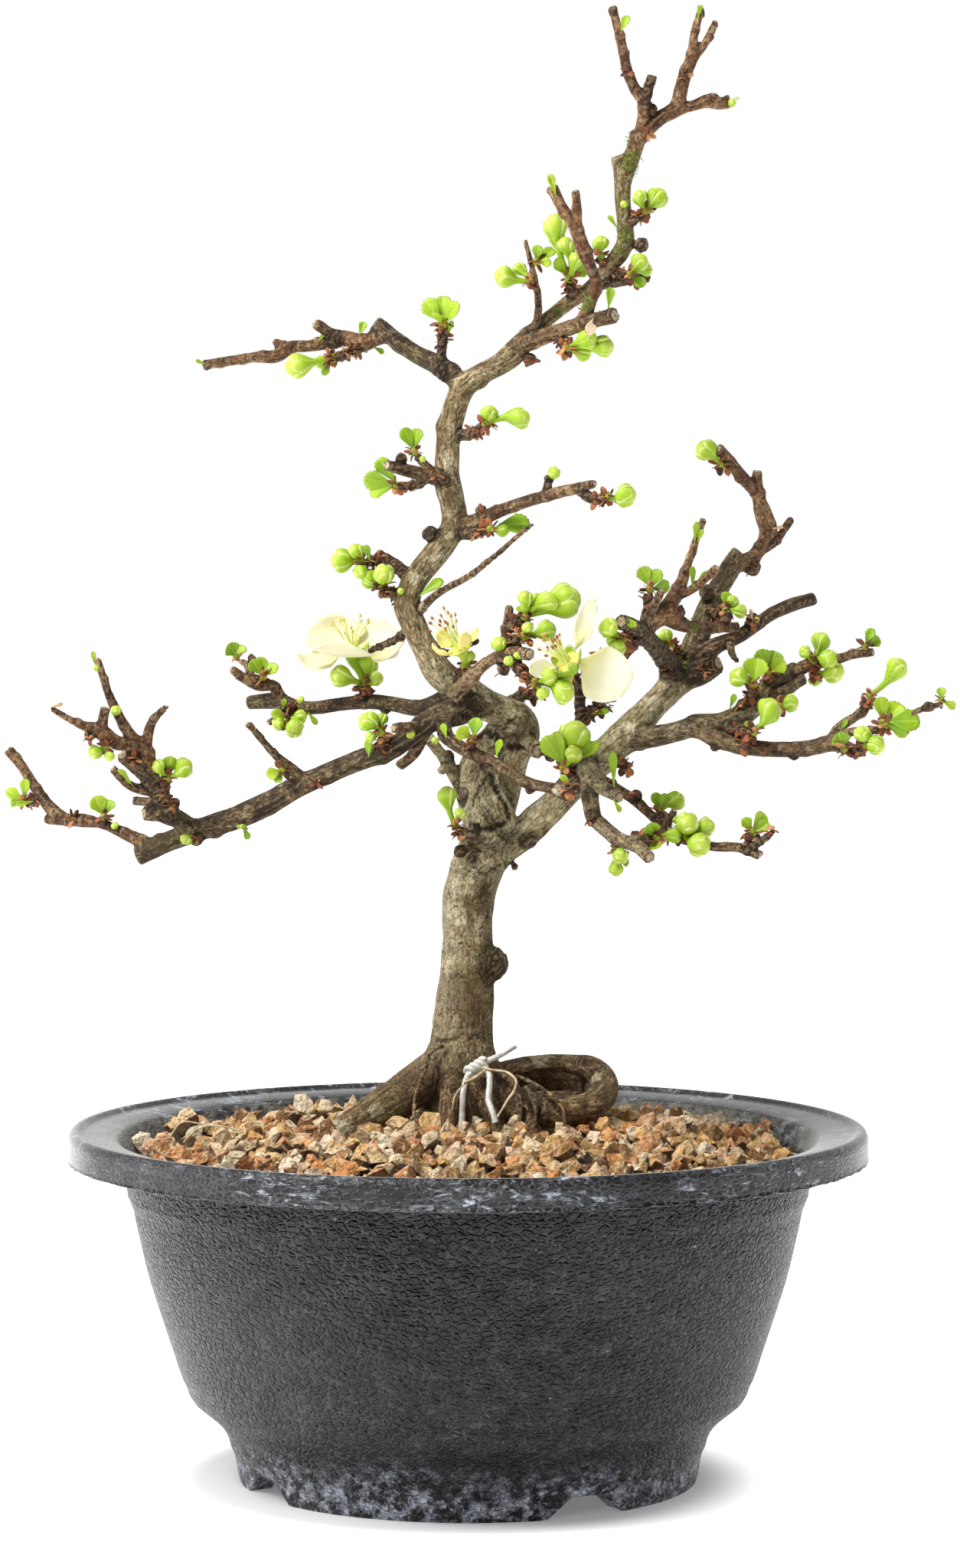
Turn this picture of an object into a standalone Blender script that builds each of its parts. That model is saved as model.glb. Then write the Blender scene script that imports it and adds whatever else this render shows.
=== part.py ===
"""A flowering quince bonsai in a round plastic training pot.

The pot's foot stands on z = 0 and its axis is the z axis. The front of the tree faces -y.
Routes are lists chosen by hand, in millimetres, of points as they appear from the front:
(x, z, depth, radius), with x and z as seen on the plane y = 0 through the pot's axis, and depth
along y. seen() carries each point along its line of sight to its own depth.
"""
import math
import random

import bmesh
import bpy
from mathutils import Matrix, Vector

MM = 0.001

# The eye that the routes are seen from, in mm in front of the pot's axis and above the ground
EYE_DISTANCE = 923.0
EYE_HEIGHT = 185.4

# Driving sizes in mm
RIM_RADIUS = 80.0
LIP_RADIUS = 80.2
FOOT_RADIUS = 45.9
FOOT_INNER_RADIUS = 41.0
COLLAR_BOTTOM = 64.5
RIM_TOP = 70.8
FLOOR_UNDERSIDE = 5.0
FLOOR_TOP = 8.0
POT_SEGMENTS = 32
CLEARANCE = 0.4
SEED = 11

# The pot's outline as (radius, height), from the foot up the outside, over the rim and down inside
POT_OUTLINE = [
    (FOOT_INNER_RADIUS, 0.0),
    (FOOT_RADIUS, 0.0),
    (47.1, 5.7),
    (50.0, 11.8),
    (53.5, 14.9),
    (56.7, 19.4),
    (61.0, 31.7),
    (64.7, 43.9),
    (67.0, 54.7),
    (68.8, COLLAR_BOTTOM),
    (70.4, 67.0),
    (77.6, 67.2),
    (78.2, COLLAR_BOTTOM),
    (LIP_RADIUS, COLLAR_BOTTOM),
    (RIM_RADIUS, 69.0),
    (78.6, RIM_TOP),
    (77.2, 70.1),
    (75.6, 69.7),
    (70.8, 69.0),
    (69.4, 67.6),
    (66.4, 62.0),
    (62.0, 42.0),
    (54.0, 19.4),
    (47.4, 10.8),
    (43.0, FLOOR_TOP),
]
NOTCH_ANGLES = (-60.0, 30.0, 120.0, 210.0)
NOTCH_WIDTH_AT_GROUND = 17.0
NOTCH_WIDTH_AT_TOP = 7.0
NOTCH_HEIGHT = 4.0
CENTRE_DRAIN_RADIUS = 6.0
OUTER_DRAIN_RADIUS = 5.0
OUTER_DRAIN_CIRCLE = 26.0
OUTER_DRAINS = 4
DRAIN_SIDES = 10
OVERCUT = 1.0

# Blades: (share of the length, share of the half width, lift as a share of the length)
LEAF_SHAPE = [(0.0, 0.35, 0.0), (0.5, 0.95, 0.10), (0.82, 0.85, 0.07), (1.0, 0.3, 0.0)]
PETAL_SHAPE = [(0.0, 0.22, 0.0), (0.34, 0.6, 0.10), (0.68, 1.0, 0.12), (0.92, 0.7, 0.05), (1.0, 0.25, 0.0)]
LEAF_THICKNESS = 0.7
PETAL_THICKNESS = 0.65
PETAL_CUP = -0.25
LEAST_HALF_WIDTH = 0.35

# Buds, as shares of their radius except for the neck's own limit in mm
BUD_SIDES = 6
BUD_NECK = 0.6
BUD_TIP_REACH = 1.05
BUD_STATIONS = ((-0.15, 1.0), (0.72, 0.66))

# Blooms, in mm from the centre along the axis or out from it: the green cup, the foot of the
# stamens, and the ring that the petals spring from
CUP_RADIUS = 2.0
CUP_WAIST_RADIUS = 1.5
CUP_DEPTH = 1.2
CUP_BELOW_CENTRE = 1.0
STALK_RADIUS = 0.65
STAMEN_FOOT_RADIUS = 1.0
STAMEN_FOOT_TOP = 1.0
FILAMENTS = 6
FILAMENT_RADIUS = 0.35
ANTHER_RADIUS = 0.55
RING_RADIUS = 3.0
RING_TOP = 0.3
PETAL_SEAT_RADIUS = 2.4
STAMEN_ROOM = 9.0
STAMEN_ROOM_SPREAD = 2.4
FILAMENT_LEAN = (0.22, 0.4)
FILAMENT_REACH = (0.8, 1.0)

# The unions leave many slivers at the crotches: the share of triangles that the wood keeps, and the
# length under which a spray's edges are drawn together
WOOD_SHARE_KEPT = 0.64
SHORT_EDGE = 0.16

# The grit: its height at the wall and at the trunk, how soon it rises to the trunk's, the relief of
# its coarse grains, and its body below the surface as (radius, height)
GRIT_AT_WALL = 66.2
GRIT_AT_TRUNK = 71.0
GRIT_RISE = 1.6
GRIT_RELIEF = 1.1
GRIT_RINGS = 9
GRIT_BODY = [(68.3, 66.0), (65.9, 61.6), (61.5, 42.0), (53.5, 19.7), (47.1, 11.3), (42.8, 8.4)]

# Woody limbs: sides of the tube, then its points (x, z, depth, radius) as seen from the front
LIMBS = {
    "trunk": (10, [
        (-1.5, 60, 8, 7.6), (-1.5, 72, 8, 8.4), (-1.2, 80, 8, 8.1), (-1.3, 84.5, 8, 7.3),
        (-1.2, 88, 8, 6.4), (-1.0, 92, 8, 6.0), (-0.5, 97, 8, 5.75), (-0.3, 103, 8, 5.4),
        (-0.15, 110, 8, 5.1), (0, 115.5, 7.5, 5.2), (0.9, 120, 7, 5.3), (2.3, 124, 6.5, 5.2),
        (3.2, 128, 6, 4.6)]),
    "trunk_bulb": (8, [
        (4, 126.5, 5.5, 4.2), (4, 131, 5, 4.3), (4, 134.5, 4.5, 4.3), (3.8, 137.5, 4, 3.4),
        (3.4, 140.5, 3.5, 1.9), (3.3, 142.4, 3.2, 0.9)]),
    "trunk_right_strand": (8, [
        (5, 130, 8, 3.8), (7, 136.5, 9, 3.0), (8.2, 141, 9, 2.9), (9.3, 145.5, 8.5, 3.2),
        (10.8, 149.3, 8, 3.4), (10.3, 151.8, 7, 3.3), (7.6, 153.5, 5, 3.2), (5, 154.6, 4, 3.1),
        (2, 156, 2.5, 3.3), (-1, 158.4, 1, 3.1), (-4.4, 160.3, 0, 3.05), (-6.6, 162.8, -0.5, 2.9),
        (-8.4, 166, -1, 2.45), (-10.3, 170, -1.5, 2.5), (-12.0, 174.5, -2, 2.5), (-11.6, 178, -1.5, 2.5),
        (-9.7, 181.3, -0.5, 2.5), (-6.7, 185, 0.5, 2.5), (-4.4, 188, 1.5, 2.45), (-2.7, 191.5, 2.3, 2.5),
        (-3.2, 195.5, 3, 2.5), (-4.2, 200, 4, 2.55), (-4.1, 205.5, 5, 2.4), (-3.6, 210.5, 5, 2.45),
        (-2.4, 215, 4.5, 2.35), (-0.6, 218.8, 4.2, 2.3), (2.5, 221, 4, 2.15), (6, 222.8, 4, 2.1),
        (8.8, 225, 4, 2.3), (10.8, 227.3, 4.5, 2.0), (13.8, 230.3, 5.5, 1.5), (17, 232.9, 6.5, 1.4),
        (20.3, 235.5, 7.5, 1.5), (23.6, 237.5, 8.5, 1.5), (26.8, 240.9, 9.5, 1.5), (29.3, 243.8, 10, 1.7),
        (31.2, 247, 10, 1.75), (31.1, 251, 10, 1.6), (30.7, 256, 10, 1.6), (30.6, 261, 10, 1.75),
        (29.7, 264.3, 10, 1.5)]),
    "trunk_left_strand": (6, [
        (2.5, 132, 8, 3.6), (0.8, 138.5, 8, 3.2), (0.8, 142, 8, 2.9), (2.6, 146, 8, 2.6),
        (5.5, 149.4, 7.5, 2.6), (8.5, 151, 7, 2.4)]),
    "apex_stem": (5, [(31.2, 260, 10, 1.4), (33, 265.5, 9.5, 1.6), (33.9, 269, 9, 1.4)]),
    "apex_left": (5, [
        (33.8, 267.5, 9, 1.3), (34.5, 271, 8.5, 1.1), (34.9, 275, 8, 1.2), (33.2, 277.3, 7.5, 1.1),
        (31.6, 281, 7, 1.05), (30.5, 286, 6, 0.95), (29.5, 290, 5.5, 0.85), (28.6, 293.8, 5, 0.85)]),
    "apex_left_stub": (5, [(34.7, 274, 8, 1.0), (36.6, 280.2, 6.5, 0.9)]),
    "apex_right": (5, [
        (34.2, 268, 9, 1.35), (38.3, 271.8, 10, 1.45), (41, 273.5, 11, 1.5), (42.3, 277.5, 12, 1.35),
        (43.2, 280.7, 12.5, 1.35), (44.5, 284, 13, 1.15), (44.7, 287.5, 13.5, 0.85),
        (46.3, 293.5, 14.5, 0.7)]),
    "apex_right_fork": (5, [(44.3, 283.3, 13, 1.0), (46.4, 285.6, 13.5, 0.85), (49.2, 290.8, 15, 0.65)]),
    "apex_right_branch": (5, [
        (41.2, 273.3, 11, 1.3), (45.1, 274.3, 12.5, 1.05), (47.8, 275.1, 13.5, 1.45),
        (50, 274.6, 14.5, 1.2), (52, 274.8, 15.5, 1.1)]),
    "leader_dark_stub": (5, [(25.8, 238.8, 9, 1.2), (31, 239.6, 12, 1.05), (36, 240.3, 15, 1.0)]),
    "lower_fork": (5, [
        (10.5, 226.8, 3.5, 1.7), (14, 228.1, 1, 1.6), (20.3, 230.3, -3, 1.5), (25.5, 231.8, -6, 1.5),
        (29.2, 232.7, -8, 1.6)]),
    "reddish_twig": (5, [
        (22.6, 231.2, -4.5, 1.3), (24, 234.5, -5, 1.3), (25.4, 239.5, -5.5, 1.1), (24.2, 242.5, -5.5, 1.25),
        (23.2, 245, -5.5, 1.4), (21.3, 250, -5.5, 1.25), (18.1, 255, -4.5, 1.1), (16.6, 258.3, -4, 1.15)]),
    "reddish_twig_stub": (5, [(21.5, 249, -5.5, 1.1), (21.7, 252.8, -6.5, 0.95), (21.3, 257.4, -8, 0.8)]),
    "thorn_twig": (5, [
        (11.2, 228, 4.5, 1.0), (13.6, 231.5, 3.5, 0.75), (13.9, 236, 2.5, 0.7), (13.2, 240, 1.5, 0.65),
        (11.3, 248, 0.5, 0.35)]),
    "upper_left": (6, [
        (-1.2, 219, 4.8, 2.0), (-5.5, 222.6, 7, 2.0), (-10, 224.8, 10, 1.8), (-14.4, 227.8, 12.5, 1.7),
        (-17.3, 230, 14.5, 1.8), (-18.7, 231, 15.5, 1.7)]),
    "upper_left_twig": (5, [
        (-16.5, 228.6, 14, 1.4), (-21.4, 227.4, 16, 1.6), (-24.9, 228.2, 17.5, 1.5),
        (-28.4, 227.2, 19, 1.35), (-32, 226.6, 20, 1.15), (-35.5, 226.3, 21, 1.3),
        (-37.5, 224.9, 21.5, 1.35), (-42.5, 224.4, 23, 1.05), (-52.9, 222.8, 27, 1.0)]),
    "upper_left_stub": (5, [(-25.7, 228, 18, 1.2), (-30.6, 231.2, 16.5, 1.0)]),
    "upper_left_tip_stub": (5, [(-35.5, 226, 21, 1.1), (-38.7, 227.5, 22.5, 0.8)]),
    "upper_left_spur": (5, [(-19.5, 227, 15.5, 1.0), (-26.5, 224.3, 14.5, 0.8)]),
    "fan_spur": (5, [(-5.7, 221.8, 7, 1.2), (-5.3, 226, 6, 0.9), (-5.1, 230.3, 5, 0.85)]),
    "top_spur": (5, [(30.6, 250, 10, 1.0), (33.2, 251.8, 8.5, 0.8), (35, 252.8, 7.5, 0.75)]),
    "single_bud_spur": (5, [(27.7, 241.6, 9.7, 1.0), (26.4, 243.8, 9, 0.7)]),
    "low_leader_spur": (5, [(28, 241.7, 9.8, 1.0), (31.6, 240.6, 8, 0.75)]),
    "big_cluster_spur": (5, [(20.9, 235.8, 7.6, 1.0), (20.3, 239.3, 5, 0.8)]),
    "under_fork_spur": (5, [(17.4, 229.4, -1, 1.0), (18.9, 226.7, -3, 0.8)]),
    "neck_spur": (5, [(-3.4, 209, 5, 1.3), (0.5, 209.2, 2.5, 1.0), (3, 210.6, 1, 0.9)]),
    "mid_left": (5, [
        (-3.6, 199.6, 4, 1.7), (-8.5, 201, 1.5, 1.4), (-11.8, 201.8, 0, 1.3), (-16.3, 203, -2, 1.1)]),
    "mid_left_hook": (5, [
        (-4, 199.5, 3, 1.2), (-5.8, 201, -1, 0.9), (-8.1, 202.6, -3, 0.85), (-10.4, 205, -4.5, 0.8)]),
    "mid_left_spur": (5, [(-8.2, 200.6, 2, 1.0), (-10.4, 199.1, 3.5, 0.8), (-13.4, 198.8, 4.5, 0.75)]),
    "mid_right": (5, [
        (-2.9, 191.4, 2.3, 1.9), (0.7, 191.4, 0, 1.7), (4.2, 193, -3, 1.4), (10, 195.2, -7, 1.2),
        (19.8, 198, -13, 1.1), (25.4, 199.3, -16.5, 0.75)]),
    "mid_right_spur": (5, [(22, 198.3, -14.2, 1.0), (24.8, 196.2, -15, 0.9), (27.4, 196.3, -16, 0.9)]),
    "mid_right_shoot_spur": (5, [(-1.5, 189.6, 1.5, 1.3), (1.3, 189.3, -2, 1.0), (3.6, 190.1, -3.5, 0.8)]),
    "thin_twig": (5, [
        (-9.5, 174.3, -3, 1.0), (-6.9, 176.8, -5, 0.75), (0.1, 180.9, -9, 0.65), (5.9, 185.4, -12, 0.5),
        (10.8, 189.7, -14, 0.4), (13, 191.3, -15, 0.3)]),
    "mid_cluster_stub": (5, [(-10.6, 179.2, -1.2, 1.5), (-13.2, 182, 0, 1.25), (-18.6, 185.4, 3, 1.2)]),
    "mid_cluster_spur": (5, [(-11.6, 175, -2, 1.2), (-16.3, 178.3, -1, 0.85)]),
    "mid_cluster_outer_spur": (5, [(-16, 184, 1.8, 1.0), (-20.4, 183.6, 1, 0.75)]),
    "left_limb": (6, [
        (2.5, 155.5, 2, 2.4), (-3, 153.6, -4, 2.8), (-6.1, 152.8, -6, 2.5), (-9.5, 150.6, -6.5, 2.1),
        (-15, 146.6, -6, 2.15), (-20, 144.8, -4.5, 2.1), (-30, 140.7, -1, 2.1), (-35, 138.4, 0.5, 2.3),
        (-40, 135.5, 2, 2.35), (-45, 133.2, 4, 2.4), (-55, 129.8, 8, 2.2), (-60, 127.8, 10, 2.0),
        (-64.2, 126, 12, 2.1), (-66.2, 124.9, 13, 1.9)]),
    "left_tip": (5, [
        (-62.8, 126.6, 11.5, 1.6), (-67.6, 129, 13, 1.3), (-74, 131.6, 16.5, 1.05), (-77.3, 132.1, 18, 1.4),
        (-80.5, 132.1, 19.5, 1.1), (-84.7, 132.3, 21.5, 0.9)]),
    "left_tip_rise": (5, [
        (-80, 132.2, 19.4, 1.1), (-82.8, 133.9, 20.5, 1.3), (-85.4, 137.1, 22, 1.15),
        (-89.9, 143.9, 24.5, 1.05), (-92, 146.4, 25.5, 1.1)]),
    "left_tip_spur": (5, [(-85, 136.8, 22, 0.9), (-88, 135.8, 22.5, 0.7)]),
    "left_group": (6, [
        (-54.3, 129.8, 7.8, 1.9), (-58, 132.3, 5, 1.9), (-61.2, 133.7, 3, 1.95), (-64.9, 133.4, 1.5, 1.4)]),
    "left_group_stem": (6, [
        (-60, 133.2, 3.5, 1.8), (-61.3, 136.5, 2, 1.8), (-63.4, 140.1, -0.5, 1.7),
        (-65.7, 142.7, -2.5, 1.7), (-69, 145.3, -4.5, 1.5)]),
    "left_group_rise": (5, [
        (-63.3, 140.6, -0.8, 1.5), (-65, 146.9, -3.5, 1.5), (-67, 148.5, -5, 1.3), (-68.6, 150.9, -6, 1.1),
        (-70.9, 155.3, -7, 0.9), (-74.1, 164.5, -8.5, 0.65)]),
    "left_group_outer": (5, [
        (-66, 147.4, -4.5, 1.3), (-69.6, 147.5, -7, 1.35), (-73.8, 150.1, -10.5, 1.5),
        (-77.3, 151.2, -12.5, 0.85), (-83.5, 154.6, -15, 0.5)]),
    "left_group_outer_stub": (5, [(-73.3, 149.8, -10.3, 1.1), (-72.5, 154.7, -11.5, 0.9)]),
    "left_group_low_twig": (5, [
        (-62, 137.6, 1.2, 1.1), (-67.6, 139.1, -1, 0.95), (-71.1, 142.5, -2.5, 0.8)]),
    "left_group_low_stub": (5, [(-60.9, 135.4, 2.4, 1.1), (-67, 136.1, 5.5, 0.8)]),
    "left_group_inner_twig": (5, [
        (-64.6, 144.6, -2.8, 1.1), (-63, 152, -5, 0.9), (-60.2, 155, -6.5, 0.55)]),
    "left_group_bud_spur": (5, [(-61.4, 136.3, 1.8, 1.1), (-60.3, 139.8, -1, 0.85)]),
    "left_limb_twig": (5, [
        (-32.6, 139.9, -0.3, 1.4), (-36, 142.9, -2.5, 1.15), (-38.2, 144.9, -4, 0.85),
        (-44.1, 151.7, -6, 0.7)]),
    "back_left": (6, [
        (-3.5, 156.8, 1, 2.0), (-10, 154.6, 6, 1.6), (-15, 155.4, 10, 1.5), (-19.5, 155.9, 13, 1.45),
        (-25, 155.4, 17, 1.35), (-34.4, 154.8, 23, 1.4), (-37.6, 155.9, 25, 1.6), (-44, 155.6, 30, 1.3)]),
    "back_left_rise": (5, [
        (-37.2, 155.8, 25, 1.3), (-39.2, 159.1, 23.5, 1.1), (-41.5, 159.1, 22.5, 1.15),
        (-47.5, 162.5, 20.5, 0.7)]),
    "back_left_rise_stub": (5, [
        (-43.3, 160, 21.9, 0.9), (-43.9, 163, 22.7, 0.7), (-45.6, 164.2, 23.4, 0.5)]),
    "back_left_bud_spur": (5, [(-34.8, 154.9, 23.2, 1.1), (-36, 152.6, 20.5, 0.85)]),
    "limb_bud_spur": (5, [(-17.2, 145.6, -5.6, 1.2), (-17, 149, -8.5, 0.85)]),
    "limb_ring_stub": (5, [(-8.8, 151, -6.4, 1.2), (-15, 150.5, -12, 1.0)]),
    "limb_low_stub": (5, [(-8.6, 150, -6, 1.3), (-11, 145.3, -3, 1.1), (-14, 142.8, -1, 1.0)]),
    "left_flower_spur": (5, [(-20.6, 155.6, 13.8, 1.1), (-20.6, 158.3, 11.5, 0.9)]),
    "front_twig": (5, [
        (-2.2, 157.6, -0.5, 1.7), (-0.8, 159.2, -5, 1.45), (1.1, 161.3, -10, 1.3), (3.6, 163.5, -14, 1.15),
        (7, 165.4, -18, 1.25), (12.4, 165.3, -25, 1.3)]),
    "front_twig_rise": (5, [(7.1, 164.8, -18.5, 1.2), (7.6, 169, -18, 1.0), (8.3, 175.1, -17, 0.8)]),
    "front_bud_spur": (5, [(7.6, 170.3, -17.8, 1.0), (10.6, 172.3, -19, 1.0)]),
    "front_low_bud_spur": (5, [(7.3, 167.4, -18.2, 1.0), (10.6, 168.5, -20, 0.9)]),
    "front_hanging_spur": (5, [(8.8, 165, -20.5, 1.3), (10.3, 162.2, -21.5, 1.2), (12.7, 160.2, -23, 1.1)]),
    "trunk_dark_spur": (5, [(8.8, 153.6, 6, 1.3), (9.6, 156.6, 7.5, 1.0), (13.8, 157.4, 9, 0.9)]),
    "middle_flower_spur": (5, [(-1.6, 159.6, -1, 1.4), (-0.5, 162.3, -3.5, 1.0)]),
    "front_crossing_twig": (5, [
        (-4.9, 152.1, -6.2, 1.6), (-4.3, 148.9, -9.5, 1.5), (-1.1, 146.5, -12, 1.35),
        (5.1, 143.7, -15, 1.2), (11.4, 139.9, -19, 1.15), (17.7, 138.2, -23, 1.2),
        (20.2, 137.2, -24, 1.5)]),
    "crossing_leaf_spur": (5, [(0.6, 145.8, -12.3, 0.9), (0.8, 147.6, -13.5, 0.8)]),
    "trunk_ring_stub": (5, [(10.6, 148.2, 7, 1.7), (14.2, 145.9, 1, 1.3)]),
    "trunk_bud_spur": (5, [(-1.8, 125.6, 3.5, 1.3), (-2.9, 128.6, 0.5, 1.1), (-2.5, 130.4, -0.5, 0.9)]),
    "right_limb": (8, [
        (1.5, 124, 6.5, 4.3), (5.5, 126.3, 6, 3.9), (10.4, 129, 5, 3.3), (14.4, 132.7, 4.5, 3.15),
        (17.4, 135.5, 4, 2.95), (22, 140.4, 4, 3.0), (27.5, 145.4, 4, 3.3), (32.2, 149.9, 5, 3.3),
        (36.9, 154.9, 6.5, 2.8), (40.4, 158.6, 8, 2.9), (43, 162, 10.5, 3.0)]),
    "right_back_spur": (5, [
        (23.6, 142.6, 5, 1.4), (22.3, 149, 10, 1.1), (22.5, 152, 11, 1.0), (27.4, 155.4, 13, 1.0)]),
    "right_back_spur_fork": (5, [(22.4, 151.2, 11, 0.9), (22.2, 157, 11.5, 0.95), (21, 161.4, 12, 0.9)]),
    "limb_tip_spur": (5, [(28.5, 144.5, 2.5, 1.2), (32.3, 142.7, 0, 0.75)]),
    "green_stub_spur": (5, [(21.8, 140.8, 2, 1.3), (19.7, 142.1, -1.4, 0.9)]),
    "green_cut_stub": (6, [
        (23.2, 143, 2, 2.3), (23.8, 142, -4, 2.0), (24.9, 140.7, -8, 2.0), (26.9, 138.7, -12, 1.5),
        (30.3, 136.7, -17, 1.25)]),
    "front_low": (6, [
        (24.6, 140.2, -7, 1.8), (24.3, 137.3, -9, 1.7), (24.6, 135.2, -11, 1.7), (25.2, 132.6, -13, 1.6),
        (26.9, 130.9, -15, 1.55), (29.3, 128.9, -18, 1.5), (34.3, 126.6, -24, 1.4),
        (36.3, 124.6, -27, 1.3)]),
    "front_low_bud_base": (5, [(29.4, 128.3, -18, 1.0), (29.6, 126.9, -18.5, 0.8)]),
    "front_low_side_spur": (5, [(33, 127.8, -22.4, 1.2), (36.9, 128.5, -19, 0.95)]),
    "long_thin": (5, [
        (24.6, 141.2, -6.5, 1.3), (28.6, 139.2, -3.5, 1.05), (32.6, 136.6, -4.5, 1.05),
        (36.9, 132.9, -8, 1.0), (40.3, 129.6, -12, 1.1), (43.5, 128.2, -14, 1.0), (48.9, 126.9, -16, 0.95),
        (55, 126.5, -20, 0.95), (58.5, 125, -22, 0.95)]),
    "long_thin_end_spur": (5, [
        (56.2, 126.3, -20.7, 0.9), (59, 128.2, -22.5, 0.65), (61.3, 130.2, -24, 0.5)]),
    "long_thin_leaf_spur": (5, [(55.9, 126.5, -20.4, 1.0), (56.5, 128.8, -18.5, 0.9)]),
    "long_thin_bud_spur": (5, [(38.6, 131.2, -9.9, 1.0), (38.4, 133.4, -7, 0.75)]),
    "long_thin_stub": (5, [(39.4, 130.6, -11, 0.9), (41.3, 134.2, -14, 0.7)]),
    "long_thin_leaf_base": (5, [(28.9, 138.9, -3.6, 0.9), (29.1, 140.3, -2, 0.6)]),
    "arching": (6, [
        (31, 148.6, 4.5, 2.6), (36.9, 148.9, 1, 2.2), (41.5, 149.8, -1, 2.05), (46.6, 151.2, -3, 2.1),
        (50.3, 151.6, -3, 2.0), (53.9, 153.1, -2, 2.0), (56.5, 154.4, -0.5, 2.1), (57.8, 156.2, 1, 2.15),
        (59.5, 158, 3, 2.1), (61.6, 159.6, 5, 2.0), (65.9, 162.5, 9, 1.75)]),
    "arching_stub": (5, [(59, 156, 3, 1.4), (61.6, 157.2, 2, 1.2), (67.4, 160.5, 4.5, 0.95)]),
    "arching_top_twig": (5, [
        (64, 161, 7.5, 1.4), (68.2, 163.3, 5, 1.3), (72, 163.8, 3, 1.0), (77, 165.3, 0, 0.9),
        (80.8, 165.7, -2, 0.85)]),
    "arching_bud_spur": (5, [(56.2, 154.8, -0.3, 1.1), (56.9, 158.6, -3.5, 0.85)]),
    "arching_fan_spur": (5, [(60, 158.5, 3.3, 1.1), (59.9, 161, 1.5, 0.75)]),
    "arching_low": (6, [
        (46, 150.4, -3, 1.9), (50.3, 148.2, -5, 1.8), (56.5, 146.7, -7, 1.6), (63.8, 146.3, -9, 1.55),
        (70.4, 147, -11, 1.6), (72.9, 147.6, -12, 1.65), (75, 146.9, -13, 1.4), (79.3, 145.6, -15, 0.85)]),
    "arching_low_rise": (5, [
        (72.6, 147.8, -11.6, 1.3), (74, 150.3, -11, 1.1), (78, 153.3, -10, 0.9), (81.9, 156.6, -9, 0.45)]),
    "arching_low_bud_spur": (5, [(78.6, 153.6, -9.9, 0.9), (79.9, 156.2, -11, 0.75)]),
    "arching_tip": (5, [
        (73, 148.4, -12, 1.1), (76.2, 149.7, -13.5, 0.9), (81.5, 150.2, -16, 0.8), (84.5, 150.8, -17, 0.75),
        (89.7, 154, -18.5, 0.6), (94.9, 155.5, -20, 0.55)]),
    "arching_knuckle_spur": (5, [(55, 146.8, -6.8, 1.3), (56.3, 148.9, -9.5, 1.0)]),
    "arching_dark_spur": (5, [(50.2, 151.3, -3.4, 1.1), (53.2, 150.4, -5.5, 1.0), (56, 149.2, -8.5, 0.9)]),
    "arching_right_bud_spur": (5, [(60.2, 157.6, 2.6, 1.0), (61.8, 155.6, -0.5, 0.75)]),
    "arching_round_leaf_spur": (5, [(74.8, 147, -13, 0.9), (75.3, 146, -15.5, 0.7)]),
    "arching_outer_bud_spur": (5, [(78, 146, -14.4, 1.0), (79.2, 146.6, -16.5, 0.8)]),
    "arching_tip_leaf_spur": (5, [(82.6, 150.3, -16.3, 0.8), (83, 150.9, -18, 0.7)]),
    "upper_right": (6, [
        (42.2, 161, 10, 3.0), (44.8, 166, 14, 2.55), (46.3, 170, 17, 2.35), (47.9, 175, 20, 2.1),
        (50.6, 179.5, 24, 2.1), (52.6, 183, 27, 2.0), (54.1, 185.8, 29, 1.55)]),
    "upper_right_top": (6, [
        (53, 183, 27.5, 1.6), (56.1, 184, 30, 1.6), (59.1, 188.4, 32.5, 1.3), (59.7, 190.4, 33, 1.7),
        (59.2, 192.2, 33, 1.8), (58.3, 194.9, 32.5, 1.5), (57.6, 199.3, 31.5, 1.1),
        (57.6, 201.8, 31, 0.98)]),
    "upper_right_top_left": (5, [
        (57.6, 197.4, 32, 1.2), (54.5, 200.7, 29.5, 1.2), (51.2, 204.8, 26.5, 1.1),
        (49.8, 206.3, 25, 1.1)]),
    "upper_right_top_stub": (5, [
        (58.2, 185.8, 31.8, 1.0), (60.3, 187, 33.5, 0.85), (64.6, 192.5, 36.5, 0.75)]),
    "upper_right_bud_spur": (5, [(52.4, 203.4, 27.6, 0.9), (50.8, 202.9, 26.8, 0.7)]),
    "outward": (6, [
        (43.5, 163.4, 11, 2.3), (49.5, 167, 13, 1.7), (53.2, 168.5, 15, 1.5), (61.6, 173.9, 20, 1.3),
        (65.7, 175.5, 23, 1.35), (69.2, 176.5, 25, 1.25)]),
    "upper_right_side_spur": (5, [(47.6, 172.6, 18.5, 1.1), (50.9, 173.9, 15.5, 0.9)]),
    "dead_stub": (6, [(42.5, 160.5, 9, 2.6), (47, 162, 6, 2.4), (50, 163.6, 4.5, 1.6)]),
    "forward_cut": (6, [
        (41.8, 161.3, 9, 2.5), (39.5, 164.2, 2, 2.0), (38.3, 165.7, -2, 1.9), (35.3, 168.8, -9, 1.7),
        (32.3, 171, -16, 1.6), (30.5, 171.8, -20, 1.45)]),
    "forward_twig": (5, [
        (34.9, 168.8, -9.5, 1.5), (35.4, 171.3, -10.5, 1.3), (36.7, 174.2, -12, 0.95),
        (38.7, 178.2, -14, 0.8)]),
    "forward_leaf_spur": (5, [(35.2, 171, -10.3, 1.0), (35.7, 174.7, -8.5, 0.75), (36.1, 177.3, -8, 0.85)]),
    "forward_bud_spur": (5, [(34.2, 169.3, -12, 1.1), (32.7, 167, -14, 0.95), (31.2, 168, -17.5, 0.85)]),
    "forward_dark_spur": (5, [(32.9, 167.3, -13.8, 0.9), (30.3, 164.6, -13, 1.0), (26.3, 165.3, -11, 0.9)]),
    "pink_rise": (5, [
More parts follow.
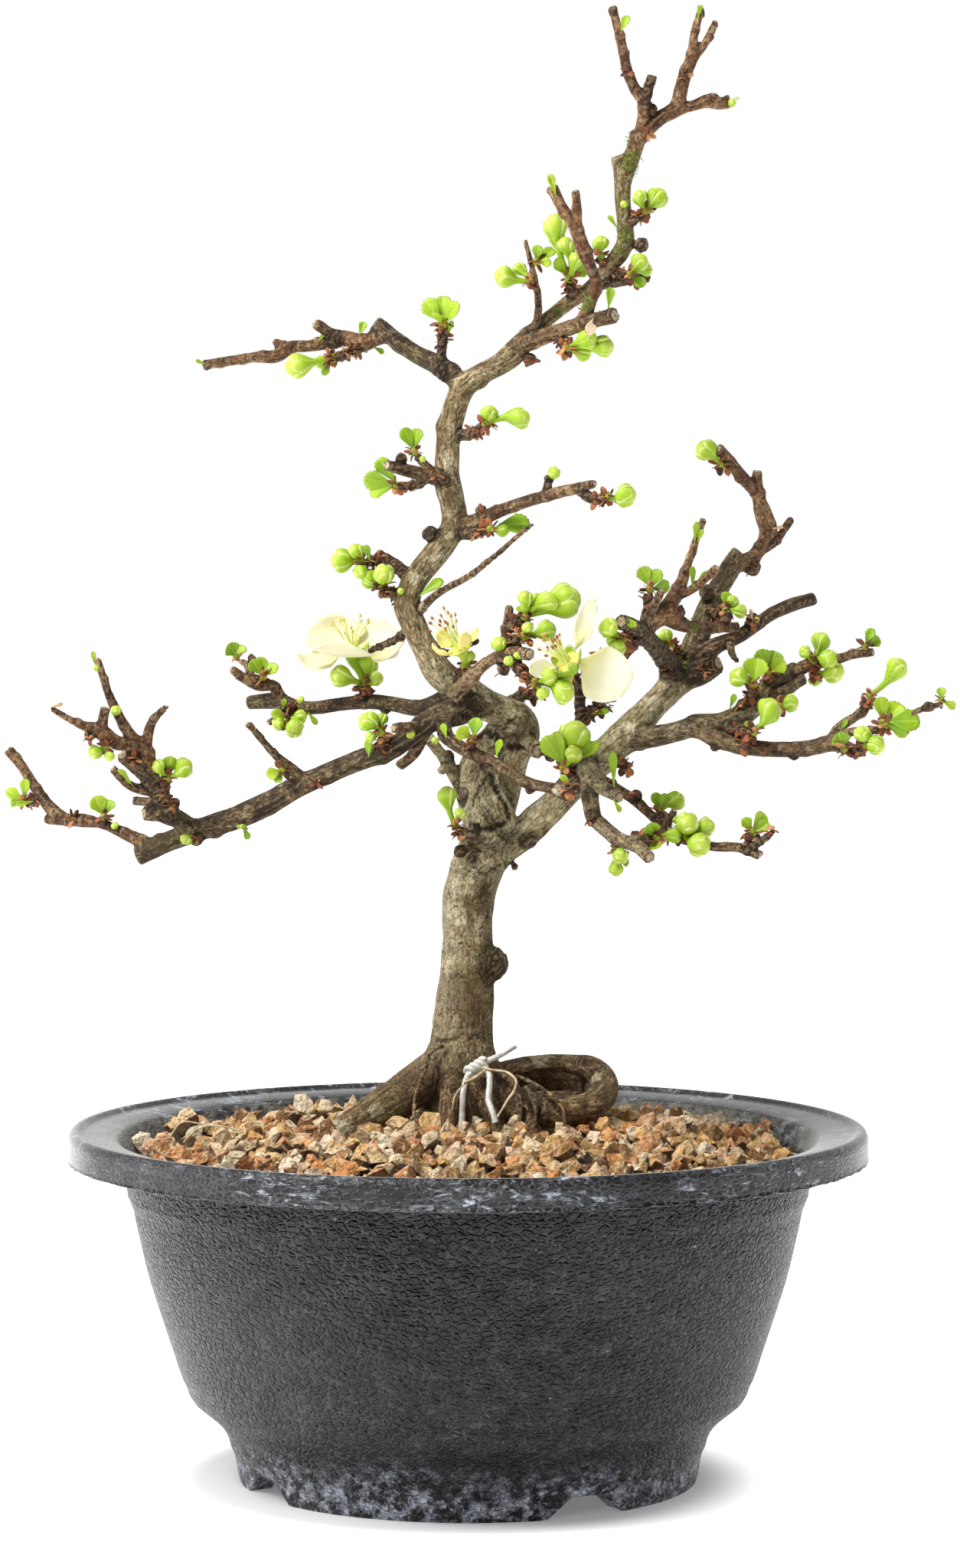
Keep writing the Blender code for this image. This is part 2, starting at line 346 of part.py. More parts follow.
        (35.2, 170.4, -9.5, 1.6), (37.4, 172.3, -7, 1.9), (39.2, 173.6, -5, 2.0), (40.6, 175.9, -4, 1.6),
        (42.4, 179.3, -2.5, 1.25), (44.1, 184.3, -1.5, 0.85), (47, 192.4, 0.5, 0.65)]),
    "pink_side": (5, [
        (39, 173.2, -5, 1.9), (42.6, 171.2, -1, 1.35), (47.9, 170.6, 4.5, 1.05), (53.9, 170.8, 9.5, 0.95)]),
    "pink_stub": (5, [(40.6, 172.8, -3.6, 1.3), (43, 174.2, -1.5, 1.0)]),
    "pink_side_twig": (5, [(49.8, 170.2, 6.4, 0.8), (52.1, 173.9, 7.5, 0.6)]),
    "pink_leaf_twig": (5, [(41.6, 177.2, -3.1, 1.1), (43.7, 177.8, -4, 0.9), (49.7, 182.6, -8, 0.85)]),
    "hub_back_spur": (5, [(42.8, 163.6, 11, 1.2), (40.9, 166.5, 8, 0.9)]),
}

# Roots: as LIMBS, from the flare of the trunk down into the grit
ROOTS = {
    "root_left": (6, [
        (-3, 84, 7, 4.4), (-8.8, 80.4, 4, 4.2), (-15, 75.6, 0, 4.2), (-20, 72.6, -3, 3.6),
        (-25.3, 69.6, -6, 2.8), (-31, 65, -9, 2.0)]),
    "root_loop": (6, [
        (3, 79.5, 9, 3.4), (8.5, 82, 12, 1.9), (12, 83.2, 14, 1.35), (15.8, 83.8, 15, 1.35),
        (20, 83.7, 14, 1.55), (24, 82.9, 11, 2.2), (27, 80.4, 6.5, 2.5), (27, 77, 1, 2.8),
        (24.2, 74.6, -3, 3.0), (19.5, 73.6, -5, 3.2), (14, 73.8, -5, 3.2), (8, 74.6, -2, 3.4),
        (2, 76, 3, 4.0)]),
    "root_front": (6, [(2.5, 80, 1, 2.8), (4.6, 75, -3, 2.2), (6, 69, -6, 2.0), (6.5, 63, -8, 1.6)]),
    "root_front_right": (6, [
        (8.5, 78.2, 0, 1.8), (11.1, 74.5, -7, 1.4), (12.8, 70.5, -10, 1.2), (14, 65, -12, 1.0)]),
    "root_front_left": (6, [(-3, 79, 2, 2.5), (-4, 73, -4, 2.0), (-5, 65, -7, 1.6)]),
    "root_back_left": (6, [(-2, 80.5, 12, 4.2), (-4.5, 75, 20, 3.2), (-7, 69, 28, 2.4), (-9, 64, 33, 1.8)]),
    "root_back_right": (6, [(3, 79.5, 13, 3.8), (8, 74, 22, 2.8), (12, 68.5, 29, 2.0), (14, 63, 33, 1.5)]),
}

# Knots, burls and cut knobs on the wood: (x, z, depth, radius)
KNOTS = [
    (4.6, 103.2, 6.5, 3.3), (-2.6, 125.2, 3, 1.5), (9.8, 122.6, 4.5, 1.6), (12.2, 127.9, 2.2, 1.4),
    (-1.0, 136.9, 6, 1.4), (-4.2, 144.6, 7, 1.3), (12.4, 138.4, -19.6, 1.0), (39.6, 161.5, 2.5, 1.5),
    (47.5, 177.6, 17.6, 1.4), (56.7, 172.0, 15.7, 1.3), (34.3, 246.5, 9, 1.3), (-5.1, 221.2, 5.4, 1.2),
    (12.2, 223.9, 4, 1.1), (-7.6, 189.2, 0.6, 1.4), (-13.4, 204.2, -0.6, 1.0), (36.2, 273.2, 8.6, 1.1),
    (-75.7, 148.9, -11.4, 1.0), (-59.1, 135.3, 4.6, 1.2), (-54.3, 128.2, 6.4, 1.2),
    (24.7, 132.7, -14.2, 1.1), (33.5, 137.0, -5.2, 1.1), (54.6, 155.2, -2.4, 1.1), (65.1, 144.9, -9.2, 0.8),
    (20.6, 138.7, -24.4, 1.6), (7.0, 162.4, -16.6, 1.2), (-6.6, 200.6, 2.2, 1.2), (2.4, 193.9, -2.2, 0.9),
    (-16.6, 154.2, 11, 0.9), (-43.2, 164.6, 22.9, 0.7), (49.2, 146.7, -5.4, 0.8), (-26.4, 227.9, 17.9, 1.6),
    (91.9, 154.8, -19, 0.9), (56.6, 182.4, 29.2, 1.4),
]

# Sprays of buds and young leaves, each a list of heads that hold together. A head's base is where it
# sits on its spur, and hub is its green foot's radius. Buds are (x, z, depth, radius) and leaves
# (tip x, tip z, tip depth, half width).
SPRAYS = {
    "spray_crown_fan": [dict(base=(-5.1, 230.9, 5), hub=1.1, buds=[],
        leaves=[(-8.6, 235.6, 4, 1.3), (-5.0, 236.6, 6.5, 1.3), (-1.6, 235.0, 4, 1.4),
        (-6.6, 233.2, 2, 0.9)])],
    "spray_upper_left": [dict(base=(-27.2, 224.2, 14.4), hub=1.1,
        buds=[(-34.1, 222.6, 13.2, 2.2), (-29.2, 223.3, 17, 1.2)],
        leaves=[(-28.6, 221.0, 13, 0.6)])],
    "spray_thorn_left": [dict(base=(12.4, 239.4, 1.2), hub=0.85,
        buds=[(7.2, 240.4, 0.5, 1.9), (10.1, 241.9, 3.4, 1.2)],
        leaves=[])],
    "spray_thorn_right": [dict(base=(13.6, 243.3, 0.6), hub=0.85, buds=[],
        leaves=[(13.9, 246.6, -0.8, 0.8), (17.0, 246.0, 1.5, 0.9), (16.2, 243.2, -1.4, 0.7)])],
    "spray_leader_top": [dict(base=(35.4, 253.2, 7.2), hub=1.0,
        buds=[(34.1, 256.2, 6.4, 1.3), (37.6, 256.0, 7.6, 1.9), (36.4, 254.6, 10.2, 1.2)],
        leaves=[])],
    "spray_leader_single": [dict(base=(26.4, 244.4, 8.8), hub=0.85, buds=[(26.4, 247.0, 8.4, 1.45)],
        leaves=[])],
    "spray_leader_low": [dict(base=(32.2, 240.9, 7.6), hub=0.9,
        buds=[(34.1, 243.3, 6.4, 1.6), (35.4, 241.7, 9.2, 1.2)],
        leaves=[(35.0, 238.7, 6.0, 0.9)])],
    "spray_big_cluster": [dict(base=(20.2, 240.2, 4.4), hub=1.1,
        buds=[(19.4, 246.6, 2.4, 1.6), (21.6, 243.9, 1.0, 1.3), (17.5, 250.6, 5.2, 2.2)],
        leaves=[(16.9, 243.6, 3, 0.9), (23.6, 242.0, 4.6, 0.9)])],
    "spray_under_fork": [dict(base=(19.6, 226.2, -3.4), hub=1.1,
        buds=[(23.8, 228.0, -4.6, 1.8), (27.0, 226.5, -3.2, 1.9), (23.0, 225.1, -1.6, 1.4)],
        leaves=[])],
    "spray_neck": [dict(base=(3.6, 211.0, 0.6), hub=1.0, buds=[(4.2, 213.3, 0.2, 1.5)],
        leaves=[(12.2, 212.6, -0.6, 1.9)])],
    "spray_mid_left_hook": [dict(base=(-10.8, 205.7, -4.8), hub=0.85, buds=[],
        leaves=[(-12.6, 210.4, -5.6, 1.1), (-10.0, 210.2, -4, 1.0)])],
    "spray_mid_left": [dict(base=(-14.2, 198.9, 4.8), hub=0.85, buds=[],
        leaves=[(-17.4, 204.4, 5.6, 1.2), (-20.7, 200.6, 4.4, 1.4), (-20.0, 197.6, 6.4, 1.0)])],
    "spray_mid_right_end": [dict(base=(28.1, 196.6, -16.3), hub=0.9, buds=[(31.4, 197.0, -17, 2.0)],
        leaves=[])],
    "spray_mid_right_shoot": [dict(base=(4.4, 190.3, -3.8), hub=0.9, buds=[(7.0, 190.2, -3.2, 1.3)],
        leaves=[(12.0, 192.2, -4.8, 1.6)])],
    "spray_mid_cluster": [dict(base=(-17.0, 178.9, -0.9), hub=1.1,
        buds=[(-16.7, 181.3, -3.4, 1.8), (-19.6, 180.4, 0.4, 1.7)],
        leaves=[]),
        dict(base=(-21.2, 183.7, 1.0), hub=1.0,
            buds=[(-21.4, 181.7, -0.4, 1.3), (-22.4, 185.9, 0.4, 1.4), (-25.2, 184.0, 1.4, 2.1)],
            leaves=[])],
    "spray_left_tip": [dict(base=(-88.7, 136.0, 22.6), hub=0.85, buds=[],
        leaves=[(-92.1, 138.4, 22.2, 0.9), (-88.8, 140.2, 21.0, 0.8), (-91.6, 135.6, 24, 0.7)])],
    "spray_left_fan": [dict(base=(-72.8, 132.8, 14.4), hub=0.9, buds=[],
        leaves=[(-74.6, 136.9, 13.2, 1.3), (-71.6, 136.4, 15.4, 1.0)])],
    "spray_left_group_low": [dict(base=(-72.5, 146.8, -10.1), hub=1.0,
        buds=[(-74.6, 145.9, -11.2, 1.3), (-71.6, 144.9, -11.4, 0.9)],
        leaves=[])],
    "spray_left_group": [dict(base=(-60.1, 140.7, -1.6), hub=1.0,
        buds=[(-61.9, 143.1, -3, 1.2), (-59.6, 143.6, -0.6, 1.4), (-56.8, 142.9, -2.2, 1.7)],
        leaves=[])],
    "spray_left_limb": [dict(base=(-37.2, 142.2, -3.2), hub=0.85, buds=[],
        leaves=[(-39.9, 141.3, -4.8, 0.9), (-38.2, 139.6, -3.8, 0.7)])],
    "spray_back_left_top": [dict(base=(-41.0, 160.8, 22), hub=0.9, buds=[],
        leaves=[(-43.2, 164.3, 20.4, 1.1), (-41.2, 164.9, 22.6, 1.0), (-38.3, 163.4, 21.6, 1.0)])],
    "spray_back_left_end": [dict(base=(-46.3, 164.7, 23.8), hub=0.75, buds=[],
        leaves=[(-48.0, 167.4, 22.6, 1.2), (-44.9, 167.2, 24.8, 0.9)])],
    "spray_back_left": [dict(base=(-36.2, 151.9, 19.8), hub=1.0,
        buds=[(-34.7, 150.6, 17.8, 1.7), (-37.9, 151.4, 18.6, 1.2), (-33.4, 152.9, 19.4, 1.2)],
        leaves=[(-38.6, 154.0, 17.6, 0.8)])],
    "spray_limb": [dict(base=(-17.4, 149.8, -8.9), hub=1.0,
        buds=[(-20.0, 151.9, -9.2, 1.8), (-17.2, 152.4, -6.8, 1.1), (-19.6, 148.8, -10.4, 1.0)],
        leaves=[])],
    "spray_left_flower": [dict(base=(-20.7, 159.3, 10.8), hub=1.2,
        buds=[(-25.6, 161.0, 9.2, 1.9), (-20.2, 163.2, 12.4, 1.9), (-18.2, 160.6, 9.2, 1.2)],
        leaves=[])],
    "spray_front_upper": [dict(base=(11.4, 172.9, -19.4), hub=1.1,
        buds=[(11.3, 176.7, -20.6, 1.3), (13.6, 176.4, -17.2, 1.1), (16.0, 175.9, -21.4, 1.8),
        (19.4, 176.0, -18.2, 3.0)],
        leaves=[(10.3, 175.2, -17.6, 0.7)]),
        dict(base=(11.5, 169.0, -20.6), hub=1.1,
            buds=[(15.7, 170.1, -20.4, 1.8), (11.9, 170.6, -22.8, 1.0)],
            leaves=[])],
    "spray_front_hanging": [dict(base=(13.5, 159.6, -23.5), hub=1.2,
        buds=[(16.1, 160.9, -25.5, 1.6), (19.3, 161.4, -22.0, 1.8), (14.9, 157.6, -25.4, 1.2),
        (19.0, 157.7, -25.8, 2.1)],
        leaves=[])],
    "spray_middle_flower": [dict(base=(-0.5, 163.0, -4.2), hub=1.1, buds=[(0.4, 165.0, -5.8, 0.95)],
        leaves=[])],
    "spray_crossing_leaf": [dict(base=(0.9, 148.5, -14.0), hub=0.85, buds=[],
        leaves=[(2.2, 152.4, -13.0, 1.2), (-2.2, 150.4, -14.6, 1.2)])],
    "spray_trunk": [dict(base=(-2.7, 131.2, -1.1), hub=0.9,
        buds=[(-4.2, 137.2, -0.6, 1.75), (-1.6, 133.6, -2.6, 1.0)],
        leaves=[])],
    "spray_green_stub": [dict(base=(19.3, 142.7, -2.2), hub=1.2,
        buds=[(21.3, 149.2, -3, 2.8), (21.1, 145.4, -5.6, 1.6)],
        leaves=[(15.2, 148.8, -3.4, 1.5), (17.4, 149.6, -5.6, 1.2), (24.9, 147.8, -6.4, 0.9)])],
    "spray_front_low": [dict(base=(29.7, 126.2, -18.8), hub=0.9,
        buds=[(30.5, 124.9, -21.2, 1.4), (29.6, 122.3, -18.6, 1.3)],
        leaves=[(31.9, 123.0, -18.4, 0.6)])],
    "spray_long_thin_upper": [dict(base=(38.4, 134.1, -6.4), hub=0.85, buds=[(41.5, 136.0, -5.4, 1.8)],
        leaves=[(37.6, 137.5, -7.6, 0.9), (39.4, 137.4, -8.4, 0.8)])],
    "spray_long_thin_big": [dict(base=(42.3, 129.6, -15.0), hub=1.2,
        buds=[(43.9, 131.6, -18.4, 2.0), (47.5, 130.8, -16.0, 1.8), (46.2, 127.3, -19.4, 2.2),
        (41.9, 132.2, -14.6, 0.9)],
        leaves=[]),
        dict(base=(37.7, 128.6, -19.6), hub=1.0, buds=[(41.2, 129.1, -17.0, 1.35)],
            leaves=[(36.0, 131.6, -20.8, 1.3), (37.2, 126.0, -21.2, 1.0)])],
    "spray_long_thin_end": [dict(base=(56.7, 129.6, -18.0), hub=1.0, buds=[],
        leaves=[(55.5, 132.5, -19.4, 0.9), (59.2, 133.6, -16.6, 1.2), (60.2, 131.6, -18.4, 0.9)])],
    "spray_arching_big": [dict(base=(56.8, 149.7, -10.0), hub=1.1, buds=[(60.0, 154.4, -9.4, 2.2)],
        leaves=[(56.0, 152.2, -9.6, 0.7)])],
    "spray_arching_right": [dict(base=(62.4, 155.2, -1.4), hub=0.85, buds=[(64.4, 155.6, -2.2, 1.55)],
        leaves=[])],
    "spray_arching_left": [dict(base=(57.0, 159.4, -4.0), hub=0.95, buds=[(54.0, 160.8, -5, 1.75)],
        leaves=[(57.8, 164.6, -3.0, 1.8)]),
        dict(base=(59.8, 161.8, 1.0), hub=0.9, buds=[],
            leaves=[(61.4, 165.8, 2.0, 1.4), (63.4, 163.8, -1.2, 1.2), (58.8, 165.8, -1.6, 1.4)])],
    "spray_arching_top": [dict(base=(69.0, 164.3, 3.6), hub=1.2,
        buds=[(70.4, 168.0, 4.4, 1.7), (67.2, 165.9, 1.4, 1.1), (72.0, 164.3, 1.2, 1.7)],
        leaves=[]),
        dict(base=(69.4, 161.7, 4.4), hub=1.1, buds=[(73.1, 161.9, 2.4, 1.9), (69.2, 160.2, 6.6, 1.1)],
            leaves=[])],
    "spray_arching_top_end": [dict(base=(79.2, 166.9, -1.6), hub=0.8, buds=[],
        leaves=[(80.5, 170.4, -2.4, 0.7), (82.2, 168.4, -0.6, 0.8)])],
    "spray_arching_long": [dict(base=(80.3, 157.1, -11.4), hub=0.85, buds=[(85.6, 162.6, -12.4, 1.95)],
        leaves=[])],
    "spray_arching_outer": [dict(base=(83.0, 151.7, -18.6), hub=1.0, buds=[],
        leaves=[(82.3, 156.8, -18.2, 1.3), (86.6, 155.3, -17.0, 1.4), (90.0, 152.6, -20.0, 1.6),
        (87.6, 149.0, -19.4, 0.8)])],
    "spray_arching_outer_buds": [dict(base=(79.6, 147.3, -17.2), hub=1.0,
        buds=[(78.7, 149.5, -18.6, 1.5), (81.5, 147.2, -18.8, 1.7)],
        leaves=[])],
    "spray_arching_round": [dict(base=(75.2, 146.4, -16.3), hub=0.8, buds=[],
        leaves=[(73.9, 149.6, -16.8, 1.4)])],
    "spray_right_tip": [dict(base=(94.5, 156.2, -20), hub=0.7, buds=[],
        leaves=[(94.5, 158.7, -19.4, 0.7), (97.4, 154.9, -20.4, 0.6)])],
    "spray_forward": [dict(base=(30.6, 168.2, -18.3), hub=1.1,
        buds=[(28.0, 170.6, -21, 1.8), (29.7, 166.6, -20, 1.6)],
        leaves=[(27.6, 168.0, -17.2, 0.7)])],
    "spray_hub_back": [dict(base=(40.4, 167.0, 7.4), hub=0.95,
        buds=[(39.4, 169.2, 7, 1.2), (38.0, 168.0, 8.4, 1.2)],
        leaves=[])],
    "spray_forward_leaf": [dict(base=(36.3, 178.3, -8), hub=0.9, buds=[],
        leaves=[(34.6, 182.8, -7.4, 1.1), (37.8, 182.2, -9.0, 1.1), (40.0, 178.9, -7.0, 0.9)])],
    "spray_upper_right": [dict(base=(50.2, 203.2, 26.4), hub=0.85, buds=[(47.3, 206.0, 25.6, 1.9)],
        leaves=[])],
    "spray_upper_right_side": [dict(base=(51.6, 174.1, 14.8), hub=1.0,
        buds=[(54.4, 173.9, 13.4, 1.2), (52.8, 175.9, 14.2, 1.1)],
        leaves=[(51.6, 177.6, 16, 0.8)])],
}

# Open flowers: the spray whose green foot bears the cup, the centre, the point that the stamens
# reach towards, then the petals as (tip x, tip z, tip depth, half width)
FLOWERS = {
    "flower_left": dict(
        spray="spray_left_flower", centre=(-23.0, 166.4, 12), towards=(-23.6, 173.4, 10.6), petals=[
            (-27.0, 166.6, 2.6, 4.2), (-34.0, 165.0, 10.5, 3.2), (-29.6, 172.2, 19.5, 3.8),
            (-17.0, 172.6, 20, 3.8), (-12.6, 167.6, 9.5, 3.6)]),
    "flower_middle": dict(
        spray="spray_middle_flower", centre=(-1.9, 167.0, -7.0), towards=(-5.2, 173.4, -9.4), petals=[
            (-7.0, 167.4, -11.4, 1.5), (1.6, 170.6, -4.0, 1.4)]),
    "flower_right": dict(
        spray="spray_front_hanging", centre=(19.6, 164.2, -26.5), towards=(16.2, 168.8, -29.8), petals=[
            (32.2, 158.8, -25.5, 4.6), (24.9, 176.6, -24.5, 1.6), (12.2, 162.4, -28.5, 1.5)]),
}

# The tie wire's three runs, as routes
WIRE_LEFT_LEG = [
    (-1.6, 66, -9.5, 0.6), (-1.2, 73, -9.5, 0.6), (-0.9, 78, -8, 0.6), (0.4, 81.6, -4.5, 0.6),
    (1.6, 82.8, -3.2, 0.6)]
WIRE_RIGHT_LEG = [
    (5.7, 66, -11.5, 0.6), (5.4, 72.2, -11.5, 0.6), (4.1, 75.5, -10, 0.6), (4.3, 79.5, -7.5, 0.6),
    (3.6, 82.2, -4.6, 0.6), (1.6, 82.8, -3.2, 0.6)]
WIRE_TAIL = [
    (0.6, 81.9, -4.4, 0.62), (2.6, 83.2, -3.6, 0.62), (6.0, 84.8, -2.6, 0.6), (9.6, 87.0, -2.2, 0.6)]


def seen(x, z, depth):
    """The point, in metres, that appears at (x, z) from the front and lies at this depth."""
    scale = (EYE_DISTANCE + depth) / EYE_DISTANCE
    return Vector((x * scale, depth, EYE_HEIGHT + (z - EYE_HEIGHT) * scale)) * MM


def polar(radius, turn, height):
    """The point, in metres, at this radius in mm from the pot's axis, turn in radians and height in mm."""
    return Vector((radius * math.cos(turn), radius * math.sin(turn), height)) * MM


def seen_size(size, depth):
    return size * MM * (EYE_DISTANCE + depth) / EYE_DISTANCE


def finish(name, base_color, roughness, metallic=0.0):
    material = bpy.data.materials.new(name)
    material.use_nodes = True
    shader = material.node_tree.nodes["Principled BSDF"]
    shader.inputs["Base Color"].default_value = (*base_color, 1.0)
    shader.inputs["Roughness"].default_value = roughness
    shader.inputs["Metallic"].default_value = metallic
    return material


def add_object(name, bm, material=None):
    bmesh.ops.recalc_face_normals(bm, faces=bm.faces)
    mesh = bpy.data.meshes.new(name)
    bm.to_mesh(mesh)
    bm.free()
    if material:
        mesh.materials.append(material)
    obj = bpy.data.objects.new(name, mesh)
    bpy.context.scene.collection.objects.link(obj)
    return obj


def bridge(bm, ring_a, ring_b):
    count = len(ring_a)
    for i in range(count):
        j = (i + 1) % count
        bm.faces.new((ring_a[i], ring_a[j], ring_b[j], ring_b[i]))


def rings_along(points, radii, sides):
    """Rings of coordinates square to a polyline, carried along it without twist."""
    rings = []
    side = None
    for i, point in enumerate(points):
        before = points[max(i - 1, 0)]
        after = points[min(i + 1, len(points) - 1)]
        along = (after - before).normalized()
        if side is None:
            side = along.orthogonal()
        side = (side - along * side.dot(along)).normalized()
        across = along.cross(side)
        ring = []
        for k in range(sides):
            turn = 2 * math.pi * k / sides
            ring.append(point + (side * math.cos(turn) + across * math.sin(turn)) * radii[i])
        rings.append(ring)
    return rings


def tube(name, route, sides, grow=0.0):
    """A closed tube with flat ends through a route of (x, z, depth, radius)."""
    points = [seen(x, z, depth) for x, z, depth, radius in route]
    radii = [seen_size(radius + grow, depth) for x, z, depth, radius in route]
    if grow:
        points[0] -= (points[1] - points[0]).normalized() * grow * MM
        points[-1] += (points[-1] - points[-2]).normalized() * grow * MM
    return lathe(name, points, radii, sides)


def knot(name, x, z, depth, radius, grow=0.0):
    bm = bmesh.new()
    place = Matrix.Translation(seen(x, z, depth))
    bmesh.ops.create_icosphere(bm, subdivisions=1, radius=seen_size(radius + grow, depth), matrix=place)
    return add_object(name, bm)


def boolean(obj, operation, other=None, group=None, solver="MANIFOLD"):
    """Apply one Boolean to obj, with an object or a collection."""
    modifier = obj.modifiers.new("cut", "BOOLEAN")
    modifier.operation = operation
    modifier.solver = solver
    if group:
        modifier.operand_type = "COLLECTION"
        modifier.collection = group
    else:
        modifier.object = other
    evaluated = obj.evaluated_get(bpy.context.evaluated_depsgraph_get())
    mesh = bpy.data.meshes.new_from_object(evaluated)
    obj.modifiers.clear()
    obj.data = mesh


def thin_out(obj, share):
    modifier = obj.modifiers.new("fewer", "DECIMATE")
    modifier.ratio = share
    evaluated = obj.evaluated_get(bpy.context.evaluated_depsgraph_get())
    mesh = bpy.data.meshes.new_from_object(evaluated)
    obj.modifiers.clear()
    obj.data = mesh


def remove(obj):
    bpy.data.objects.remove(obj, do_unlink=True)


def fuse(name, solids, material=None):
    """Join overlapping solids into one body with a single union."""
    body = solids[0]
    group = bpy.data.collections.new(name + "_parts")
    bpy.context.scene.collection.children.link(group)
    for solid in solids[1:]:
        bpy.context.scene.collection.objects.unlink(solid)
        group.objects.link(solid)
    if solids[1:]:
        boolean(body, "UNION", group=group)
    for solid in solids[1:]:
        remove(solid)
    bpy.data.collections.remove(group)
    body.name = name
    body.data.materials.clear()
    if material:
        body.data.materials.append(material)
    return body


def keep_largest(obj):
    """Drop loose scraps that a cut left, and weld points closer than a hair."""
    bm = bmesh.new()
    bm.from_mesh(obj.data)
    bmesh.ops.remove_doubles(bm, verts=bm.verts, dist=2e-6)
    loose = [edge for edge in bm.edges if not edge.link_faces]
    bmesh.ops.delete(bm, geom=loose, context="EDGES")
    unvisited = set(bm.verts)
    bodies = []
    while unvisited:
        stack = [unvisited.pop()]
        body = set(stack)
        while stack:
            for edge in stack.pop().link_edges:
                for vert in edge.verts:
                    if vert in unvisited:
                        unvisited.discard(vert)
                        body.add(vert)
                        stack.append(vert)
        bodies.append(body)
    largest = max(bodies, key=extent)
    scraps = [vert for body in bodies if body is not largest for vert in body]
    bmesh.ops.delete(bm, geom=scraps, context="VERTS")
    bmesh.ops.triangulate(bm, faces=bm.faces)
    bm.to_mesh(obj.data)
    bm.free()


def draw_together(obj, short_edge):
    """Collapse edges shorter than short_edge, where that leaves the body closed."""
    bm = bmesh.new()
    bm.from_mesh(obj.data)
    bmesh.ops.dissolve_degenerate(bm, dist=short_edge * MM, edges=bm.edges)
    bmesh.ops.triangulate(bm, faces=bm.faces)
    if all(len(edge.link_faces) == 2 for edge in bm.edges):
        bm.to_mesh(obj.data)
    bm.free()


def extent(body):
    lows = [min(vert.co[axis] for vert in body) for axis in range(3)]
    highs = [max(vert.co[axis] for vert in body) for axis in range(3)]
    return sum(high - low for low, high in zip(lows, highs))


def turned(outline, segments):
    """A skin turned about z from an outline of (radius, height), open at the outline's two ends."""
    bm = bmesh.new()
    loops = []
    for k in range(segments):
        turn = 2 * math.pi * k / segments
        loops.append([bm.verts.new(polar(radius, turn, height)) for radius, height in outline])
    for k in range(segments):
        here = loops[k]
        there = loops[(k + 1) % segments]
        for i in range(len(outline) - 1):
            bm.faces.new((here[i], there[i], there[i + 1], here[i + 1]))
    return bm, loops


def make_pot(material):
    """The turned wall, closed by a floor that stands a little above the ground inside the foot ring."""
    bm, loops = turned(POT_OUTLINE, POT_SEGMENTS)
    floor_top = bm.verts.new((0, 0, FLOOR_TOP * MM))
    underside = [bm.verts.new((loop[0].co.x, loop[0].co.y, FLOOR_UNDERSIDE * MM)) for loop in loops]
    underside_centre = bm.verts.new((0, 0, FLOOR_UNDERSIDE * MM))
    for k in range(POT_SEGMENTS):
        j = (k + 1) % POT_SEGMENTS
        bm.faces.new((loops[k][-1], loops[j][-1], floor_top))
        bm.faces.new((loops[k][0], underside[k], underside[j], loops[j][0]))
        bm.faces.new((underside[k], underside_centre, underside[j]))
    pot = add_object("pot", bm, material)
    for angle in NOTCH_ANGLES:
        cut_with(pot, notch(angle))
    cut_with(pot, drain(0.0, 0.0, CENTRE_DRAIN_RADIUS))
    for k in range(OUTER_DRAINS):
        cut_with(pot, drain(OUTER_DRAIN_CIRCLE, 2 * math.pi * k / OUTER_DRAINS, OUTER_DRAIN_RADIUS))
    keep_largest(pot)


def cut_with(obj, cutter):
    boolean(obj, "DIFFERENCE", other=cutter, solver="EXACT")
    remove(cutter)


def notch(angle):
    """A cutter with sloped sides for one arch of the foot ring."""
    half_ground = NOTCH_WIDTH_AT_GROUND / 2 + OVERCUT
    half_top = NOTCH_WIDTH_AT_TOP / 2
    section = [
        (-half_ground, -OVERCUT), (half_ground, -OVERCUT),
        (half_top, NOTCH_HEIGHT), (-half_top, NOTCH_HEIGHT)]
    inside = (FOOT_INNER_RADIUS - 4 * OVERCUT) * MM
    outside = (FOOT_RADIUS + 4 * OVERCUT) * MM
    bm = bmesh.new()
    near = [bm.verts.new((inside, side * MM, height * MM)) for side, height in section]
    far = [bm.verts.new((outside, side * MM, height * MM)) for side, height in section]
    bridge(bm, near, far)
    bm.faces.new(near)
    bm.faces.new(far)
    turn = Matrix.Rotation(math.radians(angle), 3, "Z")
    bmesh.ops.rotate(bm, verts=bm.verts, cent=(0, 0, 0), matrix=turn)
    return add_object("notch", bm)


def drain(out, turn, radius):
    """A cutter for one round hole in the floor, this far out from the pot's axis."""
    low = polar(out, turn, FLOOR_UNDERSIDE - OVERCUT)
    high = polar(out, turn, FLOOR_TOP + OVERCUT)
    return stem("drain", low, high, radius * MM, radius * MM, DRAIN_SIDES)


def grit_height(radius):
    nearness = 1 - radius / GRIT_BODY[0][0]
    return GRIT_AT_WALL + (GRIT_AT_TRUNK - GRIT_AT_WALL) * min(1.0, GRIT_RISE * nearness)


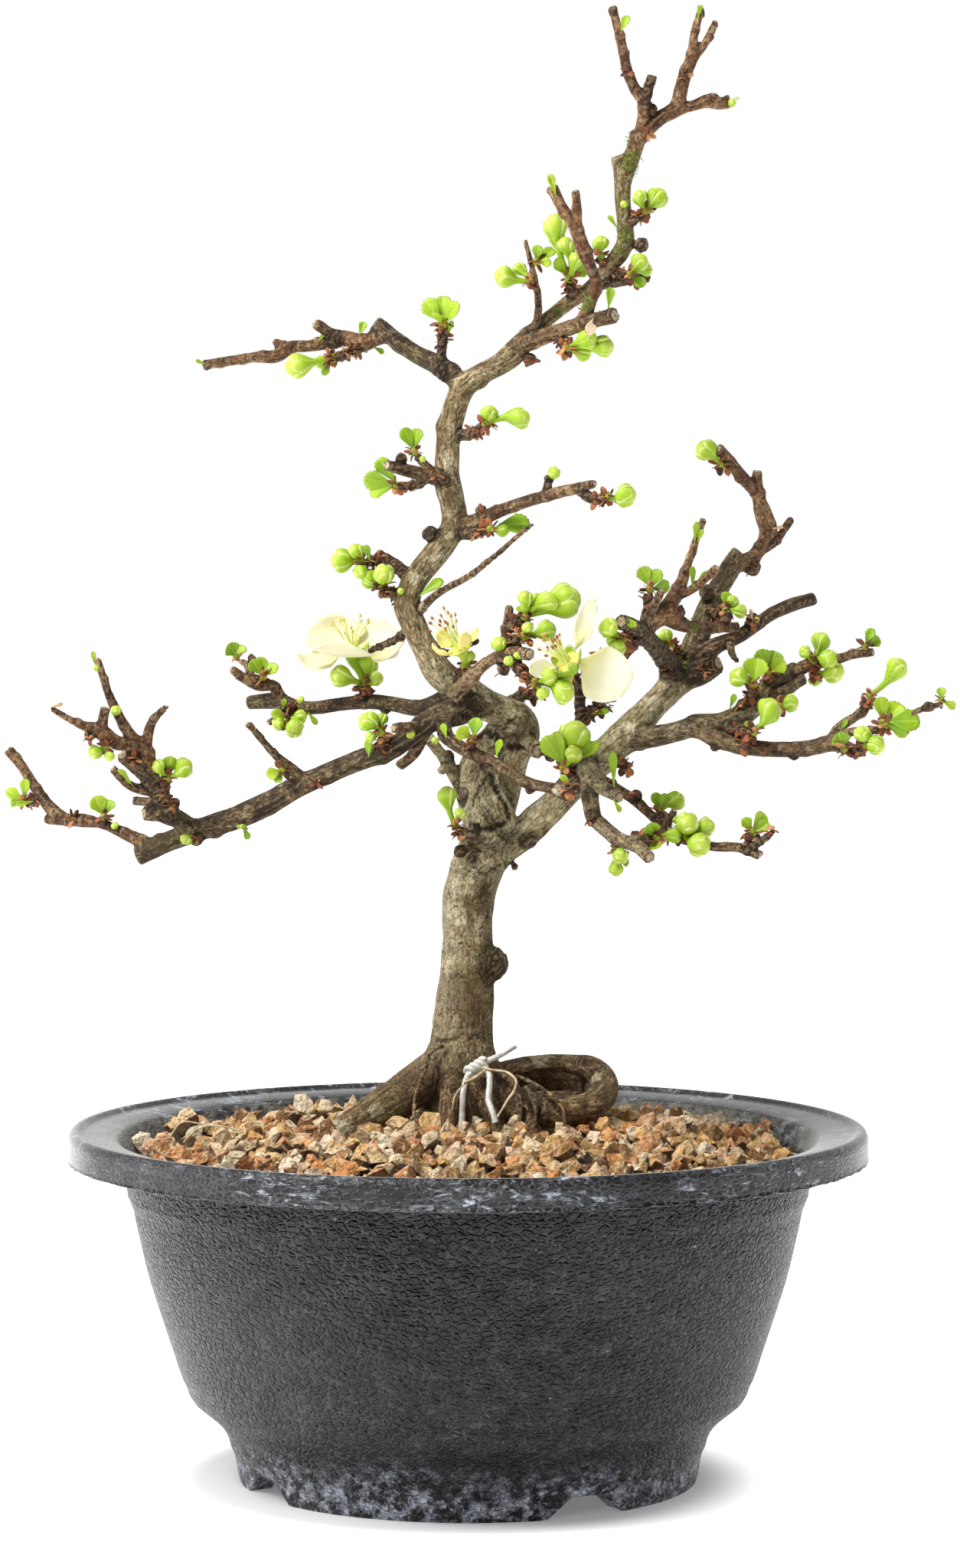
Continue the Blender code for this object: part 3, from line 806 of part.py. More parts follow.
def make_grit(material):
    """The grit as one body, its top broken into facets by a height drawn for each point."""
    draw = random.Random(SEED)
    outer_radius = GRIT_BODY[0][0]
    bm = bmesh.new()
    rings = [[bm.verts.new((0, 0, grit_height(0) * MM))]]
    for ring_index in range(1, GRIT_RINGS + 1):
        radius = outer_radius * ring_index / GRIT_RINGS
        count = POT_SEGMENTS if ring_index == GRIT_RINGS else 6 * ring_index
        ring = []
        for k in range(count):
            stagger = 0.5 if ring_index % 2 and ring_index < GRIT_RINGS else 0.0
            turn = 2 * math.pi * (k + stagger) / count
            relief = draw.uniform(-GRIT_RELIEF, GRIT_RELIEF)
            level = GRIT_BODY[0][1] if ring_index == GRIT_RINGS else grit_height(radius) + relief
            ring.append(bm.verts.new(polar(radius, turn, level)))
        rings.append(ring)
    for inner, outer in zip(rings, rings[1:]):
        stitch(bm, inner, outer)
    below = rings[-1]
    for radius, height in GRIT_BODY[1:]:
        turns = [2 * math.pi * k / POT_SEGMENTS for k in range(POT_SEGMENTS)]
        ring = [bm.verts.new(polar(radius, turn, height)) for turn in turns]
        bridge(bm, below, ring)
        below = ring
    bm.faces.new(below)
    return add_object("grit", bm, material)


def stitch(bm, inner, outer):
    """Fill the band between two rings about z that hold different numbers of points."""
    if len(inner) == 1:
        for k, vert in enumerate(outer):
            bm.faces.new((inner[0], vert, outer[(k + 1) % len(outer)]))
        return
    first_a = math.atan2(inner[0].co.y, inner[0].co.x) / (2 * math.pi)
    first_b = math.atan2(outer[0].co.y, outer[0].co.x) / (2 * math.pi)
    a = 0
    b = 0
    while a < len(inner) or b < len(outer):
        vert_a = inner[a % len(inner)]
        vert_b = outer[b % len(outer)]
        turn_a = (a + 1) / len(inner) + first_a
        turn_b = (b + 1) / len(outer) + first_b
        if b >= len(outer) or (a < len(inner) and turn_a < turn_b):
            bm.faces.new((vert_a, vert_b, inner[(a + 1) % len(inner)]))
            a += 1
        else:
            bm.faces.new((vert_a, vert_b, outer[(b + 1) % len(outer)]))
            b += 1


def bud(name, base, centre, radius):
    """A swelling flower bud: a thin neck from its base, a round body and a blunt tip."""
    along = (centre - base).normalized()
    stations = [base] + [centre + along * radius * reach for reach, width in BUD_STATIONS]
    radii = [min(BUD_NECK * MM, radius / 2)] + [radius * width for reach, width in BUD_STATIONS]
    bm = bmesh.new()
    rings = [[bm.verts.new(co) for co in ring] for ring in rings_along(stations, radii, BUD_SIDES)]
    for ring_a, ring_b in zip(rings, rings[1:]):
        bridge(bm, ring_a, ring_b)
    bm.faces.new(reversed(rings[0]))
    tip = bm.verts.new(centre + along * radius * BUD_TIP_REACH)
    for k in range(BUD_SIDES):
        bm.faces.new((rings[-1][k], rings[-1][(k + 1) % BUD_SIDES], tip))
    return add_object(name, bm)


def blade(name, base, tip, half_width, facing, shape, thickness, cup=0.0):
    """A leaf or petal: a bent strip from base to tip, as a closed solid, cupped across if cup says.

    shape holds (share of the length, share of the half width, lift as a share of the length).
    """
    along = tip - base
    length = along.length
    along.normalize()
    across = along.cross(facing).normalized()
    normal = across.cross(along).normalized()
    sides = ((-1, cup), (0, 0), (1, cup)) if cup else ((-1, 0), (1, 0))
    bm = bmesh.new()
    rings = []
    for t, width, lift in shape:
        middle = base + along * length * t + normal * length * lift
        reach = max(half_width * width, LEAST_HALF_WIDTH * MM)
        ring = [middle + across * reach * side + normal * reach * sink for side, sink in sides]
        under = [co - normal * thickness * MM for co in reversed(ring)]
        rings.append([bm.verts.new(co) for co in ring + under])
    for ring_a, ring_b in zip(rings, rings[1:]):
        bridge(bm, ring_a, ring_b)
    bm.faces.new(reversed(rings[0]))
    bm.faces.new(rings[-1])
    return add_object(name, bm)


def ball(name, centre, radius):
    bm = bmesh.new()
    bmesh.ops.create_icosphere(bm, subdivisions=1, radius=radius, matrix=Matrix.Translation(centre))
    return add_object(name, bm)


def stem(name, start, end, radius_start, radius_end, sides=6):
    """A straight closed round or tapered rod."""
    return lathe(name, [start, end], [radius_start, radius_end], sides)


def lathe(name, stations, radii, sides):
    """A closed body of rings about a line of stations."""
    bm = bmesh.new()
    rings = [[bm.verts.new(co) for co in ring] for ring in rings_along(stations, radii, sides)]
    for ring_a, ring_b in zip(rings, rings[1:]):
        bridge(bm, ring_a, ring_b)
    bm.faces.new(reversed(rings[0]))
    bm.faces.new(rings[-1])
    return add_object(name, bm)


def leaf_facing(draw, base, tip):
    """Most young leaves turn a face to the front, each with its own slant."""
    facing = Vector((draw.uniform(-0.5, 0.5), -1.0, draw.uniform(-0.3, 0.6))).normalized()
    too_nearly_along = abs((tip - base).normalized().dot(facing)) > 0.9
    return Vector((0, 0, 1)) if too_nearly_along else facing


def make_spray(name, heads, material, wood_clearance, draw):
    solids = []
    for head in heads:
        base = seen(*head["base"])
        solids.append(ball(name + "_foot", base, seen_size(head["hub"], head["base"][2])))
        for x, z, depth, radius in head["buds"]:
            solids.append(bud(name + "_bud", base, seen(x, z, depth), seen_size(radius, depth)))
        for x, z, depth, half_width in head["leaves"]:
            tip = seen(x, z, depth)
            facing = leaf_facing(draw, base, tip)
            width = seen_size(half_width, depth)
            solids.append(blade(name + "_leaf", base, tip, width, facing, LEAF_SHAPE, LEAF_THICKNESS))
    for flower in FLOWERS.values():
        if flower["spray"] == name:
            solids.append(cup_of(flower, base))
    spray = fuse(name, solids, material)
    boolean(spray, "DIFFERENCE", other=wood_clearance)
    keep_largest(spray)
    draw_together(spray, SHORT_EDGE)
    spray.data.materials.clear()
    spray.data.materials.append(material)
    return spray


def flower_axis(flower):
    centre = seen(*flower["centre"])
    return centre, (seen(*flower["towards"]) - centre).normalized()


def cup_of(flower, foot):
    """The green cup below a bloom, on its own short stalk."""
    centre, axis = flower_axis(flower)
    top = centre - axis * CUP_BELOW_CENTRE * MM
    waist = top - axis * CUP_DEPTH * MM
    stations = [foot, foot.lerp(waist, 0.5), waist, top]
    radii = [size * MM for size in (STALK_RADIUS, STALK_RADIUS, CUP_WAIST_RADIUS, CUP_RADIUS)]
    return lathe("cup", stations, radii, 6)


def make_stamens(name, flower, material, draw):
    """A tuft of filaments that lean out a little from their common foot."""
    centre, axis = flower_axis(flower)
    reach = (seen(*flower["towards"]) - centre).length
    low = centre - axis * (CUP_BELOW_CENTRE - CLEARANCE) * MM
    high = centre + axis * STAMEN_FOOT_TOP * MM
    foot_radius = STAMEN_FOOT_RADIUS * MM
    solids = [stem(name + "_foot", low, high, foot_radius, foot_radius)]
    side = axis.orthogonal().normalized()
    across = axis.cross(side)
    for k in range(FILAMENTS):
        turn = 2 * math.pi * k / FILAMENTS
        outward = side * math.cos(turn) + across * math.sin(turn)
        lean = draw.uniform(*FILAMENT_LEAN)
        tip = centre + (axis + outward * lean).normalized() * reach * draw.uniform(*FILAMENT_REACH)
        root = centre + outward * foot_radius / 2
        solids.append(stem(name + "_filament", root, tip, FILAMENT_RADIUS * MM, ANTHER_RADIUS * MM, 3))
    stamens = fuse(name, solids, material)
    keep_largest(stamens)


def make_petals(name, flower, material):
    """The petals of one bloom, held by a ring round the foot of its stamens."""
    centre, axis = flower_axis(flower)
    low = centre - axis * (CUP_BELOW_CENTRE - CLEARANCE) * MM
    high = centre + axis * RING_TOP * MM
    solids = [stem(name + "_ring", low, high, RING_RADIUS * MM, RING_RADIUS * MM, 8)]
    for x, z, depth, half_width in flower["petals"]:
        tip = seen(x, z, depth)
        outward = tip - centre
        square = (outward - axis * outward.dot(axis)).normalized()
        start = centre.lerp(low, 0.3) + square * PETAL_SEAT_RADIUS * MM
        width = seen_size(half_width, depth)
        solids.append(blade("petal", start, tip, width, -axis, PETAL_SHAPE, PETAL_THICKNESS, PETAL_CUP))
    petals = fuse(name, solids, material)
    bore = (STAMEN_FOOT_RADIUS + CLEARANCE) * MM
    mouth = centre + axis * STAMEN_ROOM * MM
    room_for_stamens = stem("room", low - axis * bore, mouth, bore, STAMEN_ROOM_SPREAD * bore, 8)
    boolean(petals, "DIFFERENCE", other=room_for_stamens)
    remove(room_for_stamens)
    cup_room = (CUP_RADIUS + CLEARANCE) * MM
    room_for_cup = stem("room", low - axis * 2 * CUP_RADIUS * MM, low, cup_room, cup_room, 8)
    boolean(petals, "DIFFERENCE", other=room_for_cup)
    remove(room_for_cup)
    keep_largest(petals)


def wood_solids(prefix, grow=0.0):
    solids = []
    for table in (LIMBS, ROOTS):
        for name, (sides, route) in table.items():
            solids.append(tube(prefix + name, route, sides, grow))
    for i, (x, z, depth, radius) in enumerate(KNOTS):
        solids.append(knot(f"{prefix}knot_{i}", x, z, depth, radius, grow))
    return solids


def wire_solids(prefix, grow=0.0):
    routes = (WIRE_LEFT_LEG, WIRE_RIGHT_LEG, WIRE_TAIL)
    return [tube(f"{prefix}{i}", route, 6, grow) for i, route in enumerate(routes)]


def main():
    for obj in list(bpy.data.objects):
        bpy.data.objects.remove(obj, do_unlink=True)
    bark = finish("bark", (0.30, 0.24, 0.17), 0.85)
    plastic = finish("pot_plastic", (0.045, 0.048, 0.052), 0.6)
    gravel = finish("grit", (0.62, 0.45, 0.29), 0.9)
    green = finish("young_green", (0.33, 0.55, 0.08), 0.5)
    cream = finish("petal", (0.88, 0.85, 0.66), 0.55)
    yellow = finish("stamen", (0.82, 0.78, 0.30), 0.55)
    metal = finish("tie_wire", (0.62, 0.61, 0.58), 0.4, 1.0)
    draw = random.Random(SEED)

    make_pot(plastic)
    wood = fuse("tree_wood", wood_solids("wood_"), bark)
    thin_out(wood, WOOD_SHARE_KEPT)
    keep_largest(wood)
    wood_clearance = fuse("wood_clearance", wood_solids("near_wood_", CLEARANCE))
    wire_clearance = fuse("wire_clearance", wire_solids("near_wire_", CLEARANCE))

    wire = fuse("tie_wire", wire_solids("wire_"), metal)
    boolean(wire, "DIFFERENCE", other=wood_clearance)
    keep_largest(wire)

    grit = make_grit(gravel)
    boolean(grit, "DIFFERENCE", other=wood_clearance)
    boolean(grit, "DIFFERENCE", other=wire_clearance)
    keep_largest(grit)

    for name, heads in SPRAYS.items():
        make_spray(name, heads, green, wood_clearance, draw)
    for name, flower in FLOWERS.items():
        make_stamens(name + "_stamens", flower, yellow, draw)
        make_petals(name + "_petals", flower, cream)
    remove(wood_clearance)
    remove(wire_clearance)


main()
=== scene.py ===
"""The looks of a flowering quince bonsai in its training pot.

Everything is worked out in millimetres and made a mesh in metres. The pot's axis is z and the front
faces -y. A route is a list of (x, z, depth, radius), with x and z as they appear from the front on
the plane through the pot's axis, and depth away from the viewer.
"""

import math
import random

import bmesh
import bpy
import numpy as np
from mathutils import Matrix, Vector, noise


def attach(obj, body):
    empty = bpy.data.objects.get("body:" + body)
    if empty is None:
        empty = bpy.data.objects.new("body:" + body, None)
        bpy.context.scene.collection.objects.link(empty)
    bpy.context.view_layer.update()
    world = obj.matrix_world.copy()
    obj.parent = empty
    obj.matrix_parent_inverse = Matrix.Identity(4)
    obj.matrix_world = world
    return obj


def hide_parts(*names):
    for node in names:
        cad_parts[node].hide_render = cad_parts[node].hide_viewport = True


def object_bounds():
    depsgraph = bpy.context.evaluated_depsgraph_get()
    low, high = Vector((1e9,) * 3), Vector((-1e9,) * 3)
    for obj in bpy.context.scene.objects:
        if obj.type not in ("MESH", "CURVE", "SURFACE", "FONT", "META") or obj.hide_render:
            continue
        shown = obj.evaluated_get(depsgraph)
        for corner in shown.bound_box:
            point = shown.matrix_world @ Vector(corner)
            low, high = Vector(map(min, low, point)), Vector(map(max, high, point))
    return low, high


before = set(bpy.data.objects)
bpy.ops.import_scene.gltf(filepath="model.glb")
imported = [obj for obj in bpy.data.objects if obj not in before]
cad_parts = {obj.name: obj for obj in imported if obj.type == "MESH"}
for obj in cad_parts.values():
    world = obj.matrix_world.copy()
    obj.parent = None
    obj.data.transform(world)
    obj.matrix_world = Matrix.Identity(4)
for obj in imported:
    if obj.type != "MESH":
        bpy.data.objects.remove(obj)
cad_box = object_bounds()

MM = 0.001
BOX_LOW, BOX_HIGH = np.array(cad_box) / MM
SEED = 11

# The eye that the routes are seen from, in mm in front of the pot's axis and above the ground, and
# its camera: how far it looks down in degrees, its lens in mm and its sideways shift
EYE_DISTANCE = 923.0
EYE_HEIGHT = 185.4
EYE_PITCH = 2.853
EYE_LENS = 106.17
EYE_SHIFT = 0.00757

# Woody limbs, each as its route
LIMBS = {
    "trunk": [(-1.5, 60, 8, 7.6), (-1.5, 72, 8, 8.4), (-1.2, 80, 8, 8.1), (-1.3, 84.5, 8, 7.3),
        (-1.2, 88, 8, 6.4), (-1, 92, 8, 6), (-0.5, 97, 8, 5.75), (-0.3, 103, 8, 5.4),
        (-0.15, 110, 8, 5.1), (0, 115.5, 7.5, 5.2), (0.9, 120, 7, 5.3), (2.3, 124, 6.5, 5.2),
        (3.2, 128, 6, 4.6)],
    "trunk_bulb": [(4, 126.5, 5.5, 4.2), (4, 131, 5, 4.3), (4, 134.5, 4.5, 4.3), (3.8, 137.5, 4, 3.4),
        (3.4, 140.5, 3.5, 1.9), (3.3, 142.4, 3.2, 0.9)],
    "trunk_right_strand": [(5, 130, 8, 3.8), (7, 136.5, 9, 3), (8.2, 141, 9, 2.9),
        (9.3, 145.5, 8.5, 3.2), (10.8, 149.3, 8, 3.4), (10.3, 151.8, 7, 3.3), (7.6, 153.5, 5, 3.2),
        (5, 154.6, 4, 3.1), (2, 156, 2.5, 3.3), (-1, 158.4, 1, 3.1), (-4.4, 160.3, 0, 3.05),
        (-6.6, 162.8, -0.5, 2.9), (-8.4, 166, -1, 2.45), (-10.3, 170, -1.5, 2.5), (-12, 174.5, -2, 2.5),
        (-11.6, 178, -1.5, 2.5), (-9.7, 181.3, -0.5, 2.5), (-6.7, 185, 0.5, 2.5), (-4.4, 188, 1.5, 2.45),
        (-2.7, 191.5, 2.3, 2.5), (-3.2, 195.5, 3, 2.5), (-4.2, 200, 4, 2.55), (-4.1, 205.5, 5, 2.4),
        (-3.6, 210.5, 5, 2.45), (-2.4, 215, 4.5, 2.35), (-0.6, 218.8, 4.2, 2.3), (2.5, 221, 4, 2.15),
        (6, 222.8, 4, 2.1), (8.8, 225, 4, 2.3), (10.8, 227.3, 4.5, 2), (13.8, 230.3, 5.5, 1.5),
        (17, 232.9, 6.5, 1.4), (20.3, 235.5, 7.5, 1.5), (23.6, 237.5, 8.5, 1.5), (26.8, 240.9, 9.5, 1.5),
        (29.3, 243.8, 10, 1.7), (31.2, 247, 10, 1.75), (31.1, 251, 10, 1.6), (30.7, 256, 10, 1.6),
        (30.6, 261, 10, 1.75), (29.7, 264.3, 10, 1.5)],
    "trunk_left_strand": [(2.5, 132, 8, 3.6), (0.8, 138.5, 8, 3.2), (0.8, 142, 8, 2.9),
        (2.6, 146, 8, 2.6), (5.5, 149.4, 7.5, 2.6), (8.5, 151, 7, 2.4)],
    "apex_stem": [(31.2, 260, 10, 1.4), (33, 265.5, 9.5, 1.6), (33.9, 269, 9, 1.4)],
    "apex_left": [(33.8, 267.5, 9, 1.3), (34.5, 271, 8.5, 1.1), (34.9, 275, 8, 1.2),
        (33.2, 277.3, 7.5, 1.1), (31.6, 281, 7, 1.05), (30.5, 286, 6, 0.95), (29.5, 290, 5.5, 0.85),
        (28.6, 293.8, 5, 0.85)],
    "apex_left_stub": [(34.7, 274, 8, 1), (36.6, 280.2, 6.5, 0.9)],
    "apex_right": [(34.2, 268, 9, 1.35), (38.3, 271.8, 10, 1.45), (41, 273.5, 11, 1.5),
        (42.3, 277.5, 12, 1.35), (43.2, 280.7, 12.5, 1.35), (44.5, 284, 13, 1.15),
        (44.7, 287.5, 13.5, 0.85), (46.3, 293.5, 14.5, 0.7)],
    "apex_right_fork": [(44.3, 283.3, 13, 1), (46.4, 285.6, 13.5, 0.85), (49.2, 290.8, 15, 0.65)],
    "apex_right_branch": [(41.2, 273.3, 11, 1.3), (45.1, 274.3, 12.5, 1.05), (47.8, 275.1, 13.5, 1.45),
        (50, 274.6, 14.5, 1.2), (52, 274.8, 15.5, 1.1)],
    "leader_dark_stub": [(25.8, 238.8, 9, 1.2), (31, 239.6, 12, 1.05), (36, 240.3, 15, 1)],
    "lower_fork": [(10.5, 226.8, 3.5, 1.7), (14, 228.1, 1, 1.6), (20.3, 230.3, -3, 1.5),
        (25.5, 231.8, -6, 1.5), (29.2, 232.7, -8, 1.6)],
    "reddish_twig": [(22.6, 231.2, -4.5, 1.3), (24, 234.5, -5, 1.3), (25.4, 239.5, -5.5, 1.1),
        (24.2, 242.5, -5.5, 1.25), (23.2, 245, -5.5, 1.4), (21.3, 250, -5.5, 1.25),
        (18.1, 255, -4.5, 1.1), (16.6, 258.3, -4, 1.15)],
    "reddish_twig_stub": [(21.5, 249, -5.5, 1.1), (21.7, 252.8, -6.5, 0.95), (21.3, 257.4, -8, 0.8)],
    "thorn_twig": [(11.2, 228, 4.5, 1), (13.6, 231.5, 3.5, 0.75), (13.9, 236, 2.5, 0.7),
        (13.2, 240, 1.5, 0.65), (11.3, 248, 0.5, 0.35)],
    "upper_left": [(-1.2, 219, 4.8, 2), (-5.5, 222.6, 7, 2), (-10, 224.8, 10, 1.8),
        (-14.4, 227.8, 12.5, 1.7), (-17.3, 230, 14.5, 1.8), (-18.7, 231, 15.5, 1.7)],
    "upper_left_twig": [(-16.5, 228.6, 14, 1.4), (-21.4, 227.4, 16, 1.6), (-24.9, 228.2, 17.5, 1.5),
        (-28.4, 227.2, 19, 1.35), (-32, 226.6, 20, 1.15), (-35.5, 226.3, 21, 1.3),
        (-37.5, 224.9, 21.5, 1.35), (-42.5, 224.4, 23, 1.05), (-52.9, 222.8, 27, 1)],
    "upper_left_stub": [(-25.7, 228, 18, 1.2), (-30.6, 231.2, 16.5, 1)],
    "upper_left_tip_stub": [(-35.5, 226, 21, 1.1), (-38.7, 227.5, 22.5, 0.8)],
    "upper_left_spur": [(-19.5, 227, 15.5, 1), (-26.5, 224.3, 14.5, 0.8)],
    "fan_spur": [(-5.7, 221.8, 7, 1.2), (-5.3, 226, 6, 0.9), (-5.1, 230.3, 5, 0.85)],
    "top_spur": [(30.6, 250, 10, 1), (33.2, 251.8, 8.5, 0.8), (35, 252.8, 7.5, 0.75)],
    "single_bud_spur": [(27.7, 241.6, 9.7, 1), (26.4, 243.8, 9, 0.7)],
    "low_leader_spur": [(28, 241.7, 9.8, 1), (31.6, 240.6, 8, 0.75)],
    "big_cluster_spur": [(20.9, 235.8, 7.6, 1), (20.3, 239.3, 5, 0.8)],
    "under_fork_spur": [(17.4, 229.4, -1, 1), (18.9, 226.7, -3, 0.8)],
    "neck_spur": [(-3.4, 209, 5, 1.3), (0.5, 209.2, 2.5, 1), (3, 210.6, 1, 0.9)],
    "mid_left": [(-3.6, 199.6, 4, 1.7), (-8.5, 201, 1.5, 1.4), (-11.8, 201.8, 0, 1.3),
        (-16.3, 203, -2, 1.1)],
    "mid_left_hook": [(-4, 199.5, 3, 1.2), (-5.8, 201, -1, 0.9), (-8.1, 202.6, -3, 0.85),
        (-10.4, 205, -4.5, 0.8)],
    "mid_left_spur": [(-8.2, 200.6, 2, 1), (-10.4, 199.1, 3.5, 0.8), (-13.4, 198.8, 4.5, 0.75)],
    "mid_right": [(-2.9, 191.4, 2.3, 1.9), (0.7, 191.4, 0, 1.7), (4.2, 193, -3, 1.4),
        (10, 195.2, -7, 1.2), (19.8, 198, -13, 1.1), (25.4, 199.3, -16.5, 0.75)],
    "mid_right_spur": [(22, 198.3, -14.2, 1), (24.8, 196.2, -15, 0.9), (27.4, 196.3, -16, 0.9)],
    "mid_right_shoot_spur": [(-1.5, 189.6, 1.5, 1.3), (1.3, 189.3, -2, 1), (3.6, 190.1, -3.5, 0.8)],
    "thin_twig": [(-9.5, 174.3, -3, 1), (-6.9, 176.8, -5, 0.75), (0.1, 180.9, -9, 0.65),
        (5.9, 185.4, -12, 0.5), (10.8, 189.7, -14, 0.4), (13, 191.3, -15, 0.3)],
    "mid_cluster_stub": [(-10.6, 179.2, -1.2, 1.5), (-13.2, 182, 0, 1.25), (-18.6, 185.4, 3, 1.2)],
    "mid_cluster_spur": [(-11.6, 175, -2, 1.2), (-16.3, 178.3, -1, 0.85)],
    "mid_cluster_outer_spur": [(-16, 184, 1.8, 1), (-20.4, 183.6, 1, 0.75)],
    "left_limb": [(2.5, 155.5, 2, 2.4), (-3, 153.6, -4, 2.8), (-6.1, 152.8, -6, 2.5),
        (-9.5, 150.6, -6.5, 2.1), (-15, 146.6, -6, 2.15), (-20, 144.8, -4.5, 2.1), (-30, 140.7, -1, 2.1),
        (-35, 138.4, 0.5, 2.3), (-40, 135.5, 2, 2.35), (-45, 133.2, 4, 2.4), (-55, 129.8, 8, 2.2),
        (-60, 127.8, 10, 2), (-64.2, 126, 12, 2.1), (-66.2, 124.9, 13, 1.9)],
    "left_tip": [(-62.8, 126.6, 11.5, 1.6), (-67.6, 129, 13, 1.3), (-74, 131.6, 16.5, 1.05),
        (-77.3, 132.1, 18, 1.4), (-80.5, 132.1, 19.5, 1.1), (-84.7, 132.3, 21.5, 0.9)],
    "left_tip_rise": [(-80, 132.2, 19.4, 1.1), (-82.8, 133.9, 20.5, 1.3), (-85.4, 137.1, 22, 1.15),
        (-89.9, 143.9, 24.5, 1.05), (-92, 146.4, 25.5, 1.1)],
    "left_tip_spur": [(-85, 136.8, 22, 0.9), (-88, 135.8, 22.5, 0.7)],
    "left_group": [(-54.3, 129.8, 7.8, 1.9), (-58, 132.3, 5, 1.9), (-61.2, 133.7, 3, 1.95),
        (-64.9, 133.4, 1.5, 1.4)],
    "left_group_stem": [(-60, 133.2, 3.5, 1.8), (-61.3, 136.5, 2, 1.8), (-63.4, 140.1, -0.5, 1.7),
        (-65.7, 142.7, -2.5, 1.7), (-69, 145.3, -4.5, 1.5)],
    "left_group_rise": [(-63.3, 140.6, -0.8, 1.5), (-65, 146.9, -3.5, 1.5), (-67, 148.5, -5, 1.3),
        (-68.6, 150.9, -6, 1.1), (-70.9, 155.3, -7, 0.9), (-74.1, 164.5, -8.5, 0.65)],
    "left_group_outer": [(-66, 147.4, -4.5, 1.3), (-69.6, 147.5, -7, 1.35), (-73.8, 150.1, -10.5, 1.5),
        (-77.3, 151.2, -12.5, 0.85), (-83.5, 154.6, -15, 0.5)],
    "left_group_outer_stub": [(-73.3, 149.8, -10.3, 1.1), (-72.5, 154.7, -11.5, 0.9)],
    "left_group_low_twig": [(-62, 137.6, 1.2, 1.1), (-67.6, 139.1, -1, 0.95), (-71.1, 142.5, -2.5, 0.8)],
    "left_group_low_stub": [(-60.9, 135.4, 2.4, 1.1), (-67, 136.1, 5.5, 0.8)],
    "left_group_inner_twig": [(-64.6, 144.6, -2.8, 1.1), (-63, 152, -5, 0.9), (-60.2, 155, -6.5, 0.55)],
    "left_group_bud_spur": [(-61.4, 136.3, 1.8, 1.1), (-60.3, 139.8, -1, 0.85)],
    "left_limb_twig": [(-32.6, 139.9, -0.3, 1.4), (-36, 142.9, -2.5, 1.15), (-38.2, 144.9, -4, 0.85),
        (-44.1, 151.7, -6, 0.7)],
    "back_left": [(-3.5, 156.8, 1, 2), (-10, 154.6, 6, 1.6), (-15, 155.4, 10, 1.5),
        (-19.5, 155.9, 13, 1.45), (-25, 155.4, 17, 1.35), (-34.4, 154.8, 23, 1.4),
        (-37.6, 155.9, 25, 1.6), (-44, 155.6, 30, 1.3)],
    "back_left_rise": [(-37.2, 155.8, 25, 1.3), (-39.2, 159.1, 23.5, 1.1), (-41.5, 159.1, 22.5, 1.15),
        (-47.5, 162.5, 20.5, 0.7)],
    "back_left_rise_stub": [(-43.3, 160, 21.9, 0.9), (-43.9, 163, 22.7, 0.7), (-45.6, 164.2, 23.4, 0.5)],
    "back_left_bud_spur": [(-34.8, 154.9, 23.2, 1.1), (-36, 152.6, 20.5, 0.85)],
    "limb_bud_spur": [(-17.2, 145.6, -5.6, 1.2), (-17, 149, -8.5, 0.85)],
    "limb_ring_stub": [(-8.8, 151, -6.4, 1.2), (-15, 150.5, -12, 1)],
    "limb_low_stub": [(-8.6, 150, -6, 1.3), (-11, 145.3, -3, 1.1), (-14, 142.8, -1, 1)],
    "left_flower_spur": [(-20.6, 155.6, 13.8, 1.1), (-20.6, 158.3, 11.5, 0.9)],
    "front_twig": [(-2.2, 157.6, -0.5, 1.7), (-0.8, 159.2, -5, 1.45), (1.1, 161.3, -10, 1.3),
        (3.6, 163.5, -14, 1.15), (7, 165.4, -18, 1.25), (12.4, 165.3, -25, 1.3)],
    "front_twig_rise": [(7.1, 164.8, -18.5, 1.2), (7.6, 169, -18, 1), (8.3, 175.1, -17, 0.8)],
    "front_bud_spur": [(7.6, 170.3, -17.8, 1), (10.6, 172.3, -19, 1)],
    "front_low_bud_spur": [(7.3, 167.4, -18.2, 1), (10.6, 168.5, -20, 0.9)],
    "front_hanging_spur": [(8.8, 165, -20.5, 1.3), (10.3, 162.2, -21.5, 1.2), (12.7, 160.2, -23, 1.1)],
    "trunk_dark_spur": [(8.8, 153.6, 6, 1.3), (9.6, 156.6, 7.5, 1), (13.8, 157.4, 9, 0.9)],
    "middle_flower_spur": [(-1.6, 159.6, -1, 1.4), (-0.5, 162.3, -3.5, 1)],
    "front_crossing_twig": [(-4.9, 152.1, -6.2, 1.6), (-4.3, 148.9, -9.5, 1.5), (-1.1, 146.5, -12, 1.35),
        (5.1, 143.7, -15, 1.2), (11.4, 139.9, -19, 1.15), (17.7, 138.2, -23, 1.2),
        (20.2, 137.2, -24, 1.5)],
    "crossing_leaf_spur": [(0.6, 145.8, -12.3, 0.9), (0.8, 147.6, -13.5, 0.8)],
    "trunk_ring_stub": [(10.6, 148.2, 7, 1.8), (14, 146, 1, 1.65)],
    "trunk_bud_spur": [(1.6, 128.6, 1.5, 1), (-1, 129.5, -0.8, 1.05), (-2.4, 130.4, -0.7, 0.9)],
    "right_limb": [(1.5, 124, 6.5, 4.3), (5.5, 126.3, 6, 3.9), (10.4, 129, 5, 3.3),
        (14.4, 132.7, 4.5, 3.15), (17.4, 135.5, 4, 2.95), (22, 140.4, 4, 3), (27.5, 145.4, 4, 3.3),
        (32.2, 149.9, 5, 3.3), (36.9, 154.9, 6.5, 2.8), (40.4, 158.6, 8, 2.9), (43, 162, 10.5, 3)],
    "right_back_spur": [(23.6, 142.6, 5, 1.4), (22.3, 149, 10, 1.1), (22.5, 152, 11, 1),
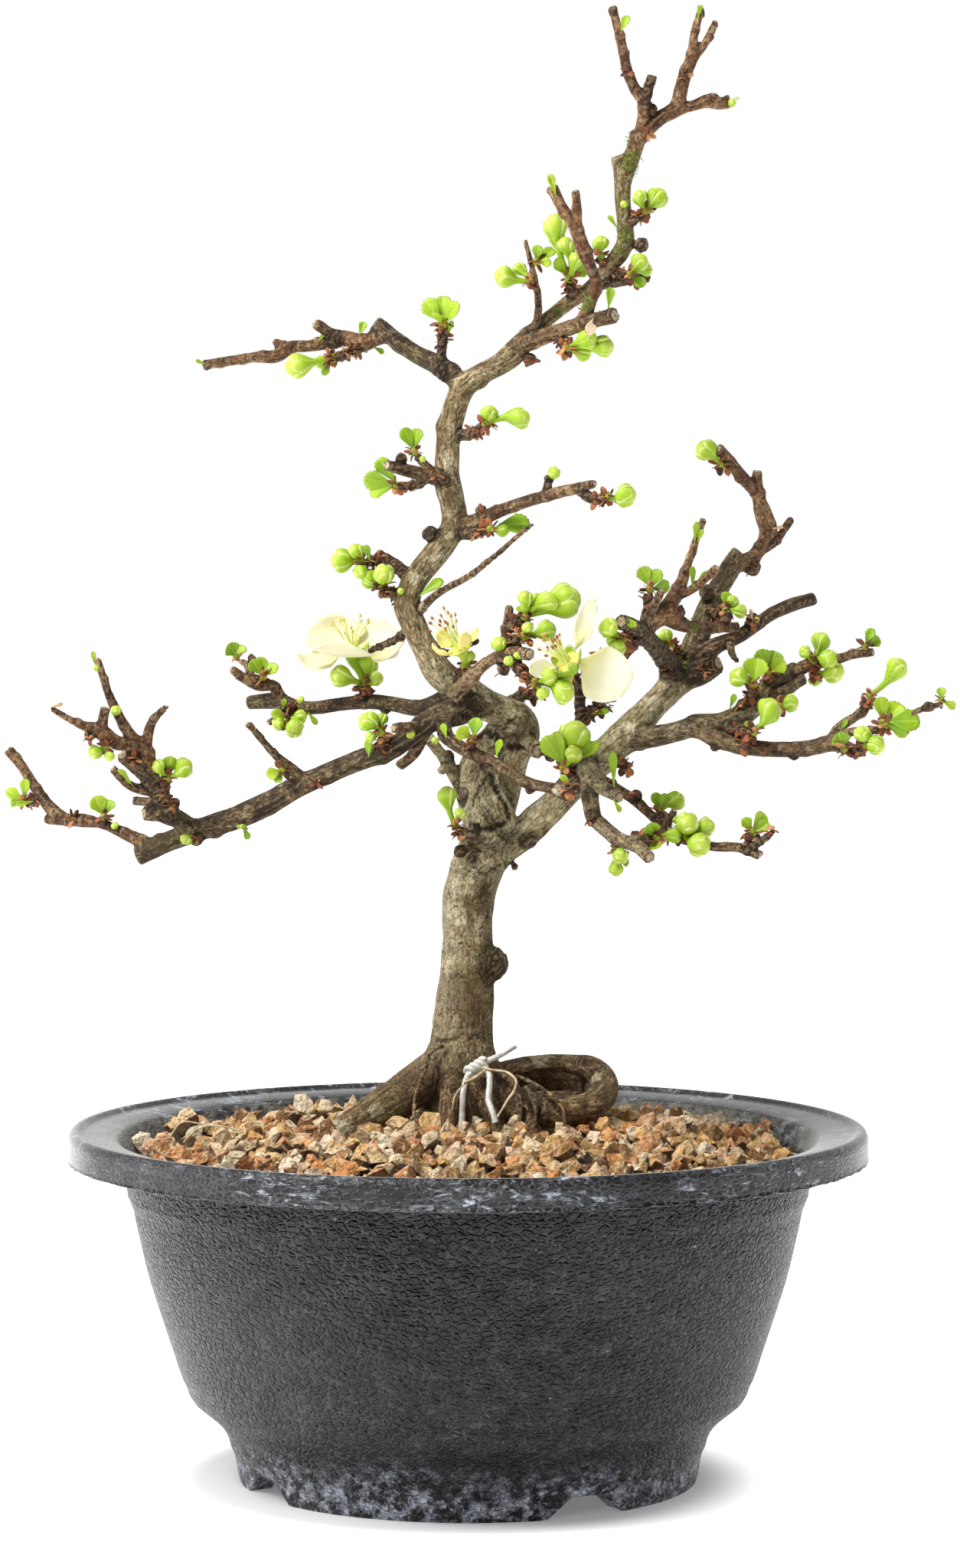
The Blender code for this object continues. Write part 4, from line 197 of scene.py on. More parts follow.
        (27.4, 155.4, 13, 1)],
    "right_back_spur_fork": [(22.4, 151.2, 11, 0.9), (22.2, 157, 11.5, 0.95), (21, 161.4, 12, 0.9)],
    "limb_tip_spur": [(28.5, 144.5, 2.5, 1.2), (32.3, 142.7, 0, 0.75)],
    "green_stub_spur": [(21.8, 140.8, 2, 1.3), (19.7, 142.1, -1.4, 0.9)],
    "green_cut_stub": [(23.2, 143, 2, 2.3), (23.8, 142, -4, 2), (24.9, 140.7, -8, 2),
        (26.9, 138.7, -12, 1.5), (30.3, 136.7, -17, 1.25)],
    "front_low": [(24.6, 140.2, -7, 1.8), (24.3, 137.3, -9, 1.7), (24.6, 135.2, -11, 1.7),
        (25.2, 132.6, -13, 1.6), (26.9, 130.9, -15, 1.55), (29.3, 128.9, -18, 1.5),
        (34.3, 126.6, -24, 1.4), (36.3, 124.6, -27, 1.3)],
    "front_low_bud_base": [(29.4, 128.3, -18, 1), (29.6, 126.9, -18.5, 0.8)],
    "front_low_side_spur": [(33, 127.8, -22.4, 1.2), (36.9, 128.5, -19, 0.95)],
    "long_thin": [(24.6, 141.2, -6.5, 1.3), (28.6, 139.2, -3.5, 1.05), (32.6, 136.6, -4.5, 1.05),
        (36.9, 132.9, -8, 1), (40.3, 129.6, -12, 1.1), (43.5, 128.2, -14, 1),
        (48.9, 126.9, -16, 0.95), (55, 126.5, -20, 0.95), (58.5, 125, -22, 0.95)],
    "long_thin_end_spur": [(56.2, 126.3, -20.7, 0.9), (59, 128.2, -22.5, 0.65), (61.3, 130.2, -24, 0.5)],
    "long_thin_leaf_spur": [(55.9, 126.5, -20.4, 1), (56.5, 128.8, -18.5, 0.9)],
    "long_thin_bud_spur": [(38.6, 131.2, -9.9, 1), (38.4, 133.4, -7, 0.75)],
    "long_thin_stub": [(39.4, 130.6, -11, 0.9), (41.3, 134.2, -14, 0.7)],
    "long_thin_leaf_base": [(28.9, 138.9, -3.6, 0.9), (29.1, 140.3, -2, 0.6)],
    "arching": [(31, 148.6, 4.5, 2.6), (36.9, 148.9, 1, 2.2), (41.5, 149.8, -1, 2.05),
        (46.6, 151.2, -3, 2.1), (50.3, 151.6, -3, 2), (53.9, 153.1, -2, 2), (56.5, 154.4, -0.5, 2.1),
        (57.8, 156.2, 1, 2.15), (59.5, 158, 3, 2.1), (61.6, 159.6, 5, 2), (65.9, 162.5, 9, 1.75)],
    "arching_stub": [(59, 156, 3, 1.4), (61.6, 157.2, 2, 1.2), (67.4, 160.5, 4.5, 0.95)],
    "arching_top_twig": [(64, 161, 7.5, 1.4), (68.2, 163.3, 5, 1.3), (72, 163.8, 3, 1),
        (77, 165.3, 0, 0.9), (80.8, 165.7, -2, 0.85)],
    "arching_bud_spur": [(56.2, 154.8, -0.3, 1.1), (56.9, 158.6, -3.5, 0.85)],
    "arching_fan_spur": [(60, 158.5, 3.3, 1.1), (59.9, 161, 1.5, 0.75)],
    "arching_low": [(46, 150.4, -3, 1.9), (50.3, 148.2, -5, 1.8), (56.5, 146.7, -7, 1.6),
        (63.8, 146.3, -9, 1.55), (70.4, 147, -11, 1.6), (72.9, 147.6, -12, 1.65), (75, 146.9, -13, 1.4),
        (79.3, 145.6, -15, 0.85)],
    "arching_low_rise": [(72.6, 147.8, -11.6, 1.3), (74, 150.3, -11, 1.1), (78, 153.3, -10, 0.9),
        (81.9, 156.6, -9, 0.45)],
    "arching_low_bud_spur": [(78.6, 153.6, -9.9, 0.9), (79.9, 156.2, -11, 0.75)],
    "arching_tip": [(73, 148.4, -12, 1.1), (76.2, 149.7, -13.5, 0.9), (81.5, 150.2, -16, 0.8),
        (84.5, 150.8, -17, 0.75), (89.7, 154, -18.5, 0.6), (94.9, 155.5, -20, 0.55)],
    "arching_knuckle_spur": [(55, 146.8, -6.8, 1.3), (56.3, 148.9, -9.5, 1)],
    "arching_dark_spur": [(50.2, 151.3, -3.4, 1.1), (53.2, 150.4, -5.5, 1), (56, 149.2, -8.5, 0.9)],
    "arching_right_bud_spur": [(60.2, 157.6, 2.6, 1), (61.8, 155.6, -0.5, 0.75)],
    "arching_round_leaf_spur": [(74.8, 147, -13, 0.9), (75.3, 146, -15.5, 0.7)],
    "arching_outer_bud_spur": [(78, 146, -14.4, 1), (79.2, 146.6, -16.5, 0.8)],
    "arching_tip_leaf_spur": [(82.6, 150.3, -16.3, 0.8), (83, 150.9, -18, 0.7)],
    "upper_right": [(42.2, 161, 10, 3), (44.8, 166, 14, 2.55), (46.3, 170, 17, 2.35),
        (47.9, 175, 20, 2.1), (50.6, 179.5, 24, 2.1), (52.6, 183, 27, 2), (54.1, 185.8, 29, 1.55)],
    "upper_right_top": [(53, 183, 27.5, 1.6), (56.1, 184, 30, 1.6), (59.1, 188.4, 32.5, 1.3),
        (59.7, 190.4, 33, 1.7), (59.2, 192.2, 33, 1.8), (58.3, 194.9, 32.5, 1.5),
        (57.6, 199.3, 31.5, 1.1), (57.6, 201.8, 31, 0.98)],
    "upper_right_top_left": [(57.6, 197.4, 32, 1.2), (54.5, 200.7, 29.5, 1.2), (51.2, 204.8, 26.5, 1.1),
        (49.8, 206.3, 25, 1.1)],
    "upper_right_top_stub": [(58.2, 185.8, 31.8, 1), (60.3, 187, 33.5, 0.85),
        (64.6, 192.5, 36.5, 0.75)],
    "upper_right_bud_spur": [(52.4, 203.4, 27.6, 0.9), (50.8, 202.9, 26.8, 0.7)],
    "outward": [(43.5, 163.4, 11, 2.3), (49.5, 167, 13, 1.7), (53.2, 168.5, 15, 1.5),
        (61.6, 173.9, 20, 1.3), (65.7, 175.5, 23, 1.35), (69.2, 176.5, 25, 1.25)],
    "upper_right_side_spur": [(47.6, 172.6, 18.5, 1.1), (50.9, 173.9, 15.5, 0.9)],
    "dead_stub": [(42.5, 160.5, 9, 2.6), (47, 162, 6, 2.4), (50, 163.6, 4.5, 1.6)],
    "forward_cut": [(41.8, 161.3, 9, 2.5), (39.5, 164.2, 2, 2), (38.3, 165.7, -2, 1.9),
        (35.3, 168.8, -9, 1.7), (32.3, 171, -16, 1.6), (30.5, 171.8, -20, 1.45)],
    "forward_twig": [(34.9, 168.8, -9.5, 1.5), (35.4, 171.3, -10.5, 1.3), (36.7, 174.2, -12, 0.95),
        (38.7, 178.2, -14, 0.8)],
    "forward_leaf_spur": [(35.2, 171, -10.3, 1), (35.7, 174.7, -8.5, 0.75), (36.1, 177.3, -8, 0.85)],
    "forward_bud_spur": [(34.2, 169.3, -12, 1.1), (32.7, 167, -14, 0.95), (31.2, 168, -17.5, 0.85)],
    "forward_dark_spur": [(32.9, 167.3, -13.8, 0.9), (30.3, 164.6, -13, 1), (26.3, 165.3, -11, 0.9)],
    "pink_rise": [(35.2, 170.4, -9.5, 1.6), (37.4, 172.3, -7, 1.9), (39.2, 173.6, -5, 2),
        (40.6, 175.9, -4, 1.6), (42.4, 179.3, -2.5, 1.25), (44.1, 184.3, -1.5, 0.85),
        (47, 192.4, 0.5, 0.65)],
    "pink_side": [(39, 173.2, -5, 1.9), (42.6, 171.2, -1, 1.35), (47.9, 170.6, 4.5, 1.05),
        (53.9, 170.8, 9.5, 0.95)],
    "pink_stub": [(40.6, 172.8, -3.6, 1.3), (43, 174.2, -1.5, 1)],
    "pink_side_twig": [(49.8, 170.2, 6.4, 0.8), (52.1, 173.9, 7.5, 0.6)],
    "pink_leaf_twig": [(41.6, 177.2, -3.1, 1.1), (43.7, 177.8, -4, 0.9), (49.7, 182.6, -8, 0.85)],
    "hub_back_spur": [(42.8, 163.6, 11, 1.2), (40.9, 166.5, 8, 0.9)],
}

# Roots: as LIMBS, from the flare of the trunk down into the grit
ROOTS = {
    "root_left": [(-3, 84, 7, 4.4), (-8.8, 80.4, 4, 4.2), (-15, 75.6, 0, 4.2), (-20, 72.6, -3, 3.6),
        (-25.3, 69.6, -6, 2.8), (-31, 65, -9, 2)],
    "root_loop": [(3, 79.5, 9, 3.4), (8.5, 82, 12, 2.1), (12, 83, 14, 1.8), (15.8, 83.4, 15, 1.8),
        (20, 83.3, 14, 1.9), (24, 82.6, 11, 2.4), (27, 80.3, 6.5, 2.6), (27, 77, 1, 2.8),
        (24.2, 74.6, -3, 3), (19.5, 73.6, -5, 3.2), (14, 73.8, -5, 3.2), (8, 74.6, -2, 3.4),
        (2, 76, 3, 4)],
    "root_front": [(2.5, 80, 1, 2.8), (4.6, 75, -3, 2.2), (6, 69, -6, 2), (6.5, 63, -8, 1.6)],
    "root_front_right": [(8.5, 78.2, 0, 1.8), (11.1, 74.5, -7, 1.4), (12.8, 70.5, -10, 1.2),
        (14, 65, -12, 1)],
    "root_front_left": [(-3, 79, 2, 2.5), (-4, 73, -4, 2), (-5, 65, -7, 1.6)],
    "root_back_left": [(-2, 80.5, 12, 4.2), (-4.5, 75, 20, 3.2), (-7, 69, 28, 2.4), (-9, 64, 33, 1.8)],
    "root_back_right": [(3, 79.5, 13, 3.8), (8, 74, 22, 2.8), (12, 68.5, 29, 2), (14, 63, 33, 1.5)],
}

# Knots, burls and cut knobs on the wood: (x, z, depth, radius)
KNOTS = [(4.6, 103.2, 6.5, 3.3), (-1.7, 125.8, 1.2, 1.2), (0.6, 124.6, -0.9, 1.2), (9.3, 122.9, 4.5, 0.8),
    (12.2, 127.9, 2.2, 1.4), (-1, 136.9, 6, 1.4), (-4.2, 144.6, 7, 1.3), (12.4, 138.4, -19.6, 1),
    (39.6, 161.5, 2.5, 1.5), (47.5, 177.6, 17.6, 1.4), (56.7, 172, 15.7, 1.3), (34.3, 246.5, 9, 1.3),
    (-5.1, 221.2, 5.4, 1.2), (12.2, 223.9, 4, 1.1), (-7.6, 189.2, 0.6, 1.4), (-13.4, 204.2, -0.6, 1),
    (36.2, 273.2, 8.6, 1.1), (-75.7, 148.9, -11.4, 1), (-59.1, 135.3, 4.6, 1.2),
    (-54.3, 128.2, 6.4, 1.2), (24.7, 132.7, -14.2, 1.1), (33.5, 137, -5.2, 1.1),
    (54.6, 155.2, -2.4, 1.1), (65.1, 144.9, -9.2, 0.8), (20.6, 138.7, -24.4, 1.6),
    (7, 162.4, -16.6, 1.2), (-6.6, 200.6, 2.2, 1.2), (2.4, 193.9, -2.2, 0.9), (-16.6, 154.2, 11, 0.9),
    (-43.2, 164.6, 22.9, 0.7), (49.2, 146.7, -5.4, 0.8), (-26.4, 227.9, 17.9, 1.6),
    (91.9, 154.8, -19, 0.9), (56.6, 182.4, 29.2, 1.4)]

# Sprays of buds and young leaves, each a list of heads that hold together. A head is its green foot on
# the spur, its buds, both as (x, z, depth, radius), and its leaves as (tip x, tip z, tip depth, half
# width).
SPRAYS = {
    "crown_fan": [((-5.1, 230.9, 5, 1.1), [], [(-8.6, 235.6, 4, 1.3), (-5, 236.6, 6.5, 1.3),
        (-1.6, 235, 4, 1.4), (-6.6, 233.2, 2, 0.9)])],
    "upper_left": [((-27.2, 224.2, 14.4, 1.1), [(-34.1, 222.6, 13.2, 2.2), (-29.2, 223.3, 17, 1.2)],
        [(-28.6, 221, 13, 0.6)])],
    "thorn_left": [((12.4, 239.4, 1.2, 0.85), [(7.2, 240.4, 0.5, 1.9), (10.1, 241.9, 3.4, 1.2)], [])],
    "thorn_right": [((13.6, 243.3, 0.6, 0.85), [], [(13.9, 246.6, -0.8, 0.8), (17, 246, 1.5, 0.9),
        (16.2, 243.2, -1.4, 0.7)])],
    "leader_top": [((35.4, 253.2, 7.2, 1), [(34.1, 256.2, 6.4, 1.3), (37.6, 256, 7.6, 1.9),
        (36.4, 254.6, 10.2, 1.2)], [])],
    "leader_single": [((26.4, 244.4, 8.8, 0.85), [(26.4, 247, 8.4, 1.45)], [])],
    "leader_low": [((32.2, 240.9, 7.6, 0.9), [(34.1, 243.3, 6.4, 1.6), (35.4, 241.7, 9.2, 1.2)],
        [(35, 238.7, 6, 0.9)])],
    "big_cluster": [((20.2, 240.2, 4.4, 1.1), [(19.4, 246.6, 2.4, 1.6), (21.6, 243.9, 1, 1.3),
        (17.5, 250.6, 5.2, 2.2)], [(16.9, 243.6, 3, 0.9), (23.6, 242, 4.6, 0.9)])],
    "under_fork": [((19.6, 226.2, -3.4, 1.1), [(23.8, 228, -4.6, 1.8), (27, 226.5, -3.2, 1.9),
        (23, 225.1, -1.6, 1.4)], [])],
    "neck": [((3.6, 211, 0.6, 1), [(4.2, 213.3, 0.2, 1.5)], [(12.2, 212.6, -0.6, 1.9)])],
    "mid_left_hook": [((-10.8, 205.7, -4.8, 0.85), [], [(-12.6, 210.4, -5.6, 1.1),
        (-10, 210.2, -4, 1)])],
    "mid_left": [((-14.2, 198.9, 4.8, 0.85), [], [(-17.4, 204.4, 5.6, 1.2), (-20.7, 200.6, 4.4, 1.4),
        (-20, 197.6, 6.4, 1)])],
    "mid_right_end": [((28.1, 196.6, -16.3, 0.9), [(31.4, 197, -17, 2)], [])],
    "mid_right_shoot": [((4.4, 190.3, -3.8, 0.9), [(7, 190.2, -3.2, 1.3)], [(12, 192.2, -4.8, 1.6)])],
    "mid_cluster": [((-17, 178.9, -0.9, 1.1), [(-16.7, 181.3, -3.4, 1.8), (-19.6, 180.4, 0.4, 1.7)],
        []), ((-21.2, 183.7, 1, 1), [(-21.4, 181.7, -0.4, 1.3), (-22.4, 185.9, 0.4, 1.4),
        (-25.2, 184, 1.4, 2.1)], [])],
    "left_tip": [((-88.7, 136, 22.6, 0.85), [], [(-92.1, 138.4, 22.2, 0.9), (-88.8, 140.2, 21, 0.8),
        (-91.6, 135.6, 24, 0.7)])],
    "left_fan": [((-72.8, 132.8, 14.4, 0.9), [], [(-74.6, 136.9, 13.2, 1.3), (-71.6, 136.4, 15.4, 1)])],
    "left_group_low": [((-72.5, 146.8, -10.1, 1), [(-74.6, 145.9, -11.2, 1.3),
        (-71.6, 144.9, -11.4, 0.9)], [])],
    "left_group": [((-60.1, 140.7, -1.6, 1), [(-61.9, 143.1, -3, 1.2), (-59.6, 143.6, -0.6, 1.4),
        (-56.8, 142.9, -2.2, 1.7)], [])],
    "left_limb": [((-37.2, 142.2, -3.2, 0.85), [], [(-39.9, 141.3, -4.8, 0.9),
        (-38.2, 139.6, -3.8, 0.7)])],
    "back_left_top": [((-41, 160.8, 22, 0.9), [], [(-43.2, 164.3, 20.4, 1.1), (-41.2, 164.9, 22.6, 1),
        (-38.3, 163.4, 21.6, 1)])],
    "back_left_end": [((-46.3, 164.7, 23.8, 0.75), [], [(-48, 167.4, 22.6, 1.2),
        (-44.9, 167.2, 24.8, 0.9)])],
    "back_left": [((-36.2, 151.9, 19.8, 1), [(-34.7, 150.6, 17.8, 1.7), (-37.9, 151.4, 18.6, 1.2),
        (-33.4, 152.9, 19.4, 1.2)], [(-38.6, 154, 17.6, 0.8)])],
    "limb": [((-17.4, 149.8, -8.9, 1), [(-20, 151.9, -9.2, 1.8), (-17.2, 152.4, -6.8, 1.1),
        (-19.6, 148.8, -10.4, 1)], [])],
    "left_flower": [((-20.7, 159.3, 10.8, 1.2), [(-25.6, 161, 9.2, 1.9), (-20.2, 163.2, 12.4, 1.9),
        (-18.2, 160.6, 9.2, 1.2)], [])],
    "front_upper": [((11.4, 172.9, -19.4, 1.1), [(11.3, 176.7, -20.6, 1.3), (13.6, 176.4, -17.2, 1.1),
        (16, 175.9, -21.4, 1.8), (19.4, 176, -18.2, 3)], [(10.3, 175.2, -17.6, 0.7)]),
        ((11.5, 169, -20.6, 1.1), [(15.7, 170.1, -20.4, 1.8), (11.9, 170.6, -22.8, 1)], [])],
    "front_hanging": [((13.5, 159.6, -23.5, 1.2), [(16.1, 160.9, -25.5, 1.6), (19.3, 161.4, -22, 1.8),
        (14.9, 157.6, -25.4, 1.2), (19, 157.7, -25.8, 2.1)], [])],
    "middle_flower": [((-0.5, 163, -4.2, 1.1), [(0.4, 165, -5.8, 0.95)], [])],
    "crossing_leaf": [((0.9, 148.5, -14, 0.85), [], [(2.2, 152.4, -13, 1.2),
        (-2.2, 150.4, -14.6, 1.2)])],
    "trunk": [((-2.7, 131.2, -1.1, 0.9), [(-4.2, 137.2, -0.6, 1.75), (-1.6, 133.6, -2.6, 1)], [])],
    "green_stub": [((19.3, 142.7, -2.2, 1.2), [(21.3, 149.2, -3, 2.8), (21.1, 145.4, -5.6, 1.6)],
        [(15.2, 148.8, -3.4, 1.5), (17.4, 149.6, -5.6, 1.2), (24.9, 147.8, -6.4, 0.9)])],
    "front_low": [((29.7, 126.2, -18.8, 0.9), [(30.5, 124.9, -21.2, 1.4), (29.6, 122.3, -18.6, 1.3)],
        [(31.9, 123, -18.4, 0.6)])],
    "long_thin_upper": [((38.4, 134.1, -6.4, 0.85), [(41.5, 136, -5.4, 1.8)], [(37.6, 137.5, -7.6, 0.9),
        (39.4, 137.4, -8.4, 0.8)])],
    "long_thin_big": [((42.3, 129.6, -15, 1.2), [(43.9, 131.6, -18.4, 2), (47.5, 130.8, -16, 1.8),
        (46.2, 127.3, -19.4, 2.2), (41.9, 132.2, -14.6, 0.9)], []), ((37.7, 128.6, -19.6, 1),
        [(41.2, 129.1, -17, 1.35)], [(36, 131.6, -20.8, 1.3), (37.2, 126, -21.2, 1)])],
    "long_thin_end": [((56.7, 129.6, -18, 1), [], [(55.5, 132.5, -19.4, 0.9),
        (59.2, 133.6, -16.6, 1.2), (60.2, 131.6, -18.4, 0.9)])],
    "arching_big": [((56.8, 149.7, -10, 1.1), [(60, 154.4, -9.4, 2.2)], [(56, 152.2, -9.6, 0.7)])],
    "arching_right": [((62.4, 155.2, -1.4, 0.85), [(64.4, 155.6, -2.2, 1.55)], [])],
    "arching_left": [((57, 159.4, -4, 0.95), [(54, 160.8, -5, 1.75)], [(57.8, 164.6, -3, 1.8)]),
        ((59.8, 161.8, 1, 0.9), [], [(61.4, 165.8, 2, 1.4), (63.4, 163.8, -1.2, 1.2),
        (58.8, 165.8, -1.6, 1.4)])],
    "arching_top": [((69, 164.3, 3.6, 1.2), [(70.4, 168, 4.4, 1.7), (67.2, 165.9, 1.4, 1.1),
        (72, 164.3, 1.2, 1.7)], []), ((69.4, 161.7, 4.4, 1.1), [(73.1, 161.9, 2.4, 1.9),
        (69.2, 160.2, 6.6, 1.1)], [])],
    "arching_top_end": [((79.2, 166.9, -1.6, 0.8), [], [(80.5, 170.4, -2.4, 0.7),
        (82.2, 168.4, -0.6, 0.8)])],
    "arching_long": [((80.3, 157.1, -11.4, 0.85), [(85.6, 162.6, -12.4, 1.95)], [])],
    "arching_outer": [((83, 151.7, -18.6, 1), [], [(82.3, 156.8, -18.2, 1.3),
        (86.6, 155.3, -17, 1.4), (90, 152.6, -20, 1.6), (87.6, 149, -19.4, 0.8)])],
    "arching_outer_buds": [((79.6, 147.3, -17.2, 1), [(78.7, 149.5, -18.6, 1.5),
        (81.5, 147.2, -18.8, 1.7)], [])],
    "arching_round": [((75.2, 146.4, -16.3, 0.8), [], [(73.9, 149.6, -16.8, 1.4)])],
    "right_tip": [((94.5, 156.2, -20, 0.7), [], [(94.5, 158.7, -19.4, 0.7), (97.4, 154.9, -20.4, 0.6)])],
    "forward": [((30.6, 168.2, -18.3, 1.1), [(28, 170.6, -21, 1.8), (29.7, 166.6, -20, 1.6)],
        [(27.6, 168, -17.2, 0.7)])],
    "hub_back": [((40.4, 167, 7.4, 0.95), [(39.4, 169.2, 7, 1.2), (38, 168, 8.4, 1.2)], [])],
    "forward_leaf": [((36.3, 178.3, -8, 0.9), [], [(34.6, 182.8, -7.4, 1.1), (37.8, 182.2, -9, 1.1),
        (40, 178.9, -7, 0.9)])],
    "upper_right": [((50.2, 203.2, 26.4, 0.85), [(47.3, 206, 25.6, 1.9)], [])],
    "upper_right_side": [((51.6, 174.1, 14.8, 1), [(54.4, 173.9, 13.4, 1.2), (52.8, 175.9, 14.2, 1.1)],
        [(51.6, 177.6, 16, 0.8)])],
}

# Open flowers: the spray whose green foot bears the cup, the centre, the point that the stamens
# reach towards, then the petals as (tip x, tip z, tip depth, half width)
FLOWERS = {
    "flower_left": dict(
        spray="left_flower", centre=(-23, 166.4, 12), towards=(-23.6, 173.4, 10.6), petals=[
            (-26.4, 167.8, 2.8, 5.4), (-34.2, 164.9, 9.5, 3.7), (-28.4, 172.9, 19.5, 5.2),
            (-17.4, 172.2, 20, 4.8), (-12.8, 167.8, 9.5, 4)]),
    "flower_middle": dict(
        spray="middle_flower", centre=(-1.9, 167, -7), towards=(-5.2, 173.4, -9.4), petals=[
            (-7, 167.4, -11.4, 1.5), (1.6, 170.6, -4, 1.4), (-5.9, 170, -4.6, 1.7),
            (-1.4, 169.6, -11.6, 1.7)], cup_light=1.0, cup_size=0.72),
    "flower_right": dict(
        spray="front_hanging", centre=(19.6, 164.2, -26.5), towards=(16.2, 168.8, -29.8), petals=[
            (32.2, 158.8, -25.5, 4.6), (24.9, 176.6, -24.5, 1.6), (12.2, 162.4, -28.5, 1.5)]),
}

# The tie wire's three runs, as routes
WIRE_LEFT_LEG = [(-1.6, 66, -9.5, 0.6), (-1.2, 73, -9.5, 0.6), (-0.9, 78, -8, 0.6),
    (0.4, 81.6, -4.5, 0.6), (1.6, 82.8, -3.2, 0.6)]
WIRE_RIGHT_LEG = [(5.5, 71.4, -11.8, 0.6), (5.1, 73, -11.4, 0.6), (4.1, 75.8, -10, 0.6),
    (4.3, 79.5, -7.5, 0.6), (3.6, 82.2, -4.6, 0.6), (1.6, 82.8, -3.2, 0.6)]
WIRE_TAIL = [(0.6, 81.9, -4.4, 0.62), (2.6, 83.2, -3.6, 0.62), (6, 84.8, -2.6, 0.6),
    (9.6, 87, -2.2, 0.6)]

# Limbs that only the fine surface has: a few thin spurs, as LIMBS
THIN_SPURS = {
    "leaf_bud_spur": [(15.4, 196.8, -10.4, 0.8), (16.3, 201, -10.8, 0.7)],
    "twig_behind_flower": [(-11, 171.5, -1.5, 0.9), (-13.5, 169, 3, 0.7), (-20, 165.8, 8, 0.5)],
    "spur_behind_flower": [(-7.5, 166.2, -0.5, 0.9), (-4.5, 165.5, 1, 0.7), (2.2, 168.3, 2.5, 0.55)],
    "limb_tee": [(-35.6, 154.9, 24, 0.8), (-37, 153.5, 22.5, 0.65), (-40, 151.4, 21.5, 0.55)],
    "crossing_side_spur": [(12.8, 147.2, 4, 0.9), (14.5, 146.5, 2, 0.8), (17.1, 144, 0.5, 0.6)],
    "pink_cut_spur": [(36.9, 173.2, -8, 0.7), (37.4, 175.8, -8.6, 0.55), (38.1, 176.9, -8.8, 0.5)],
    "outward_spike": [(52.4, 167.2, 12, 0.9), (52.8, 165.2, 11, 0.7), (54, 163.6, 10.6, 0.35)],
    "under_limb_strand": [(-8, 148.6, 3, 1.2), (-5.4, 145.4, 5.5, 1.15), (-3.2, 142, 7.5, 1.4),
        (-1.2, 138.6, 8.5, 1.5)],
    "under_limb_stub": [(-3.6, 142.8, 7, 1.1), (-5, 142.4, 5, 0.9), (-5.6, 141.6, 4.4, 0.8)],
    "trunk_fold": [(5.4, 143, 3.5, 1.5), (4.6, 139.6, 2.6, 2.2), (5.6, 135.4, 2.4, 2.7),
        (7.6, 131.6, 3.4, 2.4), (9, 128.6, 5.5, 1.6)],
    "root_behind_loop": [(4, 78.5, 17, 3.4), (10, 79.6, 21, 3), (16, 80.2, 22, 3),
        (21, 79.8, 20, 2.7), (25, 78.4, 14, 2.4)],
    "root_under_loop": [(7, 76.5, 6, 2.4), (12, 76, 5, 2), (17, 75.6, 4, 2.2), (22, 75.4, 4, 2.4)],
    "thin_root_left": [(-4.6, 87, 1.2, 0.45), (-7.5, 85.7, -0.4, 0.4), (-8.4, 82.4, -1.4, 0.38),
        (-9.6, 79.5, -3, 0.38), (-10.6, 76.6, -5.2, 0.36), (-10.9, 72.5, -7, 0.34)],
    "thin_root_right": [(9.6, 80.8, 5, 0.45), (13.6, 79, -4, 0.36), (16.5, 77, -8.5, 0.34),
        (18.9, 74.5, -9.5, 0.33), (19.4, 70.5, -10.5, 0.32)],
    "thin_root_front": [(6.2, 81.2, -1.2, 0.6), (9.2, 79.2, -6, 0.5), (10.4, 75.4, -9.6, 0.45),
        (10.2, 70.5, -11, 0.4)],
    "thin_root_hanging": [(11.4, 78.6, -2.6, 0.5), (13.2, 76, -7.4, 0.42), (13.6, 73.6, -9.6, 0.36),
        (13, 70, -10.6, 0.34)],
    "front_twig_butt": [(1, 161.2, -9.4, 1.4), (-1.6, 158.4, -7.4, 1.45), (-3.3, 156.4, -6.8, 1.5)],
}

# Young shoots are red-brown: 1 for the reddest, by the start of a limb's name. The others take their
# age from how thick they are.
YOUNG_SHOOTS = {
    "apex_": 0.85, "reddish": 1, "pink": 1, "upper_left_t": 0.8, "left_group_rise": 0.8,
    "left_group_outer": 1, "left_tip": 0.7, "arching_tip": 0.8, "arching_top_twig": 0.8,
    "upper_right_top": 0.85, "front_twig": 0.6, "thorn": 0.55, "mid_right": 0.5, "back_left_rise": 0.7,
    "lower_fork": 0.45, "left_group_inner": 0.8, "green_cut": 0.1, "front_low": 0.25, "dead": 0.1,
    "outward": 0.25, "arching_low": 0.4, "long_thin": 0.4,
}
# Dark, scaly limbs, in the same way
DARK_LIMBS = {
    "right_back_spur": 0.9, "trunk_dark": 0.9, "arching_dark": 0.8, "forward_dark": 0.8,
    "left_group_low_stub": 0.3, "leader_dark": 0.5, "apex_left_stub": 0.5, "twig_behind": 0.8,
    "spur_behind": 0.9, "forward_cut": 0.35, "left_group_stem": 0.35, "mid_cluster": 0.5, "knot": 0.5,
}
DARK_SPUR = 0.7
# Pale grey-beige limbs, in the same way
PALE_LIMBS = {
    "trunk_right_strand": 0.85, "trunk": 1, "right_limb": 1, "green_cut": 0.8, "arching_low": 0.15,
    "arching": 0.25, "upper_right": 0.2, "front_low": 0.4, "thin_root": 0.4, "root": 0.3, "under_limb": 1,
    "lower_fork": 0.2, "front_twig": 0.3,
}

